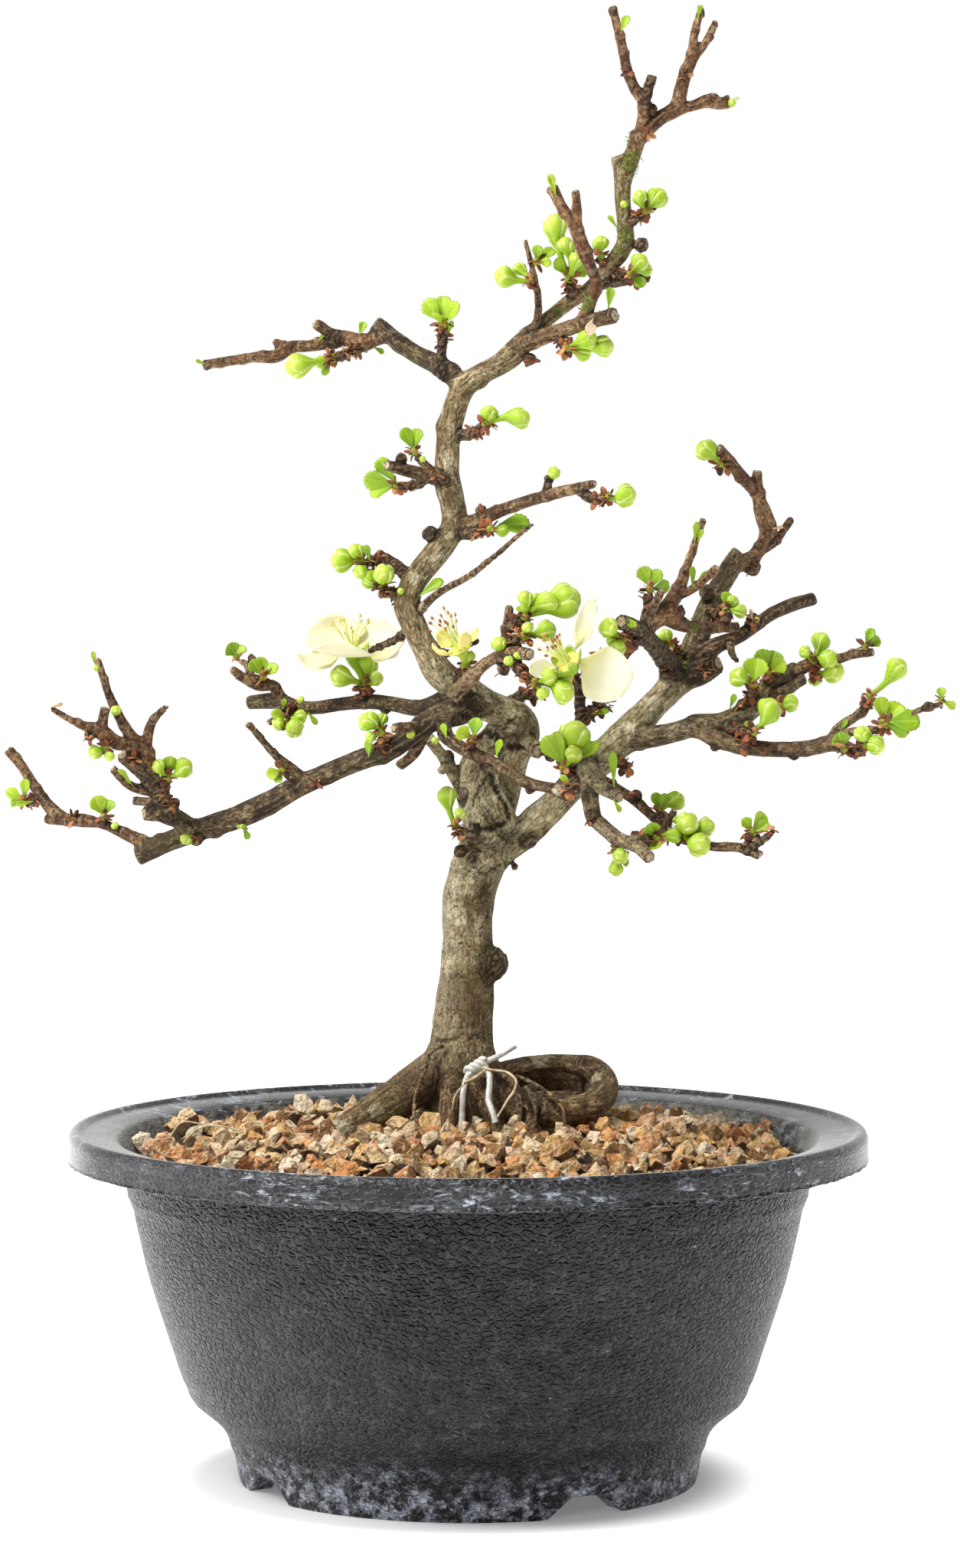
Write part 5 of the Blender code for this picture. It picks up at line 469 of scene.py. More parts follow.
# Leaves that sit straight on the wood: (base x, base z, tip x, tip z, half width), with tone from 0,
# orange scale, to 1, fresh green, where it isn't 1
SMALL_LEAVES = [(30.9, 288.9, 32, 291.9, 0.85), (45.3, 291.5, 45.6, 294.6, 0.6),
    (-22.2, 229, -21.2, 231.6, 0.8), (-48.6, 223.8, -45.4, 225, 0.55),
    (-39.9, 224.6, -38, 226.3, 0.5), (-18.6, 225.8, -16.6, 225, 0.6),
    (-30, 228, -28.6, 230.2, 0.6), (-3.6, 228.8, -2.4, 231.4, 0.6), (27.4, 235.3, 27.9, 239.4, 0.9),
    (17.1, 256.8, 15.9, 261, 0.8), (29, 249.9, 27.4, 252.3, 0.6), (-9.3, 176.8, -4.8, 180.4, 1.2),
    (-19.6, 183.2, -20.6, 186.6, 0.8), (-75.6, 162.6, -76.2, 165.4, 0.5),
    (-66.2, 139.1, -69.4, 142.6, 0.9), (-62.6, 140.4, -63.4, 143.4, 0.6),
    (-37.4, 154.6, -37.2, 157, 0.6), (-37, 152.3, -39.2, 150.4, 0.6),
    (-32.6, 153.6, -30.8, 151.2, 0.6), (-20.4, 144.9, -20.8, 148.2, 0.9),
    (-20.2, 145, -18.2, 147.8, 0.7), (13.6, 160, 15.2, 162.6, 0.8), (-4.9, 148.6, -5.6, 151.4, 0.8),
    (5.2, 145.2, 6.2, 149, 0.7), (29.1, 139.3, 28.6, 146.6, 0.9), (29.2, 136, 30.6, 133.6, 0.6),
    (30.8, 172.9, 32.6, 171.1, 0.6), (32.4, 172.9, 33.9, 171.4, 0.6), (44.6, 178.5, 48.2, 181.5, 1.1),
    (44.2, 178.2, 44.4, 182.4, 0.7), (45, 187.9, 45.1, 191.9, 0.7), (45.6, 188.4, 46.7, 190.9, 0.5),
    (24.8, 153.4, 28.4, 154.2, 0.6), (74, 150.6, 75.4, 152.8, 0.5), (56.3, 149.6, 57, 152.4, 0.5),
    (87.2, 149.9, 88.8, 148.3, 0.6), (-87.2, 135.6, -90.6, 134.8, 0.6), (-44.6, 130.4, -43.4, 127.9, 0.7),
    (20.6, 139.8, 18.4, 141.6, 0.6), (51, 157, 52, 159.8, 0.6), (-52.6, 222.8, -54.4, 223.6, 0.4),
    (61.4, 190.2, 63.4, 190.4, 0.45, 0.1), (56.4, 171.8, 56, 174.2, 0.4, 0.1),
    (53.2, 275.6, 54.8, 275.9, 0.4, 0.3), (-84.6, 155.2, -82.2, 155.9, 0.4, 0.2),
    (25.9, 234, 23.7, 229.4, 1.15, 0)]

# Small buds straight on the wood: (x, z, radius)
SMALL_BUDS = [(53.2, 273.9, 0.75), (17, 202.4, 1.1), (-9.1, 203.4, 0.6), (-14, 178.1, 0.6),
    (-74.7, 161.7, 0.6), (-70.8, 153.4, 0.9), (-56.5, 127.4, 1.2), (-45, 129.9, 1.1),
    (-11.4, 148.4, 0.8), (5.6, 166.4, 1.35), (7.8, 163.3, 0.9), (9.2, 164.2, 0.7), (-6.3, 147.2, 0.7),
    (58, 172.3, 0.5), (76, 144.7, 0.5), (-70.9, 130.6, 0.7), (30.6, 254.6, 0.7), (-33, 157, 0.7)]

# Clumps of rust-brown papery scales, each (x, z, radius), where no spray's foot has them already
SCALE_CLUMPS = [(55.7, 148.5, 1.3), (68.2, 163.2, 1.4), (79.7, 156.2, 0.9), (57.2, 158.8, 1),
    (39.3, 128.3, 1.2), (19.9, 138.7, 1.7), (12.7, 160.3, 1.1), (31.3, 167.6, 1.1), (39.5, 161.5, 1.2),
    (56.7, 172.2, 1.2), (-75.7, 148.9, 1), (-59.1, 135.6, 1.3), (-54.3, 128.4, 1.1), (24.6, 132.5, 0.9),
    (33.5, 137, 0.9), (54.6, 155.4, 0.9), (-43.5, 128.6, 0.9), (35.9, 268.4, 1), (42.8, 280.4, 1),
    (31.4, 281, 0.8), (-30.8, 139.4, 0.9), (-66.4, 144.4, 1.2), (-79.6, 132.4, 1.2), (12.2, 223.9, 1),
    (7, 162.4, 1), (2.4, 193.9, 0.8), (-6.6, 200.6, 0.9), (59.2, 146.9, 0.8), (47.3, 161.6, 1.4),
    (57, 182.6, 1.1), (49.3, 166.8, 0.8), (33.7, 238.9, 0.9)]

# Moss on the wood, each (x, z, radius of the patch)
MOSS_PATCHES = [(32.6, 262.6, 2.6), (34, 260.6, 1.6), (29.6, 268, 1.4), (31.4, 249, 2),
    (29.4, 246, 1.4), (22.6, 235.4, 2.2), (18.2, 233, 1.4), (45.6, 171, 1.6), (43.2, 164.4, 1.4)]

# Creases between strands of wood that press against each other, as seen from the front: (x, z) along
# each, and how deep in mm. The bark is also darkened along them as painted shade.
CREASES = [
    ([(-1.2, 153.4), (1.6, 151.6), (4.4, 149.2), (8.2, 147), (11.2, 145.6)], 0.9),
    ([(3.9, 142.6), (5, 140.2), (6.4, 137.9), (8.4, 134.9), (8.8, 131.8)], 0.9),
    ([(3.7, 142.4), (2.4, 140.1), (0.6, 137.2), (-0.2, 134.2)], 0.55),
    ([(-0.6, 131.2), (2.4, 130.2), (5.6, 130.3), (8.4, 131.4)], 0.8),
    ([(6.8, 149.6), (8.6, 151.4), (10.6, 152.6)], 0.4),
    ([(-2.6, 156.2), (-0.4, 157), (2.2, 158.4)], 0.5),
    ([(3.6, 121), (6.2, 122.4), (8.8, 123)], 0.4),
]

# Painted shade on the wood where it lies in shadow, each (x, z, radius of the patch)
SHADE_PATCHES = [(2, 153.2, 2.6), (5.6, 150.4, 2.4), (9.4, 148, 2.2), (6, 140.6, 2.6),
    (8.6, 137, 2.4), (7.4, 130.4, 2.6), (-9.6, 152.2, 3.2), (-4.6, 154.6, 3.4), (3.4, 117, 3),
    (5, 113.6, 2.6), (9.6, 128, 2.2), (24.4, 138, 2), (40, 163.6, 3), (44.6, 162.2, 2.6),
    (-61.6, 134.6, 2.6), (26, 233.6, 2), (11.6, 228.8, 2.2), (-14, 227, 2.4), (8.8, 78, 6),
    (15, 79, 6)]

# Whitish, lichen-like bark, in the same way
PALE_PATCHES = [(-3.4, 113, 4.6), (-2.4, 119.4, 4), (0.8, 120.6, 2.6), (-4.4, 104, 3.6),
    (6.4, 127.4, 2.6), (13, 134.6, 2.8), (17.6, 138.6, 2.6), (2.4, 135.4, 2.4), (-0.6, 139.2, 1.8),
    (4.6, 156.8, 1.8), (9.2, 153.6, 1.8), (-5.6, 158.4, 1.6), (-9.4, 174.4, 2), (-10.2, 180.4, 2),
    (-4.6, 189.6, 1.8), (-26, 68, 8), (24.6, 80, 4), (14.8, 84.6, 3.4), (-18, 74, 3),
    (31, 151, 3.2), (36.6, 156.4, 3.2), (26, 144.4, 3), (9.6, 130.4, 3.4), (-8, 215, 2.4),
    (-4.6, 205, 2.4)]

# How each bloom's stamens look: how many, how far they lean, the anthers that show elsewhere as
# (x, z) from the front, and how ripe they are from 0, yellow, to 1, rust brown
STAMEN_LOOKS = {
    "flower_left": dict(count=12, lean=0.85, extra_anthers=[], ripe=0.35),
    "flower_middle": dict(count=9, lean=0.4, extra_anthers=[(-4.7, 174.1), (-3.3, 172.6), (-5.4, 171.6),
        (-7.2, 171.3), (-7.2, 169.8), (-2.4, 171.6), (-4.3, 170.2)], ripe=1.0),
    "flower_right": dict(count=14, lean=0.35, extra_anthers=[(16, 165), (14.6, 166.1), (16.3, 165.9),
        (17.5, 166), (17.9, 168.4), (18.4, 167.7), (13, 167.4), (17.4, 164.7)], ripe=1.0),
}

# How each bloom's petals look: how much wider than the blades of the part, how yellow from 0 to 1,
# and which way they face where that isn't along the bloom
PETAL_LOOKS = {
    "flower_left": dict(spread=1.12, yellow=0.08, facing=(-0.1, -0.4, 0.9)),
    "flower_middle": dict(spread=0.85, yellow=1.0),
    "flower_right": dict(spread=1.1, yellow=0.04, facing=(-0.1, -1, 0.12)),
}

# Dry straw looped round the wire, as routes
STRAWS = [
    [(2.8, 82.4, -5.4, 0.26), (4.9, 82, -6.4, 0.3), (7.8, 81.5, -7.4, 0.3), (9.6, 79.9, -9, 0.28),
        (9.2, 77.8, -10.6, 0.3), (7.9, 75.9, -11.8, 0.26), (7.1, 74.5, -12.4, 0.24),
        (5.9, 72.6, -12.9, 0.2)],
    [(3.4, 82, -6.4, 0.22), (1.9, 80.9, -8.4, 0.26), (0.5, 79.9, -9.4, 0.24), (-0.9, 79.5, -9.6, 0.2)],
    [(2.8, 81.3, -5.5, 0.2), (0.8, 80.4, -8, 0.19), (-0.9, 79, -9.4, 0.18), (-2.5, 77, -10, 0.17),
        (-3.2, 74, -10.4, 0.15)],
    [(-57, 67.5, -26, 0.25), (-54, 70.2, -27, 0.22), (-49, 70.6, -27, 0.2), (-45, 69.4, -27.5, 0.18)],
    [(-60, 68.2, -22, 0.22), (-57.5, 71.4, -21, 0.2), (-53, 71, -21, 0.18)],
]


def seen(x, z, depth):
    """The point, in mm, that appears at (x, z) from the front and lies at this depth."""
    scale = (EYE_DISTANCE + depth) / EYE_DISTANCE
    return np.array((x * scale, depth, EYE_HEIGHT + (z - EYE_HEIGHT) * scale))


def seen_size(size, depth):
    return size * (EYE_DISTANCE + depth) / EYE_DISTANCE


def place_of(row):
    """A seen (x, z, depth, radius) as a point and a radius in mm."""
    x, z, depth, radius = row
    return seen(x, z, depth), seen_size(radius, depth)


def as_seen(points):
    """How rows of points appear from the front: the (x, z) that seen() would take."""
    scale = EYE_DISTANCE / (EYE_DISTANCE + points[:, 1])
    return np.column_stack((points[:, 0] * scale, EYE_HEIGHT + (points[:, 2] - EYE_HEIGHT) * scale))


def in_space(route):
    """A seen route as rows of (x, y, z, radius) in mm."""
    return np.array([[*seen(x, z, depth), seen_size(radius, depth)] for x, z, depth, radius in route])


def drawn(route):
    """A seen route as a smooth line in space, fine enough for wire and straw."""
    return flowing(in_space(route), 0.6)


def unit(vectors):
    """The vectors at length 1, given as one or as rows."""
    return vectors / np.maximum(np.linalg.norm(vectors, axis=-1, keepdims=True), 1e-9)


def square_to(along):
    """Two directions square to a direction and to each other."""
    helper = np.array((0.0, 0.0, 1.0)) if abs(along[2]) < 0.9 else np.array((1.0, 0.0, 0.0))
    side = unit(np.cross(along, helper))
    return side, np.cross(along, side)


def smooth_step(value, low, high):
    t = np.clip((value - low) / (high - low), 0, 1)
    return t * t * (3 - 2 * t)


def noise_at(points, size):
    """Soft noise from about -1 to 1 with lumps of this size in mm, at each row of points."""
    return np.array([noise.noise(row) for row in (np.asarray(points) / size).tolist()])


def flowing(rows, step):
    """Rows a step apart, in mm, on one smooth curve through rows that start with x, y and z."""
    spans = np.linalg.norm(np.diff(rows[:, :3], axis=0), axis=1)
    chord = np.concatenate(([0.0], np.cumsum(spans)))
    slope = np.gradient(rows, chord, axis=0)
    places = np.linspace(0, chord[-1], max(3, round(chord[-1] / step) + 1))
    i = np.clip(np.searchsorted(chord, places, side="right") - 1, 0, len(rows) - 2)
    t = ((places - chord[i]) / spans[i])[:, None]
    span = spans[i][:, None]
    start = (2 * t**3 - 3 * t**2 + 1) * rows[i] + (t**3 - 2 * t**2 + t) * span * slope[i]
    end = (3 * t**2 - 2 * t**3) * rows[i + 1] + (t**3 - t**2) * span * slope[i + 1]
    return start + end


def grid(rows, columns, wrap=False):
    """The faces of points laid row by row; wrap joins the last column to the first."""
    faces = []
    for r in range(rows - 1):
        for c in range(columns if wrap else columns - 1):
            d = (c + 1) % columns
            faces.append((r * columns + c, r * columns + d, (r + 1) * columns + d, (r + 1) * columns + c))
    return faces


def filled_rings(rows, columns):
    """The faces of a stack of rings whose two ends are filled."""
    last = (rows - 1) * columns
    ends = [tuple(reversed(range(columns))), tuple(range(last, last + columns))]
    return grid(rows, columns, wrap=True) + ends


def rod(line, sides):
    """A closed rod along rows of (x, y, z, radius)."""
    points = line[:, :3]
    along = unit(np.gradient(points, axis=0))
    side = square_to(along[0])[0]
    turns = 2 * math.pi * np.arange(sides) / sides
    rings = []
    for i, middle in enumerate(points):
        side = unit(side - along[i] * side.dot(along[i]))
        across = np.cross(along[i], side)
        radius = line[i, 3]
        ring = side * (np.cos(turns) * radius)[:, None] + across * (np.sin(turns) * radius)[:, None]
        rings.append(middle + ring)
    return np.vstack(rings), filled_rings(len(points), sides)


def faced_out(points, faces, centre):
    """The faces, turned over if they look towards the centre on the whole."""
    total = 0.0
    for face in faces:
        a, b, c = points[face[0]], points[face[1]], points[face[2]]
        total += np.dot(np.cross(b - a, c - a), (a + b + c) / 3 - centre)
    return faces if total > 0 else [tuple(reversed(face)) for face in faces]


def shell(top, thickness):
    """A grid of points made a closed sheet of this thickness in mm, with its points and faces."""
    rows, columns = top.shape[:2]
    count = rows * columns
    normal = unit(np.cross(np.gradient(top, axis=1), np.gradient(top, axis=0)))
    under = top - normal * thickness
    faces = grid(rows, columns)
    faces += [tuple(count + i for i in reversed(face)) for face in grid(rows, columns)]
    edge = list(range(columns)) + [r * columns + columns - 1 for r in range(1, rows)]
    edge += [(rows - 1) * columns + c for c in reversed(range(columns - 1))]
    edge += [r * columns for r in reversed(range(1, rows - 1))]
    for a, b in zip(edge, edge[1:] + edge[:1]):
        faces.append((b, a, a + count, b + count))
    return np.vstack((top.reshape(-1, 3), under.reshape(-1, 3))), faces


def blade_axes(root, tip, facing):
    """A blade's direction and length, and the directions across it and out of its face."""
    along = unit(tip - root)
    across = unit(np.cross(along, facing))
    return along, np.linalg.norm(tip - root), across, np.cross(across, along)


def sheet(lengthwise, crosswise, place, thickness):
    """A thin closed sheet and its two marks. place(t, s) gives a point on it, in mm, and its marks."""
    placed = [place(t, s) for t in lengthwise for s in crosswise]
    top = np.array([point for point, marks in placed]).reshape(len(lengthwise), len(crosswise), 3)
    points, faces = shell(top, thickness)
    return points, faces, np.tile(np.array([marks for point, marks in placed]).T, 2)


class Piece:
    """The points in mm, faces and named point values of one piece while it is put together."""

    def __init__(self, *values):
        self.points = []
        self.faces = []
        self.count = 0
        self.values = {name: [] for name in values}

    def add(self, points, faces, **values):
        points = np.asarray(points, float)
        self.faces.extend(tuple(self.count + i for i in face) for face in faces)
        self.points.append(points)
        self.count += len(points)
        for name, rows in self.values.items():
            rows.append(np.broadcast_to(np.asarray(values.get(name, 0.0), float), (len(points),)))

    def make(self, name, material):
        values = {label: np.concatenate(rows) for label, rows in self.values.items()}
        return make_skin(name, np.vstack(self.points), self.faces, material, values)


def mesh_of(name, points, faces=(), edges=()):
    """A mesh from points in mm."""
    mesh = bpy.data.meshes.new(name)
    mesh.from_pydata((np.asarray(points) * MM).tolist(), edges, faces)
    return mesh


def carry(mesh, values):
    """Gives each point of a mesh named values, single ones or three at a time."""
    for label, numbers in values.items():
        single = numbers.ndim == 1
        field = mesh.attributes.new(label, "FLOAT" if single else "FLOAT_VECTOR", "POINT")
        field.data.foreach_set("value" if single else "vector", numbers.astype(np.float32).ravel())


def make_skin(name, points, faces, material, values):
    """A smooth piece at the origin from points in mm, kept inside the part's box."""
    mesh = mesh_of(name, np.clip(points, BOX_LOW, BOX_HIGH), faces)
    carry(mesh, values)
    mesh.materials.append(material)
    mesh.shade_smooth()
    return link_object(name, mesh)


def link_object(name, content):
    obj = bpy.data.objects.new(name, content)
    bpy.context.scene.collection.objects.link(obj)
    return obj


def worked_out(obj):
    """The mesh that an object's modifiers make of it."""
    depsgraph = bpy.context.evaluated_depsgraph_get()
    return bpy.data.meshes.new_from_object(obj.evaluated_get(depsgraph), depsgraph=depsgraph)


def shapes_of(name, shapes, smooth=False):
    """A collection to strew from, of shapes as (points in mm, faces)."""
    kept = bpy.data.collections.new(name)
    for k, (points, faces) in enumerate(shapes):
        mesh = mesh_of(f"{name}_{k}", points, faces)
        if smooth:
            mesh.shade_smooth()
        kept.objects.link(bpy.data.objects.new(f"{name}_{k}", mesh))
    return kept


def mount(piece, slot, *nodes):
    """The piece rides on the tree's one body and stands for nodes; slot is not used."""
    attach(piece, "root")
    if nodes:
        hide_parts(*nodes)


class Value:
    """A socket in a node tree. An expression on values adds the Math nodes that work it out."""

    def __init__(self, graph, socket):
        self.graph = graph
        self.socket = socket

    def math(self, operation, first, second=0.0):
        return self.graph.node("ShaderNodeMath", {0: first, 1: second}, operation=operation)

    def __add__(self, other):
        return self.math("ADD", self, other)

    __radd__ = __add__

    def __sub__(self, other):
        return self.math("SUBTRACT", self, other)

    def __rsub__(self, other):
        return self.math("SUBTRACT", other, self)

    def __mul__(self, other):
        return self.math("MULTIPLY", self, other)

    __rmul__ = __mul__

    def __truediv__(self, other):
        return self.math("DIVIDE", self, other)

    def __rtruediv__(self, other):
        return self.math("DIVIDE", other, self)

    def sine(self):
        return self.math("SINE", self)

    def size(self):
        return self.math("ABSOLUTE", self)


class Graph:
    """A node tree, filled one node at a time."""

    def __init__(self, tree):
        self.tree = tree

    def node(self, kind, sockets=None, output=0, **settings):
        """Adds a node: its settings first, then the values or links of its sockets."""
        made = self.tree.nodes.new(kind)
        for name, value in settings.items():
            if name == "stops":
                self.set_stops(made.color_ramp, value)
            else:
                setattr(made, name, value)
        for key, value in (sockets or {}).items():
            if isinstance(value, Value):
                self.tree.links.new(value.socket, made.inputs[key])
            else:
                made.inputs[key].default_value = value
        return None if output is None else Value(self, made.outputs[output])

    def set_stops(self, ramp, stops):
        while len(ramp.elements) < len(stops):
            ramp.elements.new(0.5)
        for element, (position, *colour) in zip(ramp.elements, stops):
            element.position = position
            element.color = tint(*colour)


class Paint(Graph):
    """One procedural material."""

    def __init__(self, name):
        self.material = bpy.data.materials.new(name)
        self.material.use_nodes = True
        super().__init__(self.material.node_tree)
        self.tree.nodes.clear()
        self.place = self.node("ShaderNodeTexCoord", output="Object")

    def value(self, name, output="Fac"):
        """A value that the piece's points carry."""
        return self.node("ShaderNodeAttribute", output=output, attribute_name=name)

    def height(self, axis="Z"):
        """A coordinate of the place, in mm."""
        return self.node("ShaderNodeSeparateXYZ", {0: self.place}, axis) / MM

    def stretched(self, where, *factors):
        return self.node("ShaderNodeVectorMath", {0: where, 1: factors}, operation="MULTIPLY")

    def jumbled(self, where, size, amount):
        """A place pushed about by noise of this size, by up to this amount in mm."""
        push = self.node("ShaderNodeTexNoise", {"Vector": where, "Scale": 1 / (size * MM)}, "Color")
        push = self.node("ShaderNodeVectorMath", {0: push, 1: (0.5, 0.5, 0.5)}, operation="SUBTRACT")
        reach = 2 * amount * MM
        factors = {0: push, 1: (reach, reach, reach), 2: where}
        return self.node("ShaderNodeVectorMath", factors, operation="MULTIPLY_ADD")

    def cloud(self, size, where=None, detail=3.0, rough=0.55, swirl=0.0):
        """Soft noise from 0 to 1 whose lumps are about size mm."""
        sockets = {"Vector": where or self.place, "Scale": 1 / (size * MM), "Detail": detail}
        sockets.update({"Roughness": rough, "Distortion": swirl})
        return self.node("ShaderNodeTexNoise", sockets)

    def cells(self, size, where=None, feature="F1"):
        """Cells of about size mm: the distance from each cell's point, or from its edge."""
        sockets = {"Vector": where or self.place, "Scale": 1 / (size * MM)}
        return self.node("ShaderNodeTexVoronoi", sockets, "Distance", feature=feature)

    def step(self, value, low, high):
        """0 below low and 1 above high, with a smooth rise; the other way round if low is above high."""
        sockets = {"Value": value, "From Min": low, "From Max": high}
        return self.node("ShaderNodeMapRange", sockets, interpolation_type="SMOOTHSTEP")

    def ramp(self, value, stops):
        """Chart colours along a value, each stop as (value, red, green, blue)."""
        return self.node("ShaderNodeValToRGB", {0: value}, stops=stops)

    def mix(self, amount, first, second):
        """Two colours mixed, each a value, a chart colour or a linear one with its alpha."""
        colours = [tint(*c) if isinstance(c, tuple) and len(c) == 3 else c for c in (first, second)]
        return self.node("ShaderNodeMix", {0: amount, 6: colours[0], 7: colours[1]}, 2, data_type="RGBA")

    def over(self, amount, colour):
        """Lays a colour over what the paint has so far, where and as thickly as amount says."""
        self.colour = self.mix(amount, self.colour, colour)

    def bump(self, height, depth, normal=None):
        """Relief this deep in mm, on top of another relief if one is given."""
        sockets = {"Height": height, "Distance": depth * MM}
        if normal:
            sockets["Normal"] = normal
        return self.node("ShaderNodeBump", sockets)

    def finish(self, roughness, normal, **fixed):
        sockets = {"Base Color": self.colour, "Roughness": roughness, "Normal": normal}
        sockets.update({name.replace("_", " "): value for name, value in fixed.items()})
        surface = self.node("ShaderNodeBsdfPrincipled", sockets)
        self.node("ShaderNodeOutputMaterial", {"Surface": surface}, None)
        return self.material


def tint(red, green, blue):
    """A colour read as on a paint chart, 0 to 255, as the linear colour that a shader takes."""
    shares = [channel / 255 for channel in (red, green, blue)]
    return (*[s / 12.92 if s <= 0.04045 else ((s + 0.055) / 1.055) ** 2.4 for s in shares], 1.0)


class Recipe(Graph):
    """A geometry node tree with named inputs, run on an object to make a plain mesh."""

    def __init__(self, name, inputs):
        tree = bpy.data.node_groups.new(name, "GeometryNodeTree")
        super().__init__(tree)
        ends = {"Geometry": "Geometry", **inputs}
        for label, kind in ends.items():
            tree.interface.new_socket(label, in_out="INPUT", socket_type="NodeSocket" + kind)
        tree.interface.new_socket("Geometry", in_out="OUTPUT", socket_type="NodeSocketGeometry")
        self.entry = tree.nodes.new("NodeGroupInput")

    def given(self, name):
        return Value(self, self.entry.outputs[name])

    def close(self, geometry):
        """Ends the recipe: real geometry in the material that is given."""
        real = self.node("GeometryNodeRealizeInstances", {0: geometry})
        finished = self.node("GeometryNodeSetMaterial", {0: real, "Material": self.given("Material")})
        self.node("NodeGroupOutput", {0: finished}, None)
        return self

    def run(self, name, base, given):
        """A new piece: what the recipe makes of a base object, which stays as it is."""
        modifier = base.modifiers.new(name, "NODES")
        modifier.node_group = self.tree
        for item in self.tree.interface.items_tree:
            if item.in_out == "INPUT" and item.name in given:
                modifier[item.identifier] = given[item.name]
        mesh = worked_out(base)
        base.modifiers.clear()
        mesh.name = name
        return link_object(name, mesh)


def scatter_recipe():
    """Small shapes from a collection, strewn over a surface where its points carry the mask."""
    inputs = {"Shapes": "Collection", "Material": "Material", "Mask": "String", "Seed": "Int"}
    inputs.update({name: "Float" for name in ("Gap", "Density", "Least", "Most", "Tumble", "Lift")})
    recipe = Recipe("strewn shapes", inputs)
    node = recipe.node
    given = recipe.given
    seed = given("Seed")
    mask = node("GeometryNodeInputNamedAttribute", {0: given("Mask")}, data_type="FLOAT")
    spread = {"Mesh": given("Geometry"), "Distance Min": given("Gap"), "Density Max": given("Density")}
    spread.update({"Density Factor": mask, "Seed": seed})
    points = node("GeometryNodeDistributePointsOnFaces", spread, "Points", distribute_method="POISSON")
    normal, turned = [Value(recipe, points.socket.node.outputs[name]) for name in ("Normal", "Rotation")]
    most = node("ShaderNodeCombineXYZ", {i: given("Tumble") for i in range(3)})
    least = node("ShaderNodeCombineXYZ", {i: given("Tumble") * -1 for i in range(3)})
    tumble = node("FunctionNodeRandomValue", {0: least, 1: most, "Seed": seed}, data_type="FLOAT_VECTOR")
    by = node("FunctionNodeEulerToRotation", {0: tumble})
    turned = node("FunctionNodeRotateRotation", {0: turned, 1: by}, rotation_space="LOCAL")
    sizes = {2: given("Least"), 3: given("Most"), "Seed": seed + 1}
    size = node("FunctionNodeRandomValue", sizes, 1, data_type="FLOAT")
    raised = node("ShaderNodeVectorMath", {0: normal, 3: given("Lift")}, operation="SCALE")
    points = node("GeometryNodeSetPosition", {"Geometry": points, "Offset": raised})
    split = {0: given("Shapes"), 1: True, 2: True}
    shapes = node("GeometryNodeCollectionInfo", split, transform_space="ORIGINAL")
    placed = {"Points": points, "Instance": shapes, "Pick Instance": True, "Rotation": turned, "Scale": size}
    strewn = node("GeometryNodeInstanceOnPoints", placed)
    tone = node("FunctionNodeRandomValue", {2: 0.0, 3: 1.0, "Seed": seed + 2}, 1, data_type="FLOAT")
    toned = {"Geometry": strewn, "Name": "tone", "Value": tone}
    kind = "GeometryNodeStoreNamedAttribute"
    return recipe.close(node(kind, toned, data_type="FLOAT", domain="INSTANCE"))


def strand_recipe():
    """Round strands along the edges of a mesh, as thick as its points' thickness says."""
    recipe = Recipe("strands", {"Sides": "Int", "Material": "Material"})
    curve = recipe.node("GeometryNodeMeshToCurve", {0: recipe.given("Geometry")})
    thick = recipe.node("GeometryNodeInputNamedAttribute", {0: "thickness"}, data_type="FLOAT")
    profile = {"Resolution": recipe.given("Sides"), "Radius": 1.0}
    circle = recipe.node("GeometryNodeCurvePrimitiveCircle", profile, mode="RADIUS")
    swept = {"Curve": curve, "Profile Curve": circle, "Scale": thick, "Fill Caps": True}
    return recipe.close(recipe.node("GeometryNodeCurveToMesh", swept))


def make_strands(recipe, name, paths, sides, material):
    """One piece of round strands. A path is rows of (x, y, z, radius) in mm with its tone, which may
    change along it."""
    points = np.vstack([path for path, tone in paths])
    edges = []
    for path, tone in paths:
        first = edges[-1][1] + 1 if edges else 0
        edges += [(first + i, first + i + 1) for i in range(len(path) - 1)]
    reach = points[:, 3:]
    inside = np.clip(points[:, :3], BOX_LOW + reach, BOX_HIGH - reach)
    base = mesh_of(name + "_paths", inside, edges=edges)
    tones = np.concatenate([np.broadcast_to(tone, (len(path),)) for path, tone in paths])
    carry(base, {"thickness": points[:, 3] * MM, "tone": tones})
    carrier = link_object(name + "_paths", base)
    piece = recipe.run(name, carrier, {"Sides": sides, "Material": material})
    piece.data.shade_smooth()
    bpy.data.objects.remove(carrier)
    return piece


# How the wood is worked out: step along a limb, least radius of the coarse skin and of a twig, edge of
# its faces, how many steps are looked through together, how far a limb's pull reaches, and a distance
# that stands for none, all in mm but the number of steps
LIMB_STEP = 0.9
COARSE_LEAST = 0.62
TWIG_LEAST = 0.3
WOOD_VOXEL = 0.568
CHUNK = 14
PULL = 3.2
FAR = 99.0
# How young the thinnest wood looks, and the radii in mm between which that wears off
THIN_YOUTH = 0.55
THIN = 0.8
THICK = 1.7
# Limbs flow together over this share of the thinner one's radius, and at least and at most over this
# in mm
BLEND = 0.5
LEAST_BLEND = 0.25
MOST_BLEND = 1.5
# How far a cut end turns to the front, and how far it slants at random
CUT_TURN = 0.3
CUT_SLANT = 0.2
# The columns of what each point of the wood carries: which way is out, its place in the grain, then
# single values
OUT = slice(0, 3)
GRAIN = slice(3, 6)
ALONG = 3
SINGLE_MARKS = ["young", "dark", "cut", "ring", "size", "scar", "pale"]
YOUNG, DARK, CUT, RING, SIZE, SCAR, PALE = range(6, 13)
MARK_COUNT = 13
# How often the skin is evened and drawn onto the limbs, and how far in mm it moves at a time
SKIN_ROUNDS = 3
SKIN_STRIDE = 0.6
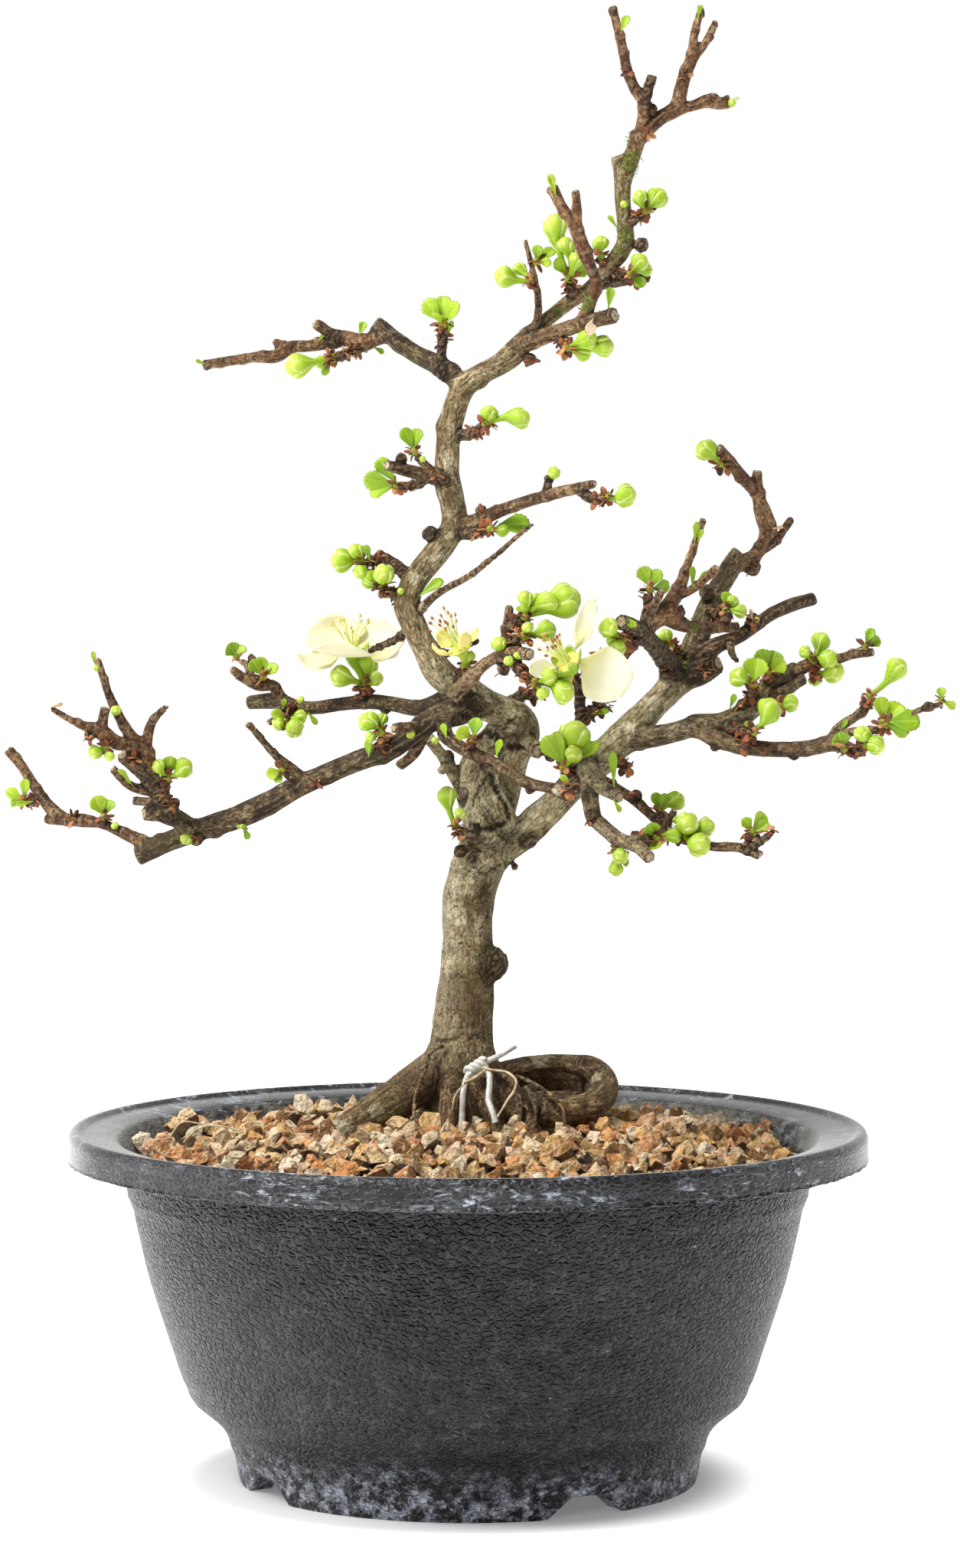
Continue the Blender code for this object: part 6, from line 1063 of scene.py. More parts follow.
# How deep a hollow is, in mm, where its painted shade is at its darkest, and how often its depth is evened
# out
DEEP_CREVICE = 0.045
CREVICE_ROUNDS = 3


def mark_of(name, table, otherwise):
    """The value in a table whose keys are the starts of limbs' names."""
    return next((value for start, value in table.items() if name.startswith(start)), otherwise)


class Limb:
    """One limb: its smooth centre line, the frame that follows it, and how its bark looks."""

    def __init__(self, name, route, cut=True):
        self.line = flowing(in_space(route), LIMB_STEP)
        self.line[:, 3] = np.maximum(self.line[:, 3], TWIG_LEAST)
        spans = np.diff(self.line[:, :3], axis=0)
        lengths = np.linalg.norm(spans, axis=1)
        self.along = np.concatenate(([0.0], np.cumsum(lengths)))
        self.cut = cut
        sides = []
        side = square_to(unit(spans[0]))[0]
        for direction in unit(spans):
            side = unit(side - direction * side.dot(direction))
            sides.append((side, np.cross(direction, side)))
        self.sides = np.array(sides)
        slants = random.Random(name)
        tilt = np.array([slants.uniform(-CUT_SLANT, CUT_SLANT) for _ in range(3)])
        tilt[1] -= CUT_TURN
        self.end = unit(unit(spans[-1]) + tilt)
        is_spur = "spur" in name or "knot" in name
        self.young = mark_of(name, YOUNG_SHOOTS, None)
        self.dark = mark_of(name, DARK_LIMBS, DARK_SPUR if is_spur else 0.0)
        self.pale = mark_of(name, PALE_LIMBS, 0.0)

    def near(self, points):
        """The points near the limb: which they are, how far outside it they lie, and their marks."""
        gap = np.full(len(points), FAR)
        marks = np.zeros((len(points), MARK_COUNT))
        segments = len(self.line) - 1
        for first in range(0, segments, CHUNK):
            last = min(first + CHUNK, segments)
            rows = self.line[first:last + 1]
            reach = rows[:, 3].max() + PULL
            low = rows[:, :3].min(0) - reach
            high = rows[:, :3].max(0) + reach
            inside = np.flatnonzero(((points > low) & (points < high)).all(1))
            if not len(inside):
                continue
            chosen = points[inside]
            span = np.diff(rows, axis=0)
            offset = chosen[:, None, :] - rows[None, :-1, :3]
            t = (offset * span[:, :3]).sum(2) / (span[:, :3] ** 2).sum(1)
            held = np.clip(t, 0, 1)
            if self.cut and last == segments:
                t[:, -1] = np.maximum(t[:, -1], 0)
            else:
                t[:, -1] = held[:, -1]
            t[:, :-1] = held[:, :-1]
            size = rows[None, :-1, 3] + span[:, 3] * held
            radial = offset - span[:, :3] * t[:, :, None]
            away = np.linalg.norm(radial, axis=2)
            distance = away - size
            best = distance.argmin(1)
            row = np.arange(len(inside))
            own = distance[row, best]
            closer = own < gap[inside]
            row, best, which = row[closer], best[closer], inside[closer]
            gap[which] = own[closer]
            outward = radial[row, best] / np.maximum(away[row, best], 1e-6)[:, None]
            marks[which, OUT] = outward
            step = first + best
            stretch = np.diff(self.along)[step]
            marks[which, ALONG] = self.along[step] + stretch * t[row, best]
            marks[which, 4:6] = (radial[row, best][:, None, :] * self.sides[step]).sum(2)
            marks[which, RING] = away[row, best] / size[row, best]
            marks[which, SIZE] = size[row, best]
        near = np.flatnonzero(gap < FAR)
        gap = gap[near]
        marks = marks[near]
        size = marks[:, SIZE]
        by_size = THIN_YOUTH * (1 - smooth_step(size, THIN, THICK))
        marks[:, YOUNG] = by_size if self.young is None else self.young
        marks[:, (DARK, PALE)] = self.dark, self.pale
        if self.cut:
            past = (points[near] - self.line[-1, :3]) @ self.end
            soft = 0.25 * size
            h = np.maximum(soft - np.abs(gap - past), 0) / soft
            share = np.where(past > gap, 1 - h / 2, h / 2)
            gap = np.maximum(gap, past) + h * h * soft / 4
            marks[:, OUT] = unit(marks[:, OUT] * (1 - share)[:, None] + self.end * share[:, None])
            marks[:, CUT] = share
        return near, gap, marks


def wood_at(limbs, points):
    """How far outside the wood each point lies, with the marks of the wood nearest to it. Where limbs
    meet they flow together."""
    distance = np.full(len(points), FAR)
    marks = np.zeros((len(points), MARK_COUNT))
    for limb in limbs:
        near, gap, own = limb.near(points)
        soft = np.clip(BLEND * own[:, SIZE], LEAST_BLEND, MOST_BLEND)
        before = distance[near]
        h = np.maximum(soft - np.abs(before - gap), 0) / soft
        share = np.where(gap < before, 1 - h / 2, h / 2)[:, None]
        distance[near] = np.minimum(before, gap) - h * h * soft / 4
        marks[near] = marks[near] * (1 - share) + own * share
    return distance, marks


def all_limbs():
    """Every limb and root, each with its grain following on from the one that it grows out of."""
    limbs = []
    for name, route in {**LIMBS, **THIN_SPURS, **ROOTS}.items():
        limb = Limb(name, route)
        _, marks = wood_at(limbs, limb.line[:1, :3])
        limb.along += marks[0, ALONG]
        limbs.append(limb)
    for i, (x, z, depth, radius) in enumerate(KNOTS):
        limbs.append(Limb(f"knot_{i}", [(x, z, depth, radius), (x + 0.2, z + 0.2, depth, radius)], cut=False))
    return limbs


def coarse_skin(limbs):
    """The limbs as one closed skin of small even faces."""
    rods = Piece()
    for limb in limbs:
        line = limb.line.copy()
        line[:, 3] = np.maximum(line[:, 3], COARSE_LEAST)
        if not limb.cut:
            line = ball(line[0, :3], line[0, 3], 7, 0.12)
        rods.add(*rod(line, 8))
    coarse = link_object("wood_coarse", mesh_of("wood_coarse", np.vstack(rods.points), rods.faces))
    remesh = coarse.modifiers.new("skin", "REMESH")
    remesh.mode = "VOXEL"
    remesh.voxel_size = WOOD_VOXEL * MM
    skin = worked_out(coarse)
    bpy.data.objects.remove(coarse)
    return skin


def vectors_of(items, name):
    numbers = np.empty(len(items) * 3, np.float32)
    items.foreach_get(name, numbers)
    return numbers.reshape(-1, 3)


def evened(points, edges, share):
    """The points, each moved a share of the way to the middle of its neighbours."""
    total = np.zeros_like(points)
    count = np.bincount(edges.ravel(), minlength=len(points))
    for axis in range(3):
        total[:, axis] = np.bincount(edges[:, 0], points[edges[:, 1], axis], len(points))
        total[:, axis] += np.bincount(edges[:, 1], points[edges[:, 0], axis], len(points))
    return points + (total / np.maximum(count, 1)[:, None] - points) * share


def bud_scars(along, turn, apart, width, seed):
    """Bumps set apart along the limbs, each on its own side: 1 at the middle of one, 0 away from it.
    A sine of each bump's number gives it its own chance place and side."""
    place = along / apart
    which = np.floor(place)
    rank = np.modf(np.abs(np.sin(which * 12.9898 + seed) * 43758.5453))[0]
    other = np.modf(np.abs(np.sin(which * 78.233 + seed) * 12543.321))[0]
    middle = which + 0.3 + 0.4 * rank
    past = (place - middle) * apart / width
    round_it = np.cos(turn - 2 * math.pi * other) - 1
    return np.exp(-past**2 + 1.9 * round_it)


# How far a crease reaches to each side, in mm
CREASE_WIDTH = 0.65
# The torn collar scar round the trunk: its height in mm, its tilt, and how far right it goes in mm
COLLAR_HEIGHT = 88.2
COLLAR_TILT = 0.12
COLLAR_END = 2.5


def creased(points):
    """How deep the creases press in at each point, in mm."""
    appears = as_seen(points)
    depth = np.zeros(len(points))
    for route, deepest in CREASES:
        rows = flowing(np.array([(x, 0.0, z) for x, z in route]), 0.4)[:, (0, 2)]
        for i, (x, z) in enumerate(rows):
            middle = on_wood(points, appears, x, z)
            away = np.linalg.norm(points - middle, axis=1)
            fade = min(1.0, 0.35 + i / 4, 0.35 + (len(rows) - 1 - i) / 4)
            depth = np.maximum(depth, deepest * fade * np.exp(-(away / CREASE_WIDTH) ** 2))
    return depth


def bark_relief(points, marks):
    """How far the bark stands out at each point, in mm. It also marks where the bud scars are."""
    along, grain_a, grain_b = marks[:, GRAIN].T
    young, dark, cut = marks[:, (YOUNG, DARK, CUT)].T
    size = np.clip(marks[:, SIZE], 0.5, 7)
    bark = 1 - cut
    turn = np.arctan2(grain_b, grain_a)
    lumps = noise_at(points, 4.2) * 0.06 * size + noise_at(points, 9.5) * 0.045 * size
    fibres = np.column_stack((along * 0.16, grain_a, grain_b))
    wrinkles = noise_at(fibres, 0.85) * 0.1 * (1 - 0.5 * young)
    rings = np.modf(along / 2.9 + 0.35 * noise_at(np.column_stack((along, size, young)), 6.0))[0]
    rings = np.exp(-((np.abs(rings) - 0.5) / 0.09) ** 2) * 0.05 * young
    small = bud_scars(along, turn, 4.4, 0.75, 1.7) * np.maximum(young, dark * 0.8)
    large = bud_scars(along, turn, 12.5, 1.3, 4.1) * smooth_step(size, 1.2, 2.2) * smooth_step(size, 5.5, 4.0)
    marks[:, SCAR] = np.maximum(small, large)
    crust = (np.abs(noise_at(points, 1.3)) * 0.75 + noise_at(points, 0.8) * 0.22) * dark
    scar_height = points[:, 2] - COLLAR_HEIGHT - COLLAR_TILT * points[:, 0] - 0.5 * noise_at(points, 3.0)
    on_trunk = (size > 3.2) & (points[:, 0] < COLLAR_END)
    scar = -0.3 * np.exp(-(scar_height / 0.55) ** 2) + 0.25 * np.exp(-((scar_height - 1.3) / 0.8) ** 2)
    scar *= np.clip(0.4 + 1.6 * noise_at(points, 2.4), 0, 1)
    relief = lumps + wrinkles + rings + 0.42 * small + 0.5 * large + crust + scar * on_trunk
    return relief * bark + 0.03 * cut * noise_at(points, 0.9)


def make_wood():
    """The whole tree's wood: a fine skin drawn onto the limbs' blended surface, with bark relief."""
    limbs = all_limbs()
    skin = coarse_skin(limbs)
    points = vectors_of(skin.vertices, "co").astype(float) / MM
    edges = np.empty(len(skin.edges) * 2, np.int32)
    skin.edges.foreach_get("vertices", edges)
    edges = edges.reshape(-1, 2)
    faces = [tuple(polygon.vertices) for polygon in skin.polygons]
    for _ in range(SKIN_ROUNDS):
        points = evened(points, edges, 0.5)
        for _ in range(2):
            distance, marks = wood_at(limbs, points)
            points = points - marks[:, OUT] * np.clip(distance, -SKIN_STRIDE, SKIN_STRIDE)[:, None]
    _, marks = wood_at(limbs, points)
    # The creases press the skin in, and their depth also sets painted shade along them in the bark
    pressed = creased(points)
    points = points + marks[:, OUT] * (bark_relief(points, marks) - pressed)[:, None]
    values = dict(zip(SINGLE_MARKS, marks[:, 6:].T))
    values["pressed"] = pressed
    # How far each point lies in a hollow or on a ridge: painted shade in hollows, a painted highlight on
    # ridges
    crevice = ((evened(points, edges, 1.0) - points) * marks[:, OUT]).sum(1) / DEEP_CREVICE
    wide = np.column_stack((crevice, crevice, crevice))
    for _ in range(CREVICE_ROUNDS):
        wide = evened(wide, edges, 0.6)
    deep = np.maximum(wide[:, 0], 0)
    values["crevice"] = np.clip(1.2 * (crevice - wide[:, 0]) + 2.5 * deep, -1, 1)
    values["grain"] = marks[:, GRAIN] * MM
    return points, faces, values


# A patch is whole out to this share of its radius, and has faded out at the second. A place on the wood
# is looked for this far around in mm.
PATCH_CORE = 0.35
PATCH_EDGE = 1.25
NEAR_ENOUGH = 0.7


def patches_on(points, patches):
    """How far the points lie in any of the patches, 0 to 1."""
    appears = as_seen(points)
    amount = np.zeros(len(points))
    for x, z, radius in patches:
        middle = on_wood(points, appears, x, z)
        away = np.linalg.norm(points - middle, axis=1)
        amount = np.maximum(amount, 1 - smooth_step(away, PATCH_CORE * radius, PATCH_EDGE * radius))
    return amount


def on_wood(points, appears, x, z):
    """The point of the wood that shows at (x, z) from the front, or the one that shows nearest."""
    away = np.hypot(appears[:, 0] - x, appears[:, 1] - z)
    close = np.flatnonzero(away < NEAR_ENOUGH)
    if len(close):
        return points[close[points[close, 1].argmin()]]
    return points[away.argmin()]


# A bud's globe from its neck to its tip in degrees, its sepals and their outline across, and how far
# they stand out as a share of the bud's radius
GLOBE_FROM = -50
GLOBE_TO = 80
SEPALS = 5
SEPAL_COLUMNS = np.array([-1, -0.95, -0.6, -0.2, 0.2, 0.6, 0.95, 1])
SEPAL_ROWS = 9
SEPAL_STAND = 0.2


def add_bud(piece, base, centre, radius, rng, tone):
    """A swelling bud: a neck that flares to a globe, clasped by sepals with pale margins."""
    along = unit(centre - base)
    reach = np.linalg.norm(centre - base)
    side, across = square_to(along)
    neck = min(0.55, 0.45 * radius)
    start = reach - 0.77 * radius
    low = min(0.0, start - 0.3 * radius)
    flare = np.linspace(0, 1, 6)
    heights = list(low + (start - low) * flare)
    widths = list(neck + (0.64 * radius - neck) * flare**3.6)
    for angle in np.radians(np.linspace(GLOBE_FROM, GLOBE_TO, 9)[1:]):
        heights.append(reach + radius * math.sin(angle) * (1.06 if angle > 0 else 1.0))
        widths.append(radius * math.cos(angle))
    heights = np.array(heights)
    widths = np.array(widths)
    bow = rng.uniform(-0.12, 0.12, 2) * reach

    def surface(height, width, turn):
        t = (height - low) / (reach - low)
        sway = np.sin(np.clip(t, 0, 1) * math.pi)
        middle = base + along * height + (side * bow[0] + across * bow[1]) * sway
        return middle + (side * math.cos(turn) + across * math.sin(turn)) * width

    sides = 16
    points = []
    levels = []
    for height, width in zip(heights, widths):
        for k in range(sides):
            points.append(surface(height, width, 2 * math.pi * k / sides))
            levels.append(np.clip((height - low) / (reach + radius - low), 0, 1))
    piece.add(points, filled_rings(len(heights), sides), bud=1, rise=levels, tone=tone, fresh=1)
    first = rng.uniform(0, 2 * math.pi)
    for k in range(SEPALS):
        top_angle = math.radians(rng.uniform(38, 72))
        top = reach + radius * math.sin(top_angle)
        foot = start * 0.7 + low * 0.3
        middle_turn = first + 2 * math.pi * k / SEPALS + rng.uniform(-0.12, 0.12)
        half = rng.uniform(0.62, 0.78)
        stand = SEPAL_STAND * radius * rng.uniform(0.8, 1.25)
        rows = []
        edge = []
        rise = []
        for t in np.linspace(0, 1, SEPAL_ROWS):
            height = foot + (top - foot) * t
            width = np.interp(height, heights, widths)
            taper = math.sqrt(max(0.0, 1 - max(0.0, (t - 0.5) / 0.5) ** 2.2))
            for s in SEPAL_COLUMNS:
                border = max(abs(s) ** 8, t**14 if t > 0.97 else 0.0)
                proud = stand * (1 - border) * min(1.0, t * 4) - 0.03 * radius * border
                turn = middle_turn + s * half * max(taper, 0.02)
                rows.append(surface(height, width + proud, turn))
                edge.append(max(abs(s) ** 3, t**6))
                rise.append(np.clip((height - low) / (reach + radius - low), 0, 1))
        faces = grid(SEPAL_ROWS, len(SEPAL_COLUMNS))
        piece.add(rows, faced_out(np.array(rows), faces, base + along * reach), bud=1, rise=rise,
            edge=edge, tone=tone + rng.uniform(-0.12, 0.12), fresh=1)


# A leaf: its stalk as a share of its length, the share of its rows at which the fan starts, rows and
# columns, thickness in mm, and how much wider it spreads than its row says
LEAF_STALK = 0.2
FAN_FROM = 0.2
LEAF_ROWS = 10
LEAF_COLUMNS = 17
LEAF_THICKNESS = 0.2
LEAF_SPREAD = 1.45
# A blade at least this half width is a club-shaped bud
CLUB_FROM = 1.85
# How deep the scallops of a leaf's edge are, as a share of its reach
SCALLOPS = 0.035


def add_leaf(piece, base, tip, half_width, facing, rng, tone, fresh=1.0):
    """A young fan-shaped leaf on a short stalk, with a scalloped edge, folded and curled a little."""
    along, length, across, normal = blade_axes(base, tip, facing)
    stalk = LEAF_STALK * length
    fan = length - 0.8 * stalk
    half_angle = math.asin(min(0.93, half_width / (0.8 * fan)))
    fold = rng.uniform(0.1, 0.45)
    curl = rng.uniform(-0.3, 0.22)
    wave = rng.uniform(0, 2 * math.pi)
    turn = rng.uniform(-0.35, 0.35)

    def place(t, s):
        in_fan = max(0.0, (t - FAN_FROM) / (1 - FAN_FROM))
        start = stalk * min(1.0, t / FAN_FROM) * 0.8
        edge = 1 - 0.28 * abs(s) ** 2.2
        edge *= 1 + SCALLOPS * in_fan**3 * math.cos(LEAF_COLUMNS / 2 * math.pi * (s + 1))
        reach = in_fan * fan * edge
        angle = s * half_angle
        x = 0.09 * half_width * s + reach * math.sin(angle)
        u = start + reach * math.cos(angle)
        lift = fold * abs(x) + curl * length * (u / length) ** 2
        lift += 0.07 * half_width * math.sin(4.5 * s + wave) * in_fan**2 + turn * x * (u / length)
        return base + along * u + across * x + normal * lift, (s, in_fan)

    lengthwise = np.linspace(0, 1, LEAF_ROWS) ** 0.85
    crosswise = np.linspace(-1, 1, LEAF_COLUMNS)
    thickness = min(LEAF_THICKNESS, 0.3 * half_width)
    points, faces, marks = sheet(lengthwise, crosswise, place, thickness)
    piece.add(points, faces, across=marks[0], along=marks[1], tone=tone, fresh=fresh)


# A petal: the points along and across its sheet, its thickness in mm, and how deeply it is cupped
PETAL_ROWS = 15
PETAL_THICKNESS = 0.13
PETAL_CUP = 0.22


def add_petal(piece, foot, tip, half_width, axis, rng, yellow):
    """A round petal on a narrow claw, cupped along and across, with a soft wavy edge."""
    along, length, across, normal = blade_axes(foot, tip, axis)
    claw = 0.16 * length
    wave = rng.uniform(0, 2 * math.pi)

    def place(t, s):
        disc_x = s * math.sqrt(1 - t * t / 2)
        disc_y = t * math.sqrt(1 - s * s / 2)
        share = (disc_y + 1) / 2
        broad = 0.26 + 0.86 * smooth_step(share, 0.0, 0.42)
        u = claw * 0.4 + (length - claw * 0.4) * share
        x = half_width * disc_x * broad
        rim = max(0.0, math.hypot(disc_x, disc_y) - 0.55) / 0.45
        lift = PETAL_CUP * length * (4 * share * (share - 1)) + 0.5 * PETAL_CUP * x * x / max(half_width, 0.1)
        lift += 0.05 * length * math.sin(3.1 * s + 2.3 * t + wave) * rim
        lift += 0.022 * length * math.sin(9 * s + 5 * t + 2 * wave) * rim * share
        return foot + along * u + across * x + normal * lift, (share, disc_x)

    even = np.linspace(-1, 1, PETAL_ROWS)
    points, faces, marks = sheet(even, even, place, PETAL_THICKNESS)
    piece.add(points, faces, along=marks[0], across=marks[1], tone=yellow)


def ball(centre, radius, rows, open_turn):
    """The level rings of a ball, as rows of (x, y, z, radius)."""
    turns = np.linspace(open_turn, math.pi - open_turn, rows)
    line = np.tile(np.append(centre, 0.0), (rows, 1))
    line[:, 2] -= radius * np.cos(turns)
    line[:, 3] = radius * np.sin(turns)
    return line


def add_ball(piece, centre, radius, **values):
    piece.add(*rod_of_rings(ball(centre, radius, 8, 0.1), 12), **values)


def level_ring(radius, sides):
    turns = 2 * math.pi * np.arange(sides) / sides
    return radius * np.column_stack((np.cos(turns), np.sin(turns), 0 * turns))


def rod_of_rings(line, sides):
    """A closed stack of level rings, for rows of (x, y, z, radius)."""
    rings = [row[:3] + level_ring(row[3], sides) for row in line]
    return np.vstack(rings), filled_rings(len(line), sides)


def leaf_facing(rng, base, tip):
    """Most young leaves turn a face to the front, each with its own slant."""
    facing = unit(np.array((rng.uniform(-0.6, 0.6), -1.0, rng.uniform(-0.3, 0.7))))
    return np.array((0.0, 0.0, 1.0)) if abs(unit(tip - base).dot(facing)) > 0.9 else facing


# A bloom's green cup, in mm: radius at its rim and waist, depth, how far its rim lies below the
# centre, and its stalk's radius. Then the sepals: length, half width and thickness.
CUP_RIM = 2.0
CUP_WAIST = 1.5
CUP_DEPTH = 1.2
CUP_BELOW = 1.0
STALK_RADIUS = 0.65
CUP_SEPAL = 2.6
CUP_SEPAL_HALF = 1.15
SEPAL_THICKNESS = 0.22


def bloom_axis(flower):
    centre = seen(*flower["centre"])
    return centre, unit(seen(*flower["towards"]) - centre)


def add_cup(piece, flower, foot, rng):
    """The green cup below a bloom, with its sepals round the rim."""
    centre, axis = bloom_axis(flower)
    size = flower.get("cup_size", 1.0)
    light = flower.get("cup_light", 0.35)
    rim = centre - axis * CUP_BELOW
    waist = rim - axis * CUP_DEPTH
    knots = [(*foot, STALK_RADIUS), (*((foot + waist) / 2), STALK_RADIUS * 1.05),
        (*waist, CUP_WAIST * size), (*rim, CUP_RIM * size)]
    line = flowing(np.array(knots), 0.35)
    piece.add(*rod(line, 14), bud=1, rise=light, tone=0.5, fresh=1)
    side, across = square_to(axis)
    for k in range(SEPALS):
        turn = 2 * math.pi * k / SEPALS + rng.uniform(-0.1, 0.1)
        outward = side * math.cos(turn) + across * math.sin(turn)
        root = rim + outward * (CUP_RIM * size * 0.86) - axis * 0.3
        tip = root + unit(outward * rng.uniform(0.6, 1.0) + axis) * CUP_SEPAL * size
        add_cup_sepal(piece, root, tip, -outward, rng, CUP_SEPAL_HALF * size, max(0.55, light))


def add_cup_sepal(piece, root, tip, facing, rng, half, light):
    """One free sepal on the rim of a bloom's cup."""
    along, length, across, normal = blade_axes(root, tip, facing)

    def place(t, s):
        width = half * math.sqrt(max(0.03, 1 - t**2.4)) * (0.8 + 0.3 * t)
        lift = 0.12 * length * math.sin(t * math.pi) - 0.18 * width * s * s
        return root + along * length * t + across * width * s - normal * lift, (max(abs(s) ** 3, t**6),)

    points, faces, marks = sheet(np.linspace(0, 1, 8), np.linspace(-1, 1, 7), place, SEPAL_THICKNESS)
    piece.add(points, faces, bud=1, rise=light, edge=marks[0], tone=rng.uniform(0.3, 0.7), fresh=1)


def make_spray(name, heads, material, rng):
    """One spray of buds and young leaves, on its green feet."""
    piece = Piece("bud", "rise", "edge", "across", "along", "tone", "fresh")
    for foot, buds, leaves in heads:
        base, foot_radius = place_of(foot)
        add_ball(piece, base, foot_radius, bud=1, rise=0.1, tone=0.4, fresh=0.8)
        for x, z, depth, radius in buds:
            add_bud(piece, base, seen(x, z, depth), seen_size(radius, depth), rng, rng.uniform(0, 1))
        for x, z, depth, half_width in leaves:
            tip = seen(x, z, depth)
            if half_width >= CLUB_FROM:
                centre = tip + unit(base - tip) * half_width
                add_bud(piece, base, centre, half_width, rng, rng.uniform(0, 1))
                continue
            facing = leaf_facing(rng, base, tip)
            width = seen_size(half_width, depth) * LEAF_SPREAD
            add_leaf(piece, base, tip, width, facing, rng, rng.uniform(0, 1))
    for flower in FLOWERS.values():
        if flower["spray"] == name:
            add_cup(piece, flower, place_of(heads[0][0])[0], rng)
    mount(piece.make(f"spray_{name}_grown", material), "young_green", "spray_" + name)


# The blooms, in mm: where petals spring from the axis, how far up, the ring that holds them with its
# (height, radius) from below, the foot of the stamens, a filament's radius, and an anther's swelling
# as (distance past the thread, share of its size). Stamens follow each other at the golden angle.
PETAL_SPRING = 2.2
PETAL_RISE = -0.4
RING_RADIUS = 2.6
RING_PROFILE = ((-0.9, 1.9), (-0.8, RING_RADIUS), (-0.45, RING_RADIUS), (-0.2, 2.1), (-0.15, 1.2))
STAMEN_FOOT = 1.0
FILAMENT_RADIUS = 0.1
ANTHER_PROFILE = ((0.12, 0.75), (0.32, 1.0), (0.62, 0.9), (0.85, 0.4))
GOLDEN_TURN = 2.399963


def make_petals(name, flower, material, rng, spread, yellow, facing=None):
    centre, axis = bloom_axis(flower)
    piece = Piece("along", "across", "tone")
    ring = np.array([[*(centre + axis * height), width] for height, width in RING_PROFILE])
    piece.add(*rod(ring, 20), tone=0.5)
    for x, z, depth, half_width in flower["petals"]:
        tip = seen(x, z, depth)
        outward = tip - centre
        square = unit(outward - axis * outward.dot(axis))
        foot = centre + square * PETAL_SPRING * 0.8 + axis * PETAL_RISE
        width = seen_size(half_width, depth) * spread
        add_petal(piece, foot, tip, width, axis if facing is None else facing, rng, yellow)
    petals = piece.make(name + "_petals_grown", material)
    mount(petals, "petal", name + "_petals")


def make_stamens(recipe, name, flower, material, rng, count, lean, extra_anthers, ripe):
    """A tuft of threads that each end in an anther; tone is 0 for thread, up to 1 for a ripe anther."""
    centre, axis = bloom_axis(flower)
    reach = np.linalg.norm(seen(*flower["towards"]) - centre)
    side, across = square_to(axis)
    tips = []
    for k in range(count):
        turn = k * GOLDEN_TURN
        outward = side * math.cos(turn) + across * math.sin(turn)
        spread = lean * math.sqrt((k + 0.5) / count)
        tips.append(centre + unit(axis + outward * spread) * reach * rng.uniform(0.5, 1.02))
    tips += [seen(x, z, flower["centre"][2] + rng.uniform(-3, 2)) for x, z in extra_anthers]
    paths = []
    for tip in tips:
        outward = unit(tip - centre - axis * (tip - centre).dot(axis))
        root = centre + outward * STAMEN_FOOT * rng.uniform(0.2, 0.9) - axis * 0.5
        middle = (root + tip) / 2 + axis * 0.12 * reach
        line = flowing(np.array([(*root, FILAMENT_RADIUS), (*middle, FILAMENT_RADIUS),
            (*tip, FILAMENT_RADIUS * 0.9)]), 0.7)
        heading = unit(line[-1, :3] - line[-2, :3])
        swell = rng.uniform(0.22, 0.34)
        anther = [(*(tip + heading * lift), swell * width) for lift, width in ANTHER_PROFILE]
        tone = np.concatenate((np.zeros(len(line)), np.full(len(anther), ripe * rng.uniform(0.6, 1.0))))
        paths.append((np.vstack((line, anther)), tone))
    foot = [(*(centre + axis * lift), width) for lift, width in ((-0.9, 1.0), (-0.2, 1.0), (0.4, 0.7))]
    paths.append((np.array(foot), np.zeros(3)))
    piece = make_strands(recipe, name + "_stamens_grown", paths, 6, material)
    mount(piece, "stamen", name + "_stamens")


def scale_shapes():
    """Papery bud scales: three small curved, pointed flakes, one mm long."""
    shapes = []
    rng = np.random.default_rng(SEED + 5)
    for bend in (-1, 0, 1):

        def place(t, s):
            width = 0.42 * math.sqrt(max(0.02, math.sin(math.pi * (0.18 + 0.8 * t))))
            lift = 0.25 * t * t + 0.2 * s * s * width + rng.uniform(-0.04, 0.04)
            return (width * s, lift * bend * 0.8, t), (t,)

        shapes.append(sheet(np.linspace(0, 1, 5), np.linspace(-1, 1, 4), place, 0.09)[:2])
    return shapes_of("scale", shapes, smooth=True)


def clump_balls(places):
    """Small balls to strew scales over, each of (point, radius)."""
    piece = Piece("cover")
    for middle, radius in places:
        add_ball(piece, middle, radius, cover=1)
    return piece.make("scale_clumps", bpy.data.materials.new("unseen"))


def grain_shapes():
    """Angular grains of grit, 1 mm in radius."""
    kept = bpy.data.collections.new("grains")
    rng = np.random.default_rng(SEED + 9)
    for k in range(9):
        directions = unit(rng.normal(size=(17, 3)))
        points = directions * rng.uniform(0.82, 1.06, (17, 1)) * (1.12, 0.94, 0.76)
        bm = bmesh.new()
        for point in points * MM:
            bm.verts.new(point)
        bmesh.ops.convex_hull(bm, input=bm.verts)
        bmesh.ops.delete(bm, geom=[vert for vert in bm.verts if not vert.link_faces])
        mesh = bpy.data.meshes.new(f"grain_{k}")
        bm.to_mesh(mesh)
        bm.free()
        kept.objects.link(bpy.data.objects.new(f"grain_{k}", mesh))
    return kept


def moss_shapes():
    """Blades of moss, 1 mm long."""
    shapes = []
    for bow in (-0.35, 0.1, 0.45):
        line = np.array([(0, 0, -0.1, 0.11), (bow * 0.15, 0, 0.45, 0.09), (bow, 0, 1.0, 0.02)])
        shapes.append(rod(line, 3))
    return shapes_of("blade", shapes)


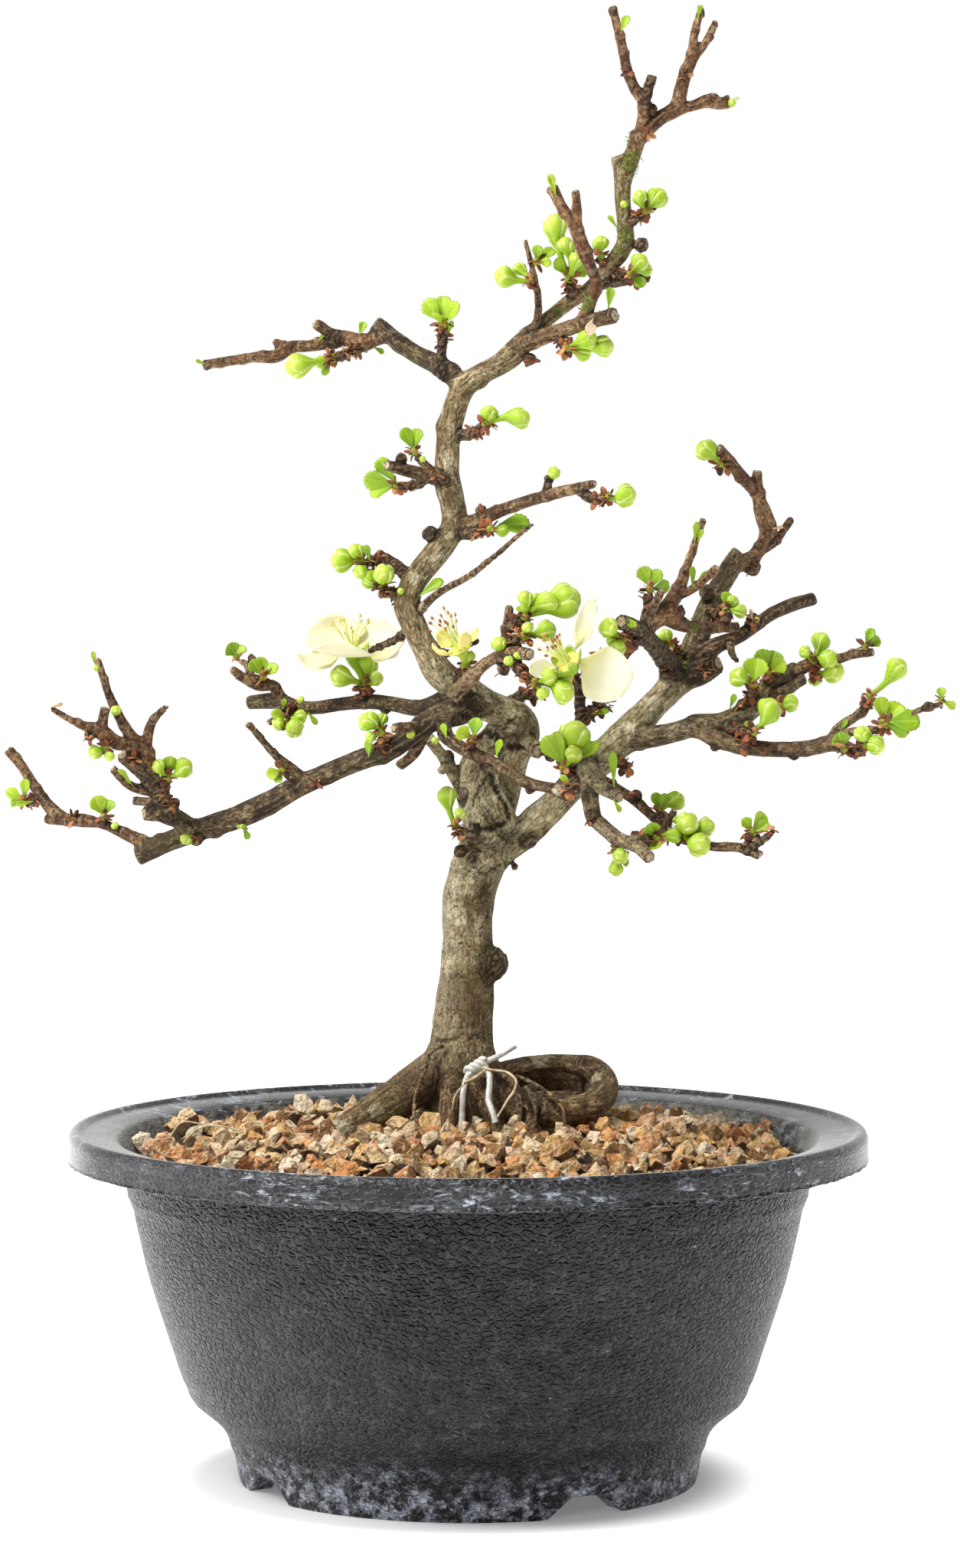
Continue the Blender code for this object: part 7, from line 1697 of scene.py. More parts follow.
# The pot's wall, as (radius, height) in mm: up the outside from the foot, over the rim, down inside.
# Then its notches, the floor's drain holes and the lip.
POT_OUTSIDE = [(41, 0), (45.9, 0), (46.3, 1.5), (46.7, 4.1), (47.1, 5.7), (47.8, 7.2), (48.2, 8.7),
    (48.9, 10.3), (50, 11.8), (51.5, 13.3), (53.5, 14.9), (55.3, 16.4), (56.2, 17.9), (56.7, 19.4),
    (57.5, 21), (58.3, 23.3), (59, 25.6), (60, 28.6), (61, 31.7), (62, 34.7), (63, 37.8), (63.9, 40.8),
    (64.7, 43.9), (65.4, 47), (66.1, 50.1), (66.6, 52.4), (67, 54.7), (68.2, 57.7), (68.5, 61),
    (68.8, 64), (69.2, 66.2), (70.4, 66.8), (74, 66.9), (77.3, 66.9), (77.9, 66.3), (78.1, 65),
    (78.5, 64.55), (79.6, 64.5), (80.1, 64.7), (80.15, 65.2), (80.0, 66.2), (80.0, 68.2), (79.95, 69.4),
    (79.6, 70.2), (79.0, 70.7), (78.4, 70.8), (77.8, 70.6), (77.3, 70.1), (76.5, 69.85), (75.6, 69.75),
    (74.8, 69.7), (73, 69.4), (70.8, 69.0), (70.0, 68.6), (69.5, 67.6), (68.2, 65.2), (66.4, 62),
    (64.6, 54), (62, 42), (58, 29.5), (54, 19.4), (50.4, 14.6), (47.4, 10.8), (43, 8), (30, 8), (16, 8),
    (6, 8), (6, 6.5), (6, 5), (16, 5), (30, 5), (40.4, 5), (41, 4.4), (41, 2)]
POT_SEGMENTS = 320
NOTCH_TURNS = (-60, 30, 120, 210)
NOTCH_TOP = 4.0
NOTCH_HALF_TOP = 3.5
NOTCH_SLOPE = 5.0
FOOT_FROM = 40
FOOT_TOP = 5.0
DRAIN_CIRCLE = 26
DRAIN_RADIUS = 5
DRAIN_TURNS = (15, 105, 195, 285)
DRAIN_CUT = (3.0, 10.0)
LIP_FROM = 77
LIP_TOP = 65.4
LIP_RAGGED = 0.35
INSIDE_FROM = 53


def make_pot(material):
    """The pot: a turned wall with a notched foot and drain holes, and a lip with a slightly ragged edge."""
    points = []
    for radius, height in POT_OUTSIDE:
        ring = level_ring(radius, POT_SEGMENTS) + (0, 0, height)
        if radius > FOOT_FROM and height < FOOT_TOP:
            for turn in np.radians(NOTCH_TURNS):
                beside = ring[:, 0] * -math.sin(turn) + ring[:, 1] * math.cos(turn)
                ahead = ring[:, 0] * math.cos(turn) + ring[:, 1] * math.sin(turn) > 0
                cut = NOTCH_TOP * (1 - np.clip((np.abs(beside) - NOTCH_HALF_TOP) / NOTCH_SLOPE, 0, 1))
                ring[:, 2] += cut * (1 - height / FOOT_TOP) * ahead
        if radius > LIP_FROM and height < LIP_TOP:
            ring[:, 2] += np.clip(noise_at(ring, 2.2) * LIP_RAGGED, -0.4, 0.1)
        points.append(ring)
    rows = len(POT_OUTSIDE)
    faces = grid(rows, POT_SEGMENTS, wrap=True)
    last = (rows - 1) * POT_SEGMENTS
    for k in range(POT_SEGMENTS):
        n = (k + 1) % POT_SEGMENTS
        faces.append((last + k, last + n, n, k))
    piece = Piece("inside")
    inside = np.repeat([1.0 if i >= INSIDE_FROM else 0.0 for i in range(rows)], POT_SEGMENTS)
    piece.add(np.vstack(points), faces, inside=inside)
    pot = piece.make("pot_moulded", material)
    for turn in np.radians(DRAIN_TURNS):
        cut_hole(pot, (DRAIN_CIRCLE * math.cos(turn), DRAIN_CIRCLE * math.sin(turn)))
    pot.data.set_sharp_from_angle(angle=math.radians(40))
    mount(pot, "pot_plastic", "pot")


def cut_hole(pot, middle):
    line = np.array([(*middle, height, DRAIN_RADIUS) for height in DRAIN_CUT])
    points, faces = rod_of_rings(line, 40)
    cutter = link_object("hole", mesh_of("hole", points, faces))
    cut = pot.modifiers.new("hole", "BOOLEAN")
    cut.operation = "DIFFERENCE"
    cut.solver = "EXACT"
    cut.object = cutter
    pot.data = worked_out(pot)
    pot.modifiers.clear()
    pot.data.shade_smooth()
    bpy.data.objects.remove(cutter)


# The grit's body inside the wall, as (radius, height) in mm, its mound, how far below that the bed of
# the grains lies, and the layers of grains on its top: (gap between grains, least and most radius, lift)
GRIT_SIDE = [(0.01, 8.2), (20, 8.2), (42.6, 8.2), (46.6, 11.2), (53.0, 19.6), (61.0, 42), (65.2, 60),
    (66.4, 64.5)]
GRIT_FOOT = 66.2
GRIT_RISE = 4.8
GRIT_SLOPE = 1.6
GRIT_RADIUS = 68.3
BED_BELOW = 1.6
GRIT_RINGS = 34
GRIT_SEGMENTS = 120
GRAIN_LAYERS = ((3.7, 1.8, 2.9, -0.7), (4.5, 1.8, 3.1, 0.5), (6.6, 1.7, 3.3, 1.7), (3.4, 0.6, 1.4, 0.5))
GRAIN_EDGE = 65.2
# Heaps and hollows of grit: (x, y, height, spread) in mm
GRIT_HEAPS = [(-57.0, 4.0, 6.0, 4.0), (-33.0, 12.0, 3.5, 5.0), (-45.0, -8.0, -1.6, 6.0),
    (41.0, 2.0, 3.0, 5.0), (22.0, -34.0, 1.6, 9.0), (-14.0, -42.0, 1.4, 8.0), (52.0, -18.0, -1.4, 8.0)]


def grit_height(radius):
    return GRIT_FOOT + GRIT_RISE * min(1.0, GRIT_SLOPE * (1 - radius / GRIT_RADIUS)) - BED_BELOW


def make_grit(recipe, shaded_bed_paint, grain_paint):
    """The bed that the grains lie on, and the grains."""
    points = []
    covers = []
    profile = [(radius, height, 0.0) for radius, height in GRIT_SIDE]
    for radius in np.linspace(66.4, 0.01, GRIT_RINGS):
        profile.append((radius, grit_height(radius), 1.0 if radius < GRAIN_EDGE else 0.0))
    for radius, height, cover in profile:
        ring = level_ring(radius, GRIT_SEGMENTS) + (0, 0, height)
        if cover:
            ring[:, 2] += 1.0 * noise_at(ring, 11.0) + 0.6 * noise_at(ring, 5.0)
            for x, y, heap, spread in GRIT_HEAPS:
                away = np.hypot(ring[:, 0] - x, ring[:, 1] - y) / spread
                ring[:, 2] += heap * np.exp(-away**2)
        points.append(ring)
        covers.append(np.full(GRIT_SEGMENTS, cover))
    piece = Piece("cover")
    piece.add(np.vstack(points), grid(len(profile), GRIT_SEGMENTS, wrap=True), cover=np.concatenate(covers))
    bed = piece.make("grit_bed", shaded_bed_paint)
    shapes = grain_shapes()
    for i, (gap, least, most, lift) in enumerate(GRAIN_LAYERS):
        given = {"Shapes": shapes, "Material": grain_paint, "Gap": gap * MM, "Density": 400000.0}
        given.update({"Least": least, "Most": most, "Tumble": 3.1, "Lift": lift * MM, "Mask": "cover"})
        grains = recipe.run(f"grit_grains_{i}", bed, {**given, "Seed": SEED + i})
        keep_in_box(grains)
        mount(grains, "grit", "grit")
    mount(bed, "grit", "grit")


def keep_in_box(piece):
    points = vectors_of(piece.data.vertices, "co")
    inside = np.clip(points, BOX_LOW * MM, BOX_HIGH * MM).astype(np.float32)
    piece.data.vertices.foreach_set("co", inside.ravel())


# The twist of the tie wire: turns, length and radius in mm, and the radius of each of its strands
COIL_TURNS = 1.9
COIL_LENGTH = 4.4
COIL_RADIUS = 0.82
COIL_STRAND = 0.56


def make_wire(recipe, material):
    """The tie wire: two legs, a twist of two strands, and a tail."""
    start, then = in_space(WIRE_TAIL)[:2, :3]
    along = unit(then - start)
    side, across = square_to(along)
    t = np.linspace(0, 1, 40)
    paths = [(drawn(WIRE_LEFT_LEG), 0.3), (drawn(WIRE_RIGHT_LEG), 0.5), (drawn(WIRE_TAIL), 0.6)]
    for phase in (0.0, math.pi):
        turn = COIL_TURNS * 2 * math.pi * t + phase
        coil = start - along * 0.9 + np.outer(COIL_LENGTH * t, along)
        coil = coil + COIL_RADIUS * (np.outer(np.cos(turn), side) + np.outer(np.sin(turn), across))
        paths.append((np.column_stack((coil, np.full(len(t), COIL_STRAND))), 0.7))
    wire = make_strands(recipe, "tie_wire_drawn", paths, 14, material)
    mount(wire, "tie_wire", "tie_wire")


# How much the bark's dark tones deepen, and how much of its red, green and blue is kept
BARK_DEPTH = 1.15
BARK_WARMTH = (1.04, 0.98, 0.87)


def bark_paint():
    """Grey-brown bark with silvery lengthwise streaks: pale and olive on the trunk, red-brown on young
    shoots, crusty and dark on spurs, with pale cut ends and a little moss. Light and shade are painted in
    too: the thick wood lighter on its left side and darker on its lower right side, shade in shaded patches,
    creases and hollows, and a highlight on ridges."""
    paint = Paint("bark")
    grain = paint.value("grain", "Vector")
    young, dark, cut, ring, size, scar, pale_limb, moss = [
        paint.value(name) for name in (*SINGLE_MARKS, "moss")]
    fibres = paint.stretched(grain, 0.3, 1, 1)
    net = paint.cloud(0.6, paint.stretched(grain, 0.5, 1, 1), 5, swirl=1.8)
    thick = paint.step(size, 2.4, 4.4)
    fine = paint.cloud(0.42, fibres, 4, swirl=0.8) * (1 - thick) + net * thick
    coarse = paint.cloud(1.4, paint.stretched(grain, 0.45, 1, 1), 5, swirl=0.6)
    mottle = paint.cloud(8, detail=5, rough=0.62)
    patch = paint.cloud(2.0, detail=6, rough=0.68)
    grit = paint.cloud(0.5, detail=3)
    height = paint.height("Z")
    old = paint.ramp(mottle * 0.35 + coarse * 0.35 + patch * 0.3, [(0.38, 30, 19, 11),
        (0.46, 60, 43, 27), (0.54, 98, 78, 54), (0.64, 178, 160, 128)])
    trunk = paint.ramp(mottle * 0.35 + patch * 0.35 + coarse * 0.3, [(0.36, 80, 60, 36),
        (0.44, 128, 108, 74), (0.52, 174, 158, 122), (0.6, 236, 228, 204)])
    cracks = paint.cells(1.5, paint.jumbled(paint.stretched(grain, 0.55, 1, 1), 1.1, 0.5), "DISTANCE_TO_EDGE")
    cracks = paint.step(cracks, 0.1, 0.01) * paint.step(patch, 0.4, 0.56) * (1 - young)
    paint.colour = paint.mix(pale_limb, old, trunk)
    # Painted light: the thick wood's left side lighter, where the light falls
    painted_lit_side = paint.step(paint.height("X") + mottle * 5, 3.5, -3.5) * thick
    paint.over(painted_lit_side * 0.62, (212, 208, 190))
    # Painted shade: the lower part of the thick wood darker brown on its right side
    painted_shade_side = paint.step(paint.height("X") + patch * 3, 2.5, 8.5) * thick * paint.step(height, 125, 118)
    paint.over(painted_shade_side * 0.65, (86, 62, 34))
    shoot = paint.ramp(coarse * 0.4 + mottle * 0.3 + patch * 0.3, [(0.38, 70, 42, 27),
        (0.47, 112, 76, 49), (0.55, 148, 109, 74), (0.64, 196, 162, 122)])
    paint.over(young, shoot)
    lichen = paint.step(paint.value("lichen") * 0.5 + patch * 0.6 + coarse * 0.4, 0.84, 1.02)
    forked = paint.step(height + mottle * 8, 118, 128) * paint.step(height + mottle * 12, 176, 164)
    forked = forked * pale_limb * paint.step(patch, 0.36, 0.56)
    paint.over(forked * 0.5, (214, 214, 184))
    crust = paint.ramp(patch, [(0.35, 34, 25, 19), (0.52, 72, 52, 39), (0.7, 126, 90, 62)])
    paint.over(dark * 0.85, crust)
    soil = paint.ramp(patch * 0.6 + coarse * 0.4, [(0.38, 48, 30, 18), (0.46, 96, 69, 44),
        (0.54, 156, 122, 84), (0.64, 234, 210, 170)])
    low = paint.step(height + patch * 5 + mottle * 4, 94, 83)
    paint.over(low * 0.8, soil)
    warm = paint.step(height + mottle * 12, 122, 98) * thick
    paint.over(warm * 0.42, (118, 92, 50))
    paint.over(lichen * 0.7, (232, 226, 202))
    algae = paint.step(paint.cloud(12, detail=4), 0.5, 0.66) * (1 - young) * (1 - dark)
    paint.over(algae * 0.4, (116, 114, 62))
    silver = paint.step(fine, 0.53, 0.63) * paint.step(mottle, 0.38, 0.56) * (1 - dark * 0.7)
    paint.over(silver * (0.34 + 0.2 * pale_limb), (212, 202, 172))
    grooves = paint.step(fine, 0.49, 0.39)
    paint.over(grooves * (0.64 - 0.2 * young), (42, 28, 16))
    paint.over(cracks * 0.55, (52, 38, 24))
    # Painted shade in the shaded patches
    shade = paint.value("shade") * paint.step(patch * 0.5 + coarse * 0.5, 0.62, 0.42)
    # Painted shade along the creases between strands
    pressed = paint.step(paint.value("pressed") + patch * 0.4, 0.3, 0.8)
    paint.over(shade * 0.8, (58, 46, 24))
    paint.over(pressed * 0.75, (50, 38, 20))
    flecks = paint.step(paint.cells(1.1), 0.22, 0.1) * paint.step(paint.cloud(4), 0.48, 0.6)
    paint.over(flecks * 0.45, (186, 168, 140))
    pits = paint.step(paint.cells(2.6, paint.stretched(grain, 1.7, 0.7, 0.7)), 0.17, 0.1) * thick
    paint.over(pits * 0.7, (44, 35, 26))
    knobs = paint.step(scar + patch * 0.4, 0.6, 0.95)
    paint.over(knobs * 0.7, crust)
    # Painted shade in the hollows and a painted highlight on the ridges
    crevice = paint.value("crevice")
    paint.over(paint.step(crevice, 0.1, 0.9) * 0.7, (40, 29, 18))
    paint.over(paint.step(crevice, -0.1, -0.7) * 0.22, (206, 196, 168))
    deepened = paint.node("ShaderNodeGamma", {"Color": paint.colour, "Gamma": BARK_DEPTH})
    paint.colour = paint.stretched(deepened, *BARK_WARMTH)
    green = paint.ramp(paint.cloud(0.8, detail=4), [(0.3, 66, 70, 30), (0.55, 112, 116, 48),
        (0.8, 168, 172, 92)])
    mossy = paint.step(moss + patch * 0.9 - 0.45, 0.3, 0.6)
    paint.over(mossy * 0.85, green)
    pale = paint.ramp(paint.cloud(0.5, detail=3), [(0.35, 168, 142, 108), (0.7, 216, 198, 166)])
    rim = paint.step(ring, 0.6, 0.78)
    pith = paint.step(ring, 0.28, 0.12)
    face = paint.mix(rim, pale, (70, 52, 40))
    face = paint.mix(pith, face, (84, 60, 44))
    paint.over(paint.step(cut, 0.5, 0.8) * (1 - dark * 0.6), face)
    rough = 0.8 - 0.16 * young * paint.step(fine, 0.4, 0.7) + 0.1 * mossy
    relief = paint.bump(fine * 1.1 + coarse - cracks * 0.4, 0.75)
    relief = paint.bump(patch * (0.7 + dark) + grit * 0.5, 0.65, relief)
    return paint.finish(rough, relief, Specular_IOR_Level=0.35)


def green_paint():
    """Buds, cups and leaves: bright yellow-green, with pale margins on sepals and veins on leaves, and buds
    lighter towards the top, partly a painted highlight.
    """
    paint = Paint("young green")
    bud, rise, edge, tone, fresh = [paint.value(n) for n in ("bud", "rise", "edge", "tone", "fresh")]
    across = paint.value("across")
    along = paint.value("along")
    cloud = paint.cloud(1.8, detail=3)
    fine = paint.cloud(0.4, detail=3)
    # Darker olive at a bud's neck and lighter towards its top: partly its own colour, partly a painted
    # highlight
    body = paint.ramp(rise * 0.8 + cloud * 0.2 + tone * 0.12, [(0.12, 124, 128, 26),
        (0.38, 132, 164, 18), (0.68, 144, 176, 24), (0.98, 174, 194, 62)])
    rust = paint.step(rise, 0.2, 0.02) * paint.step(cloud, 0.42, 0.6)
    body = paint.mix(rust * 0.85, body, (134, 76, 42))
    margin = paint.step(edge, 0.25, 0.8)
    body = paint.mix(margin * 0.6, body, (220, 232, 150))
    body = paint.mix(paint.step(edge, 0.84, 0.98) * 0.75, body, (84, 112, 18))
    body = paint.mix(paint.step(fine, 0.5, 0.7) * 0.14, body, (118, 150, 26))
    blade = paint.ramp(tone * 0.4 + cloud * 0.4 + along * 0.2, [(0.25, 108, 146, 18),
        (0.5, 138, 170, 20), (0.8, 166, 190, 42)])
    veins = paint.step((across * 4.5 * math.pi).sine().size(), 0.22, 0.0) * paint.step(along, 0.05, 0.3)
    midrib = paint.step(across.size(), 0.07, 0.02)
    blade = paint.mix(veins * 0.22 + midrib * 0.4, blade, (204, 222, 112))
    border = paint.step(along, 0.93, 1.0)
    blade = paint.mix(border * 0.4, blade, (86, 116, 36))
    dry = paint.ramp(cloud, [(0.35, 178, 120, 76), (0.6, 224, 202, 170)])
    blade = paint.mix(fresh, dry, blade)
    paint.colour = paint.mix(bud, blade, body)
    rough = 0.4 + 0.16 * cloud
    relief = paint.bump(veins * (1 - bud) * -0.6 + fine * 0.4 + cloud * 0.3, 0.1)
    fixed = {"Subsurface_Weight": 0.1, "Subsurface_Radius": (0.4, 0.8, 0.2), "Subsurface_Scale": 0.001}
    return paint.finish(rough, relief, Specular_IOR_Level=0.4, **fixed)


def petal_paint():
    """Creamy petals with faint rays from the claw; tone makes them yellower."""
    paint = Paint("petal")
    along = paint.value("along")
    across = paint.value("across")
    tone = paint.value("tone")
    cloud = paint.cloud(2.4, detail=4)
    paint.colour = paint.ramp(along * 0.8 + cloud * 0.25, [(0.08, 186, 192, 88), (0.3, 206, 202, 142),
        (0.65, 214, 210, 184), (0.95, 211, 206, 168)])
    ray_place = paint.node("ShaderNodeCombineXYZ", {0: across, 1: along})
    rays = paint.cloud(0.35, paint.stretched(ray_place, 4 * MM, 0.5 * MM, 1), 3)
    paint.over(paint.step(rays, 0.5, 0.72) * 0.25, (228, 222, 150))
    paint.over(tone * 0.65, (242, 216, 88))
    relief = paint.bump(rays * 0.6 + cloud * 0.4, 0.1)
    fixed = {"Subsurface_Weight": 0.25, "Subsurface_Radius": (1.0, 0.9, 0.5), "Subsurface_Scale": 0.0015}
    return paint.finish(0.5 + 0.15 * cloud, relief, Specular_IOR_Level=0.3, **fixed)


def stamen_paint():
    paint = Paint("stamen")
    tone = paint.value("tone")
    cloud = paint.cloud(0.5, detail=3)
    paint.colour = paint.ramp(tone, [(0.05, 214, 222, 116), (0.2, 224, 206, 96),
        (0.55, 198, 150, 62), (0.95, 134, 74, 34)])
    paint.over(paint.step(cloud, 0.5, 0.7) * 0.35, (120, 66, 32))
    relief = paint.bump(cloud, 0.1)
    return paint.finish(0.6 + 0.2 * cloud, relief)


def scale_paint():
    """Papery scales: rust to chestnut, with darker streaks."""
    paint = Paint("bud scale")
    tone = paint.value("tone")
    cloud = paint.cloud(0.7, detail=4)
    paint.colour = paint.ramp(tone * 0.6 + cloud * 0.4, [(0.2, 62, 34, 22), (0.4, 104, 54, 30),
        (0.6, 150, 84, 44), (0.85, 198, 146, 90)])
    streaks = paint.cloud(0.25, detail=3)
    paint.over(paint.step(streaks, 0.55, 0.7) * 0.4, (70, 40, 28))
    relief = paint.bump(streaks + cloud, 0.12)
    return paint.finish(0.6 + 0.25 * cloud, relief)


def moss_paint():
    paint = Paint("moss")
    tone = paint.value("tone")
    cloud = paint.cloud(1.2, detail=4)
    paint.colour = paint.ramp(tone * 0.6 + cloud * 0.4, [(0.2, 48, 58, 16), (0.5, 92, 108, 32),
        (0.8, 150, 158, 70)])
    return paint.finish(0.75 + 0.15 * cloud, paint.bump(cloud, 0.1))


def pot_paint():
    """Matte charcoal plastic with a leathery grain, dust, scuffs on the rim and lime at the foot, with
    painted glints in the grain and a painted reflection where the rim turns away from view.
    """
    paint = Paint("pot plastic")
    height = paint.height("Z")
    wide = paint.cloud(26, detail=4)
    middle = paint.cloud(5, detail=4, rough=0.6)
    creases = paint.cloud(1.5, paint.stretched(paint.place, 1.0, 1.0, 1.5), 2, swirl=1.3)
    pushed = paint.jumbled(paint.stretched(paint.place, 0.8, 0.8, 1.3), 2.2, 1.0)
    leather = paint.step(paint.cells(1.5, pushed, "DISTANCE_TO_EDGE"), 0.0, 0.22)
    pebbles = paint.cells(0.8, feature="SMOOTH_F1")
    fine = paint.cloud(0.4, detail=3)
    paint.colour = paint.ramp(wide * 0.5 + middle * 0.5, [(0.34, 6, 6, 6), (0.5, 11, 11, 10),
        (0.68, 32, 32, 31)])
    # Painted glints: lighter lines in the leather grain, standing in for its sheen
    painted_sheen = paint.step(leather, 0.7, 0.1) * paint.step(middle, 0.38, 0.6)
    paint.over(painted_sheen * 0.26, (98, 99, 102))
    upper = paint.step(height, 64.2, 65.4)
    paint.over(upper * 0.04, (84, 88, 95))
    # Painted reflection: the rim lighter where its surface turns away from view, as at grazing angles
    turned = paint.node("ShaderNodeLayerWeight", {"Blend": 0.4}, "Facing")
    paint.over(paint.step(turned, 0.5, 0.95) * upper * 0.9, (172, 171, 170))
    dust = paint.step(paint.cells(3.0), 0.09, 0.04) * paint.step(paint.cloud(11), 0.5, 0.6)
    paint.over(dust * 0.7, (168, 168, 164))
    smear = paint.step(paint.cloud(3.4, paint.stretched(paint.place, 0.6, 0.6, 1.4), 5, 0.7), 0.52, 0.74)
    paint.over(smear * 0.14, (126, 134, 148))
    scuffs = paint.cloud(2.2, paint.stretched(paint.place, 0.5, 0.5, 1.6), 6, rough=0.75, swirl=0.8)
    scuffs = paint.step(scuffs, 0.52, 0.66) * paint.step(wide, 0.4, 0.56)
    paint.over(scuffs * upper * 0.85, (184, 190, 202))
    crumbs = paint.step(paint.cloud(3.0, detail=6, rough=0.75), 0.44, 0.62)
    lime = paint.step(height + wide * 10, 18, 6) * crumbs
    paint.over(lime * 0.92, (190, 194, 208))
    inner = paint.step(paint.value("inside"), 0.4, 0.6)
    chalk = paint.step(paint.cloud(3.2, detail=6, rough=0.72), 0.4, 0.66)
    paint.over(inner * chalk * 0.6, (142, 140, 124))
    rough = 0.27 + 0.16 * middle + 0.12 * dust + 0.2 * inner
    lower = 1 - 0.85 * upper
    relief = paint.bump((leather * 0.9 + creases * 0.8 + pebbles * 0.4) * lower, 1.0)
    relief = paint.bump(fine * 0.8 + scuffs * 0.4 + dust * 0.5, 0.1, relief)
    return paint.finish(rough, relief, Specular_IOR_Level=0.36)


def grain_paint():
    """Grit: each grain has its own colour, from tan and cream to pink, ochre and grey, with painted shade
    where a grain faces down.
    """
    paint = Paint("grit grain")
    tone = paint.value("tone")
    cloud = paint.cloud(1.4, detail=5, rough=0.65)
    stops = [(0.0, 226, 174, 102), (0.14, 252, 234, 194), (0.26, 238, 172, 114),
        (0.38, 148, 92, 42), (0.5, 246, 206, 134), (0.62, 220, 140, 66),
        (0.74, 252, 238, 208), (0.86, 204, 162, 100), (1.0, 122, 74, 34)]
    paint.colour = paint.ramp(tone, stops)
    paint.over(paint.step(cloud, 0.5, 0.64) * 0.65, (252, 232, 196))
    paint.over(paint.step(cloud, 0.46, 0.34) * 0.6, (112, 74, 40))
    specks = paint.step(paint.cells(0.9), 0.24, 0.12)
    paint.over(specks * 0.6, (84, 56, 34))
    stain = paint.step(paint.cloud(7, detail=4), 0.55, 0.7)
    paint.over(stain * 0.4, (160, 98, 54))
    # Darker patches, more of them towards +x
    darker_rightward = paint.step(paint.cloud(12, detail=4) + paint.height("X") * 0.002, 0.6, 0.76)
    paint.over(darker_rightward * 0.32, (108, 74, 34))
    # Painted shade: grains darker where they face down
    normal = paint.node("ShaderNodeNewGeometry", output="Normal")
    level = paint.node("ShaderNodeSeparateXYZ", {0: normal}, "Z")
    paint.over(paint.step(level, 0.35, -0.35) * 0.8, (60, 32, 12))
    fine = paint.cloud(0.35, detail=4)
    chips = paint.cells(1.3, paint.jumbled(paint.place, 1.5, 0.5), "F1")
    return paint.finish(0.84 + 0.1 * fine, paint.bump(cloud * 0.9 + fine * 0.5 + chips, 1.1))


# The bed shows only in the gaps between the grains: its dark brown is painted shade there
def shaded_bed_paint():
    paint = Paint("grit bed")
    cloud = paint.cloud(2.2, detail=5, rough=0.7)
    paint.colour = paint.ramp(cloud, [(0.3, 16, 10, 5), (0.55, 40, 27, 15), (0.75, 84, 60, 36)])
    return paint.finish(0.9 + 0.05 * cloud, paint.bump(cloud, 0.9))


def wire_paint():
    """Dull aluminium with a chalky skin and fine drawn lines."""
    paint = Paint("tie wire")
    tone = paint.value("tone")
    cloud = paint.cloud(1.3, detail=5, rough=0.65)
    fine = paint.cloud(0.3, detail=3)
    paint.colour = paint.ramp(cloud * 0.8 + tone * 0.2, [(0.3, 146, 142, 132), (0.5, 200, 198, 190),
        (0.75, 232, 230, 222)])
    paint.over(paint.step(fine, 0.6, 0.72) * 0.5, (104, 94, 78))
    return paint.finish(0.42 + 0.25 * cloud, paint.bump(fine + cloud, 0.12), Metallic=0.2)


def straw_paint():
    paint = Paint("straw")
    cloud = paint.cloud(1.5, detail=4)
    fine = paint.cloud(0.25, detail=3)
    paint.colour = paint.ramp(cloud, [(0.3, 146, 122, 84), (0.55, 198, 180, 142), (0.8, 226, 212, 180)])
    paint.over(paint.step(fine, 0.55, 0.7) * 0.3, (116, 86, 50))
    return paint.finish(0.6 + 0.2 * cloud, paint.bump(fine, 0.1))


# The floor in m: from how near to how far it turns to its full glow and colour, so that it is darker
# near the pot as a painted contact shadow, how far the middle of that is moved aside, and half its width
NEAR_FLOOR = 0.049
FAR_FLOOR = 0.066
PAINTED_SHADOW_SHIFT = (0.004, 0.001, 0)
FLOOR_HALF = 4.0


def floor_paint():
    """A plain pale floor, bright enough to run into the white behind it, with a painted contact shadow round
    the pot's foot.
    """
    paint = Paint("floor")
    cloud = paint.cloud(900, detail=2)
    shifted = paint.node("ShaderNodeVectorMath", {0: paint.place, 1: PAINTED_SHADOW_SHIFT}, operation="ADD")
    away = paint.node("ShaderNodeVectorMath", {0: shifted}, "Value", operation="LENGTH")
    # Painted shadow: greyer and with little glow close to the pot's foot
    far = paint.step(away, NEAR_FLOOR, FAR_FLOOR)
    paint.colour = paint.mix(far, (0.6, 0.6, 0.6, 1), (0.93, 0.93, 0.93, 1))
    paint.over(cloud * 0.05, (0.5, 0.5, 0.5, 1))
    glow = paint.mix(far, (0.2, 0.2, 0.2, 1), (1, 1, 1, 1))
    relief = paint.bump(cloud, 0.01)
    return paint.finish(0.9, relief, Emission_Color=glow, Emission_Strength=FLOOR_GLOW)


# Light: how bright the white surround is to the eye, and to the scene in front of it and behind it,
# the floor's own glow, and the lamps as (place in m, size in m, power in W)
SURROUND_SEEN = 1.0
SURROUND_BEFORE = 0.13
SURROUND_BEHIND = 0.76
FLOOR_GLOW = 0.85
LAMPS = {
    "key": ((-0.55, -0.42, 1.15), 0.55, 23.0),
    "left edge": ((-1.1, 0.15, 0.4), 0.6, 6.0),
    "right edge": ((1.1, 0.3, 0.4), 0.6, 2.2),
    "front": ((-0.35, -1.3, 0.7), 0.6, 3.0),
}
LIT_POINT = Vector((0, 0, 0.15))


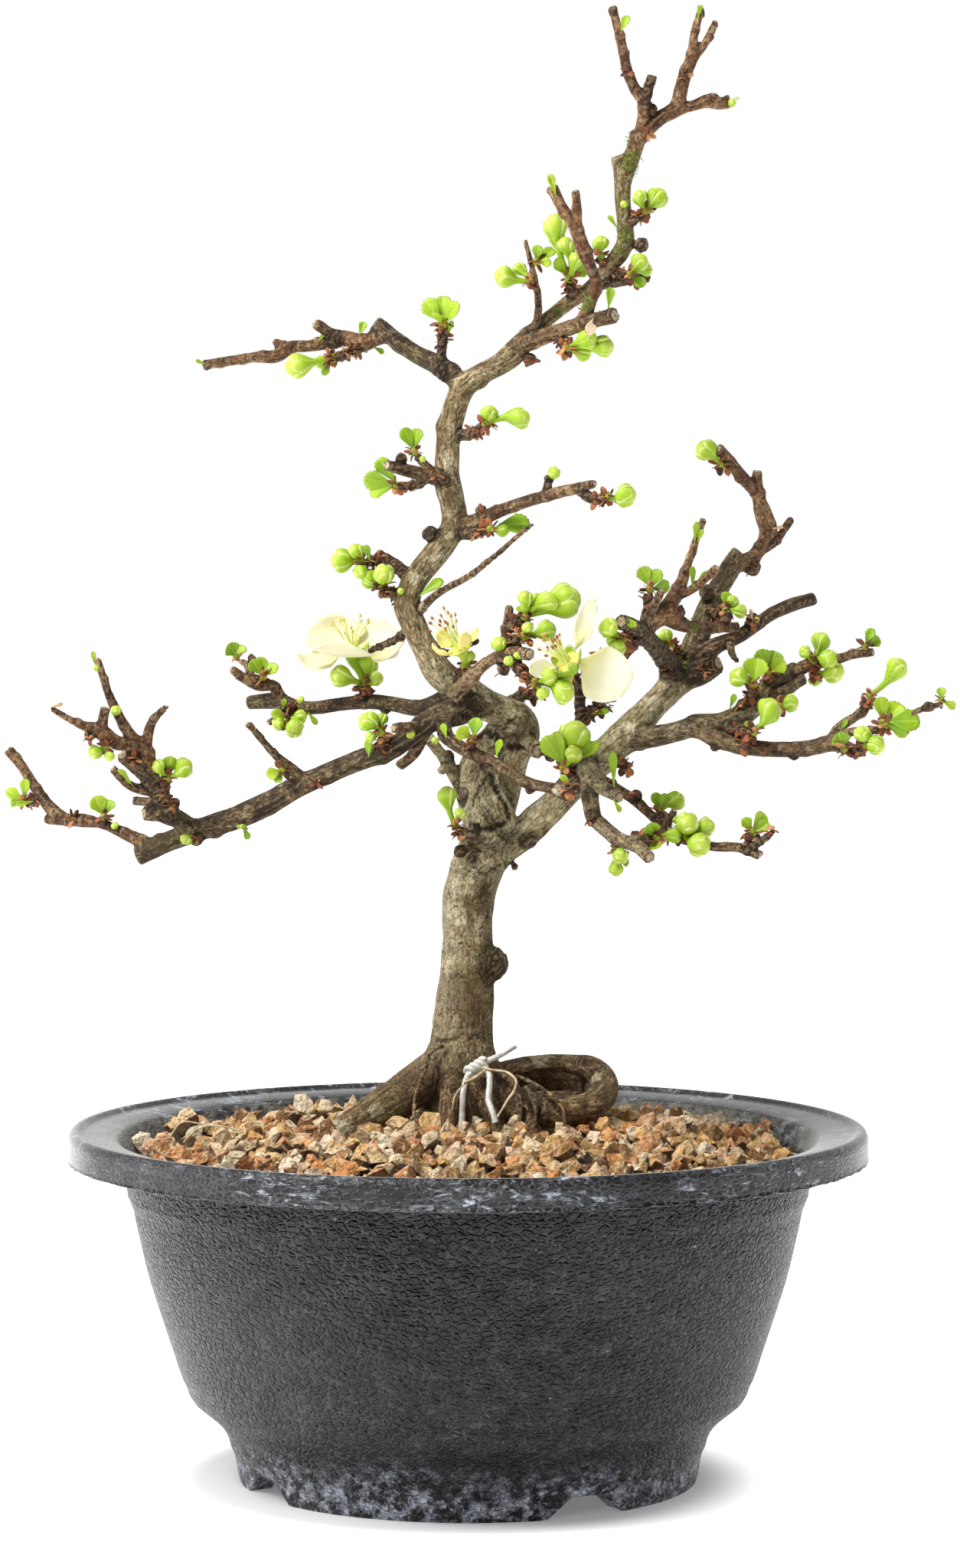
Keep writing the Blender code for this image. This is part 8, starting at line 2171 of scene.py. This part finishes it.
def set_light():
    world = bpy.data.worlds.new("surround")
    world.use_nodes = True
    graph = Graph(world.node_tree)
    graph.tree.nodes.clear()
    eye = graph.node("ShaderNodeLightPath", output="Is Camera Ray")
    way = graph.node("ShaderNodeTexCoord", output="Generated")
    back = graph.node("ShaderNodeSeparateXYZ", {0: way}, "Y")
    turned = graph.node("ShaderNodeMapRange", {0: back, 1: -0.3, 2: 0.7}, interpolation_type="SMOOTHSTEP")
    lit = SURROUND_BEFORE + (SURROUND_BEHIND - SURROUND_BEFORE) * turned
    strength = lit + (SURROUND_SEEN - lit) * eye
    surround = graph.node("ShaderNodeBackground", {"Color": (1, 1, 1, 1), "Strength": strength})
    graph.node("ShaderNodeOutputWorld", {"Surface": surround}, None)
    bpy.context.scene.world = world
    for name, (place, size, power) in LAMPS.items():
        lamp = bpy.data.lights.new(name, "AREA")
        lamp.size = size
        lamp.energy = power
        holder = bpy.data.objects.new(name, lamp)
        holder.location = place
        holder.rotation_euler = (LIT_POINT - Vector(place)).to_track_quat("-Z", "Y").to_euler()
        bpy.context.scene.collection.objects.link(holder)
    bpy.context.scene.view_settings.view_transform = "Standard"


def set_camera():
    camera = bpy.data.cameras.new("photo_view")
    camera.sensor_width = 36
    camera.lens = EYE_LENS
    camera.shift_x = EYE_SHIFT
    camera.clip_start = 0.01
    holder = bpy.data.objects.new("photo_view", camera)
    holder.location = (0, -EYE_DISTANCE * MM, EYE_HEIGHT * MM)
    holder.rotation_euler = (math.radians(90 - EYE_PITCH), 0, 0)
    bpy.context.scene.collection.objects.link(holder)
    bpy.context.scene.camera = holder


def make_floor():
    corners = np.array([(-1, -1, 0), (1, -1, 0), (1, 1, 0), (-1, 1, 0)]) * FLOOR_HALF / MM
    mesh = mesh_of("floor", corners, [(0, 1, 2, 3)])
    mesh.materials.append(floor_paint())
    link_object("floor", mesh)


def make_small_growth(wood_points, green, rng):
    """The leaves and small buds that sit straight on the wood."""
    appears = as_seen(wood_points)
    piece = Piece("bud", "rise", "edge", "across", "along", "tone", "fresh")
    for x, z, tip_x, tip_z, half_width, *fresh in SMALL_LEAVES:
        base = on_wood(wood_points, appears, x, z)
        shift = seen(tip_x, tip_z, base[1]) - seen(x, z, base[1])
        tip = base + shift + np.array((0, rng.uniform(-0.25, 0.1) * np.linalg.norm(shift), 0))
        facing = leaf_facing(rng, base, tip)
        root = base - unit(tip - base) * 0.3
        add_leaf(piece, root, tip, half_width, facing, rng, rng.uniform(0, 1), fresh[0] if fresh else 1.0)
    for x, z, radius in SMALL_BUDS:
        base = on_wood(wood_points, appears, x, z)
        centre = base + unit(np.array((rng.uniform(-0.4, 0.4), -0.5, rng.uniform(0.2, 0.9)))) * radius * 1.1
        add_bud(piece, base, centre, radius, rng, rng.uniform(0, 1))
    mount(piece.make("small_leaves_and_buds", green), "young_green")
    return appears


# Where along its last run a spur carries scales
SCALY_SHARES = (0.35, 0.7, 1.0)


def make_scales(recipe, wood_points, appears, material):
    """Papery scales round the foot of each spray and in clumps on the wood."""
    places = []
    for heads in SPRAYS.values():
        for foot, _, _ in heads:
            base, radius = place_of(foot)
            places.append((base, radius * 1.15))
    for name, route in LIMBS.items():
        if "spur" in name:
            foot, end = in_space(route)[-2:]
            for share in SCALY_SHARES:
                row = foot + (end - foot) * share
                places.append((row[:3], row[3] * 1.1))
    for x, z, radius in SCALE_CLUMPS:
        places.append((on_wood(wood_points, appears, x, z), radius * 0.75))
    balls = clump_balls(places)
    given = {"Shapes": scale_shapes(), "Material": material, "Gap": 0.75 * MM, "Density": 3.0e6}
    given.update({"Least": 0.8, "Most": 1.9, "Tumble": 0.6, "Lift": -0.25 * MM})
    given.update({"Mask": "cover", "Seed": SEED})
    scales = recipe.run("bud_scales", balls, given)
    bpy.data.objects.remove(balls)
    keep_in_box(scales)
    mount(scales, "bark")


def main():
    strew = scatter_recipe()
    strands = strand_recipe()
    rng = np.random.default_rng(SEED)
    bark = bark_paint()
    green = green_paint()
    petal = petal_paint()
    stamen = stamen_paint()

    wood_points, wood_faces, values = make_wood()
    values["moss"] = patches_on(wood_points, MOSS_PATCHES)
    values["shade"] = patches_on(wood_points, SHADE_PATCHES)
    values["lichen"] = patches_on(wood_points, PALE_PATCHES)
    wood = make_skin("tree_bark", wood_points, wood_faces, bark, values)
    mount(wood, "bark", "tree_wood")

    for name, heads in SPRAYS.items():
        make_spray(name, heads, green, rng)
    for name, flower in FLOWERS.items():
        make_petals(name, flower, petal, rng, **PETAL_LOOKS[name])
        make_stamens(strands, name, flower, stamen, rng, **STAMEN_LOOKS[name])
    appears = make_small_growth(wood_points, green, rng)
    make_scales(strew, wood_points, appears, scale_paint())
    given = {"Shapes": moss_shapes(), "Material": moss_paint(), "Gap": 0.3 * MM, "Density": 3.0e6}
    given.update({"Least": 0.4, "Most": 1.1, "Tumble": 0.9, "Lift": 0.0, "Mask": "moss", "Seed": SEED})
    moss = strew.run("moss_tufts", wood, given)
    keep_in_box(moss)
    mount(moss, "bark")

    make_pot(pot_paint())
    make_grit(strew, shaded_bed_paint(), grain_paint())
    make_wire(strands, wire_paint())
    straw = [(drawn(route), 0.5) for route in STRAWS]
    mount(make_strands(strands, "straw", straw, 6, straw_paint()), "grit")

    set_light()
    set_camera()
    make_floor()


main()
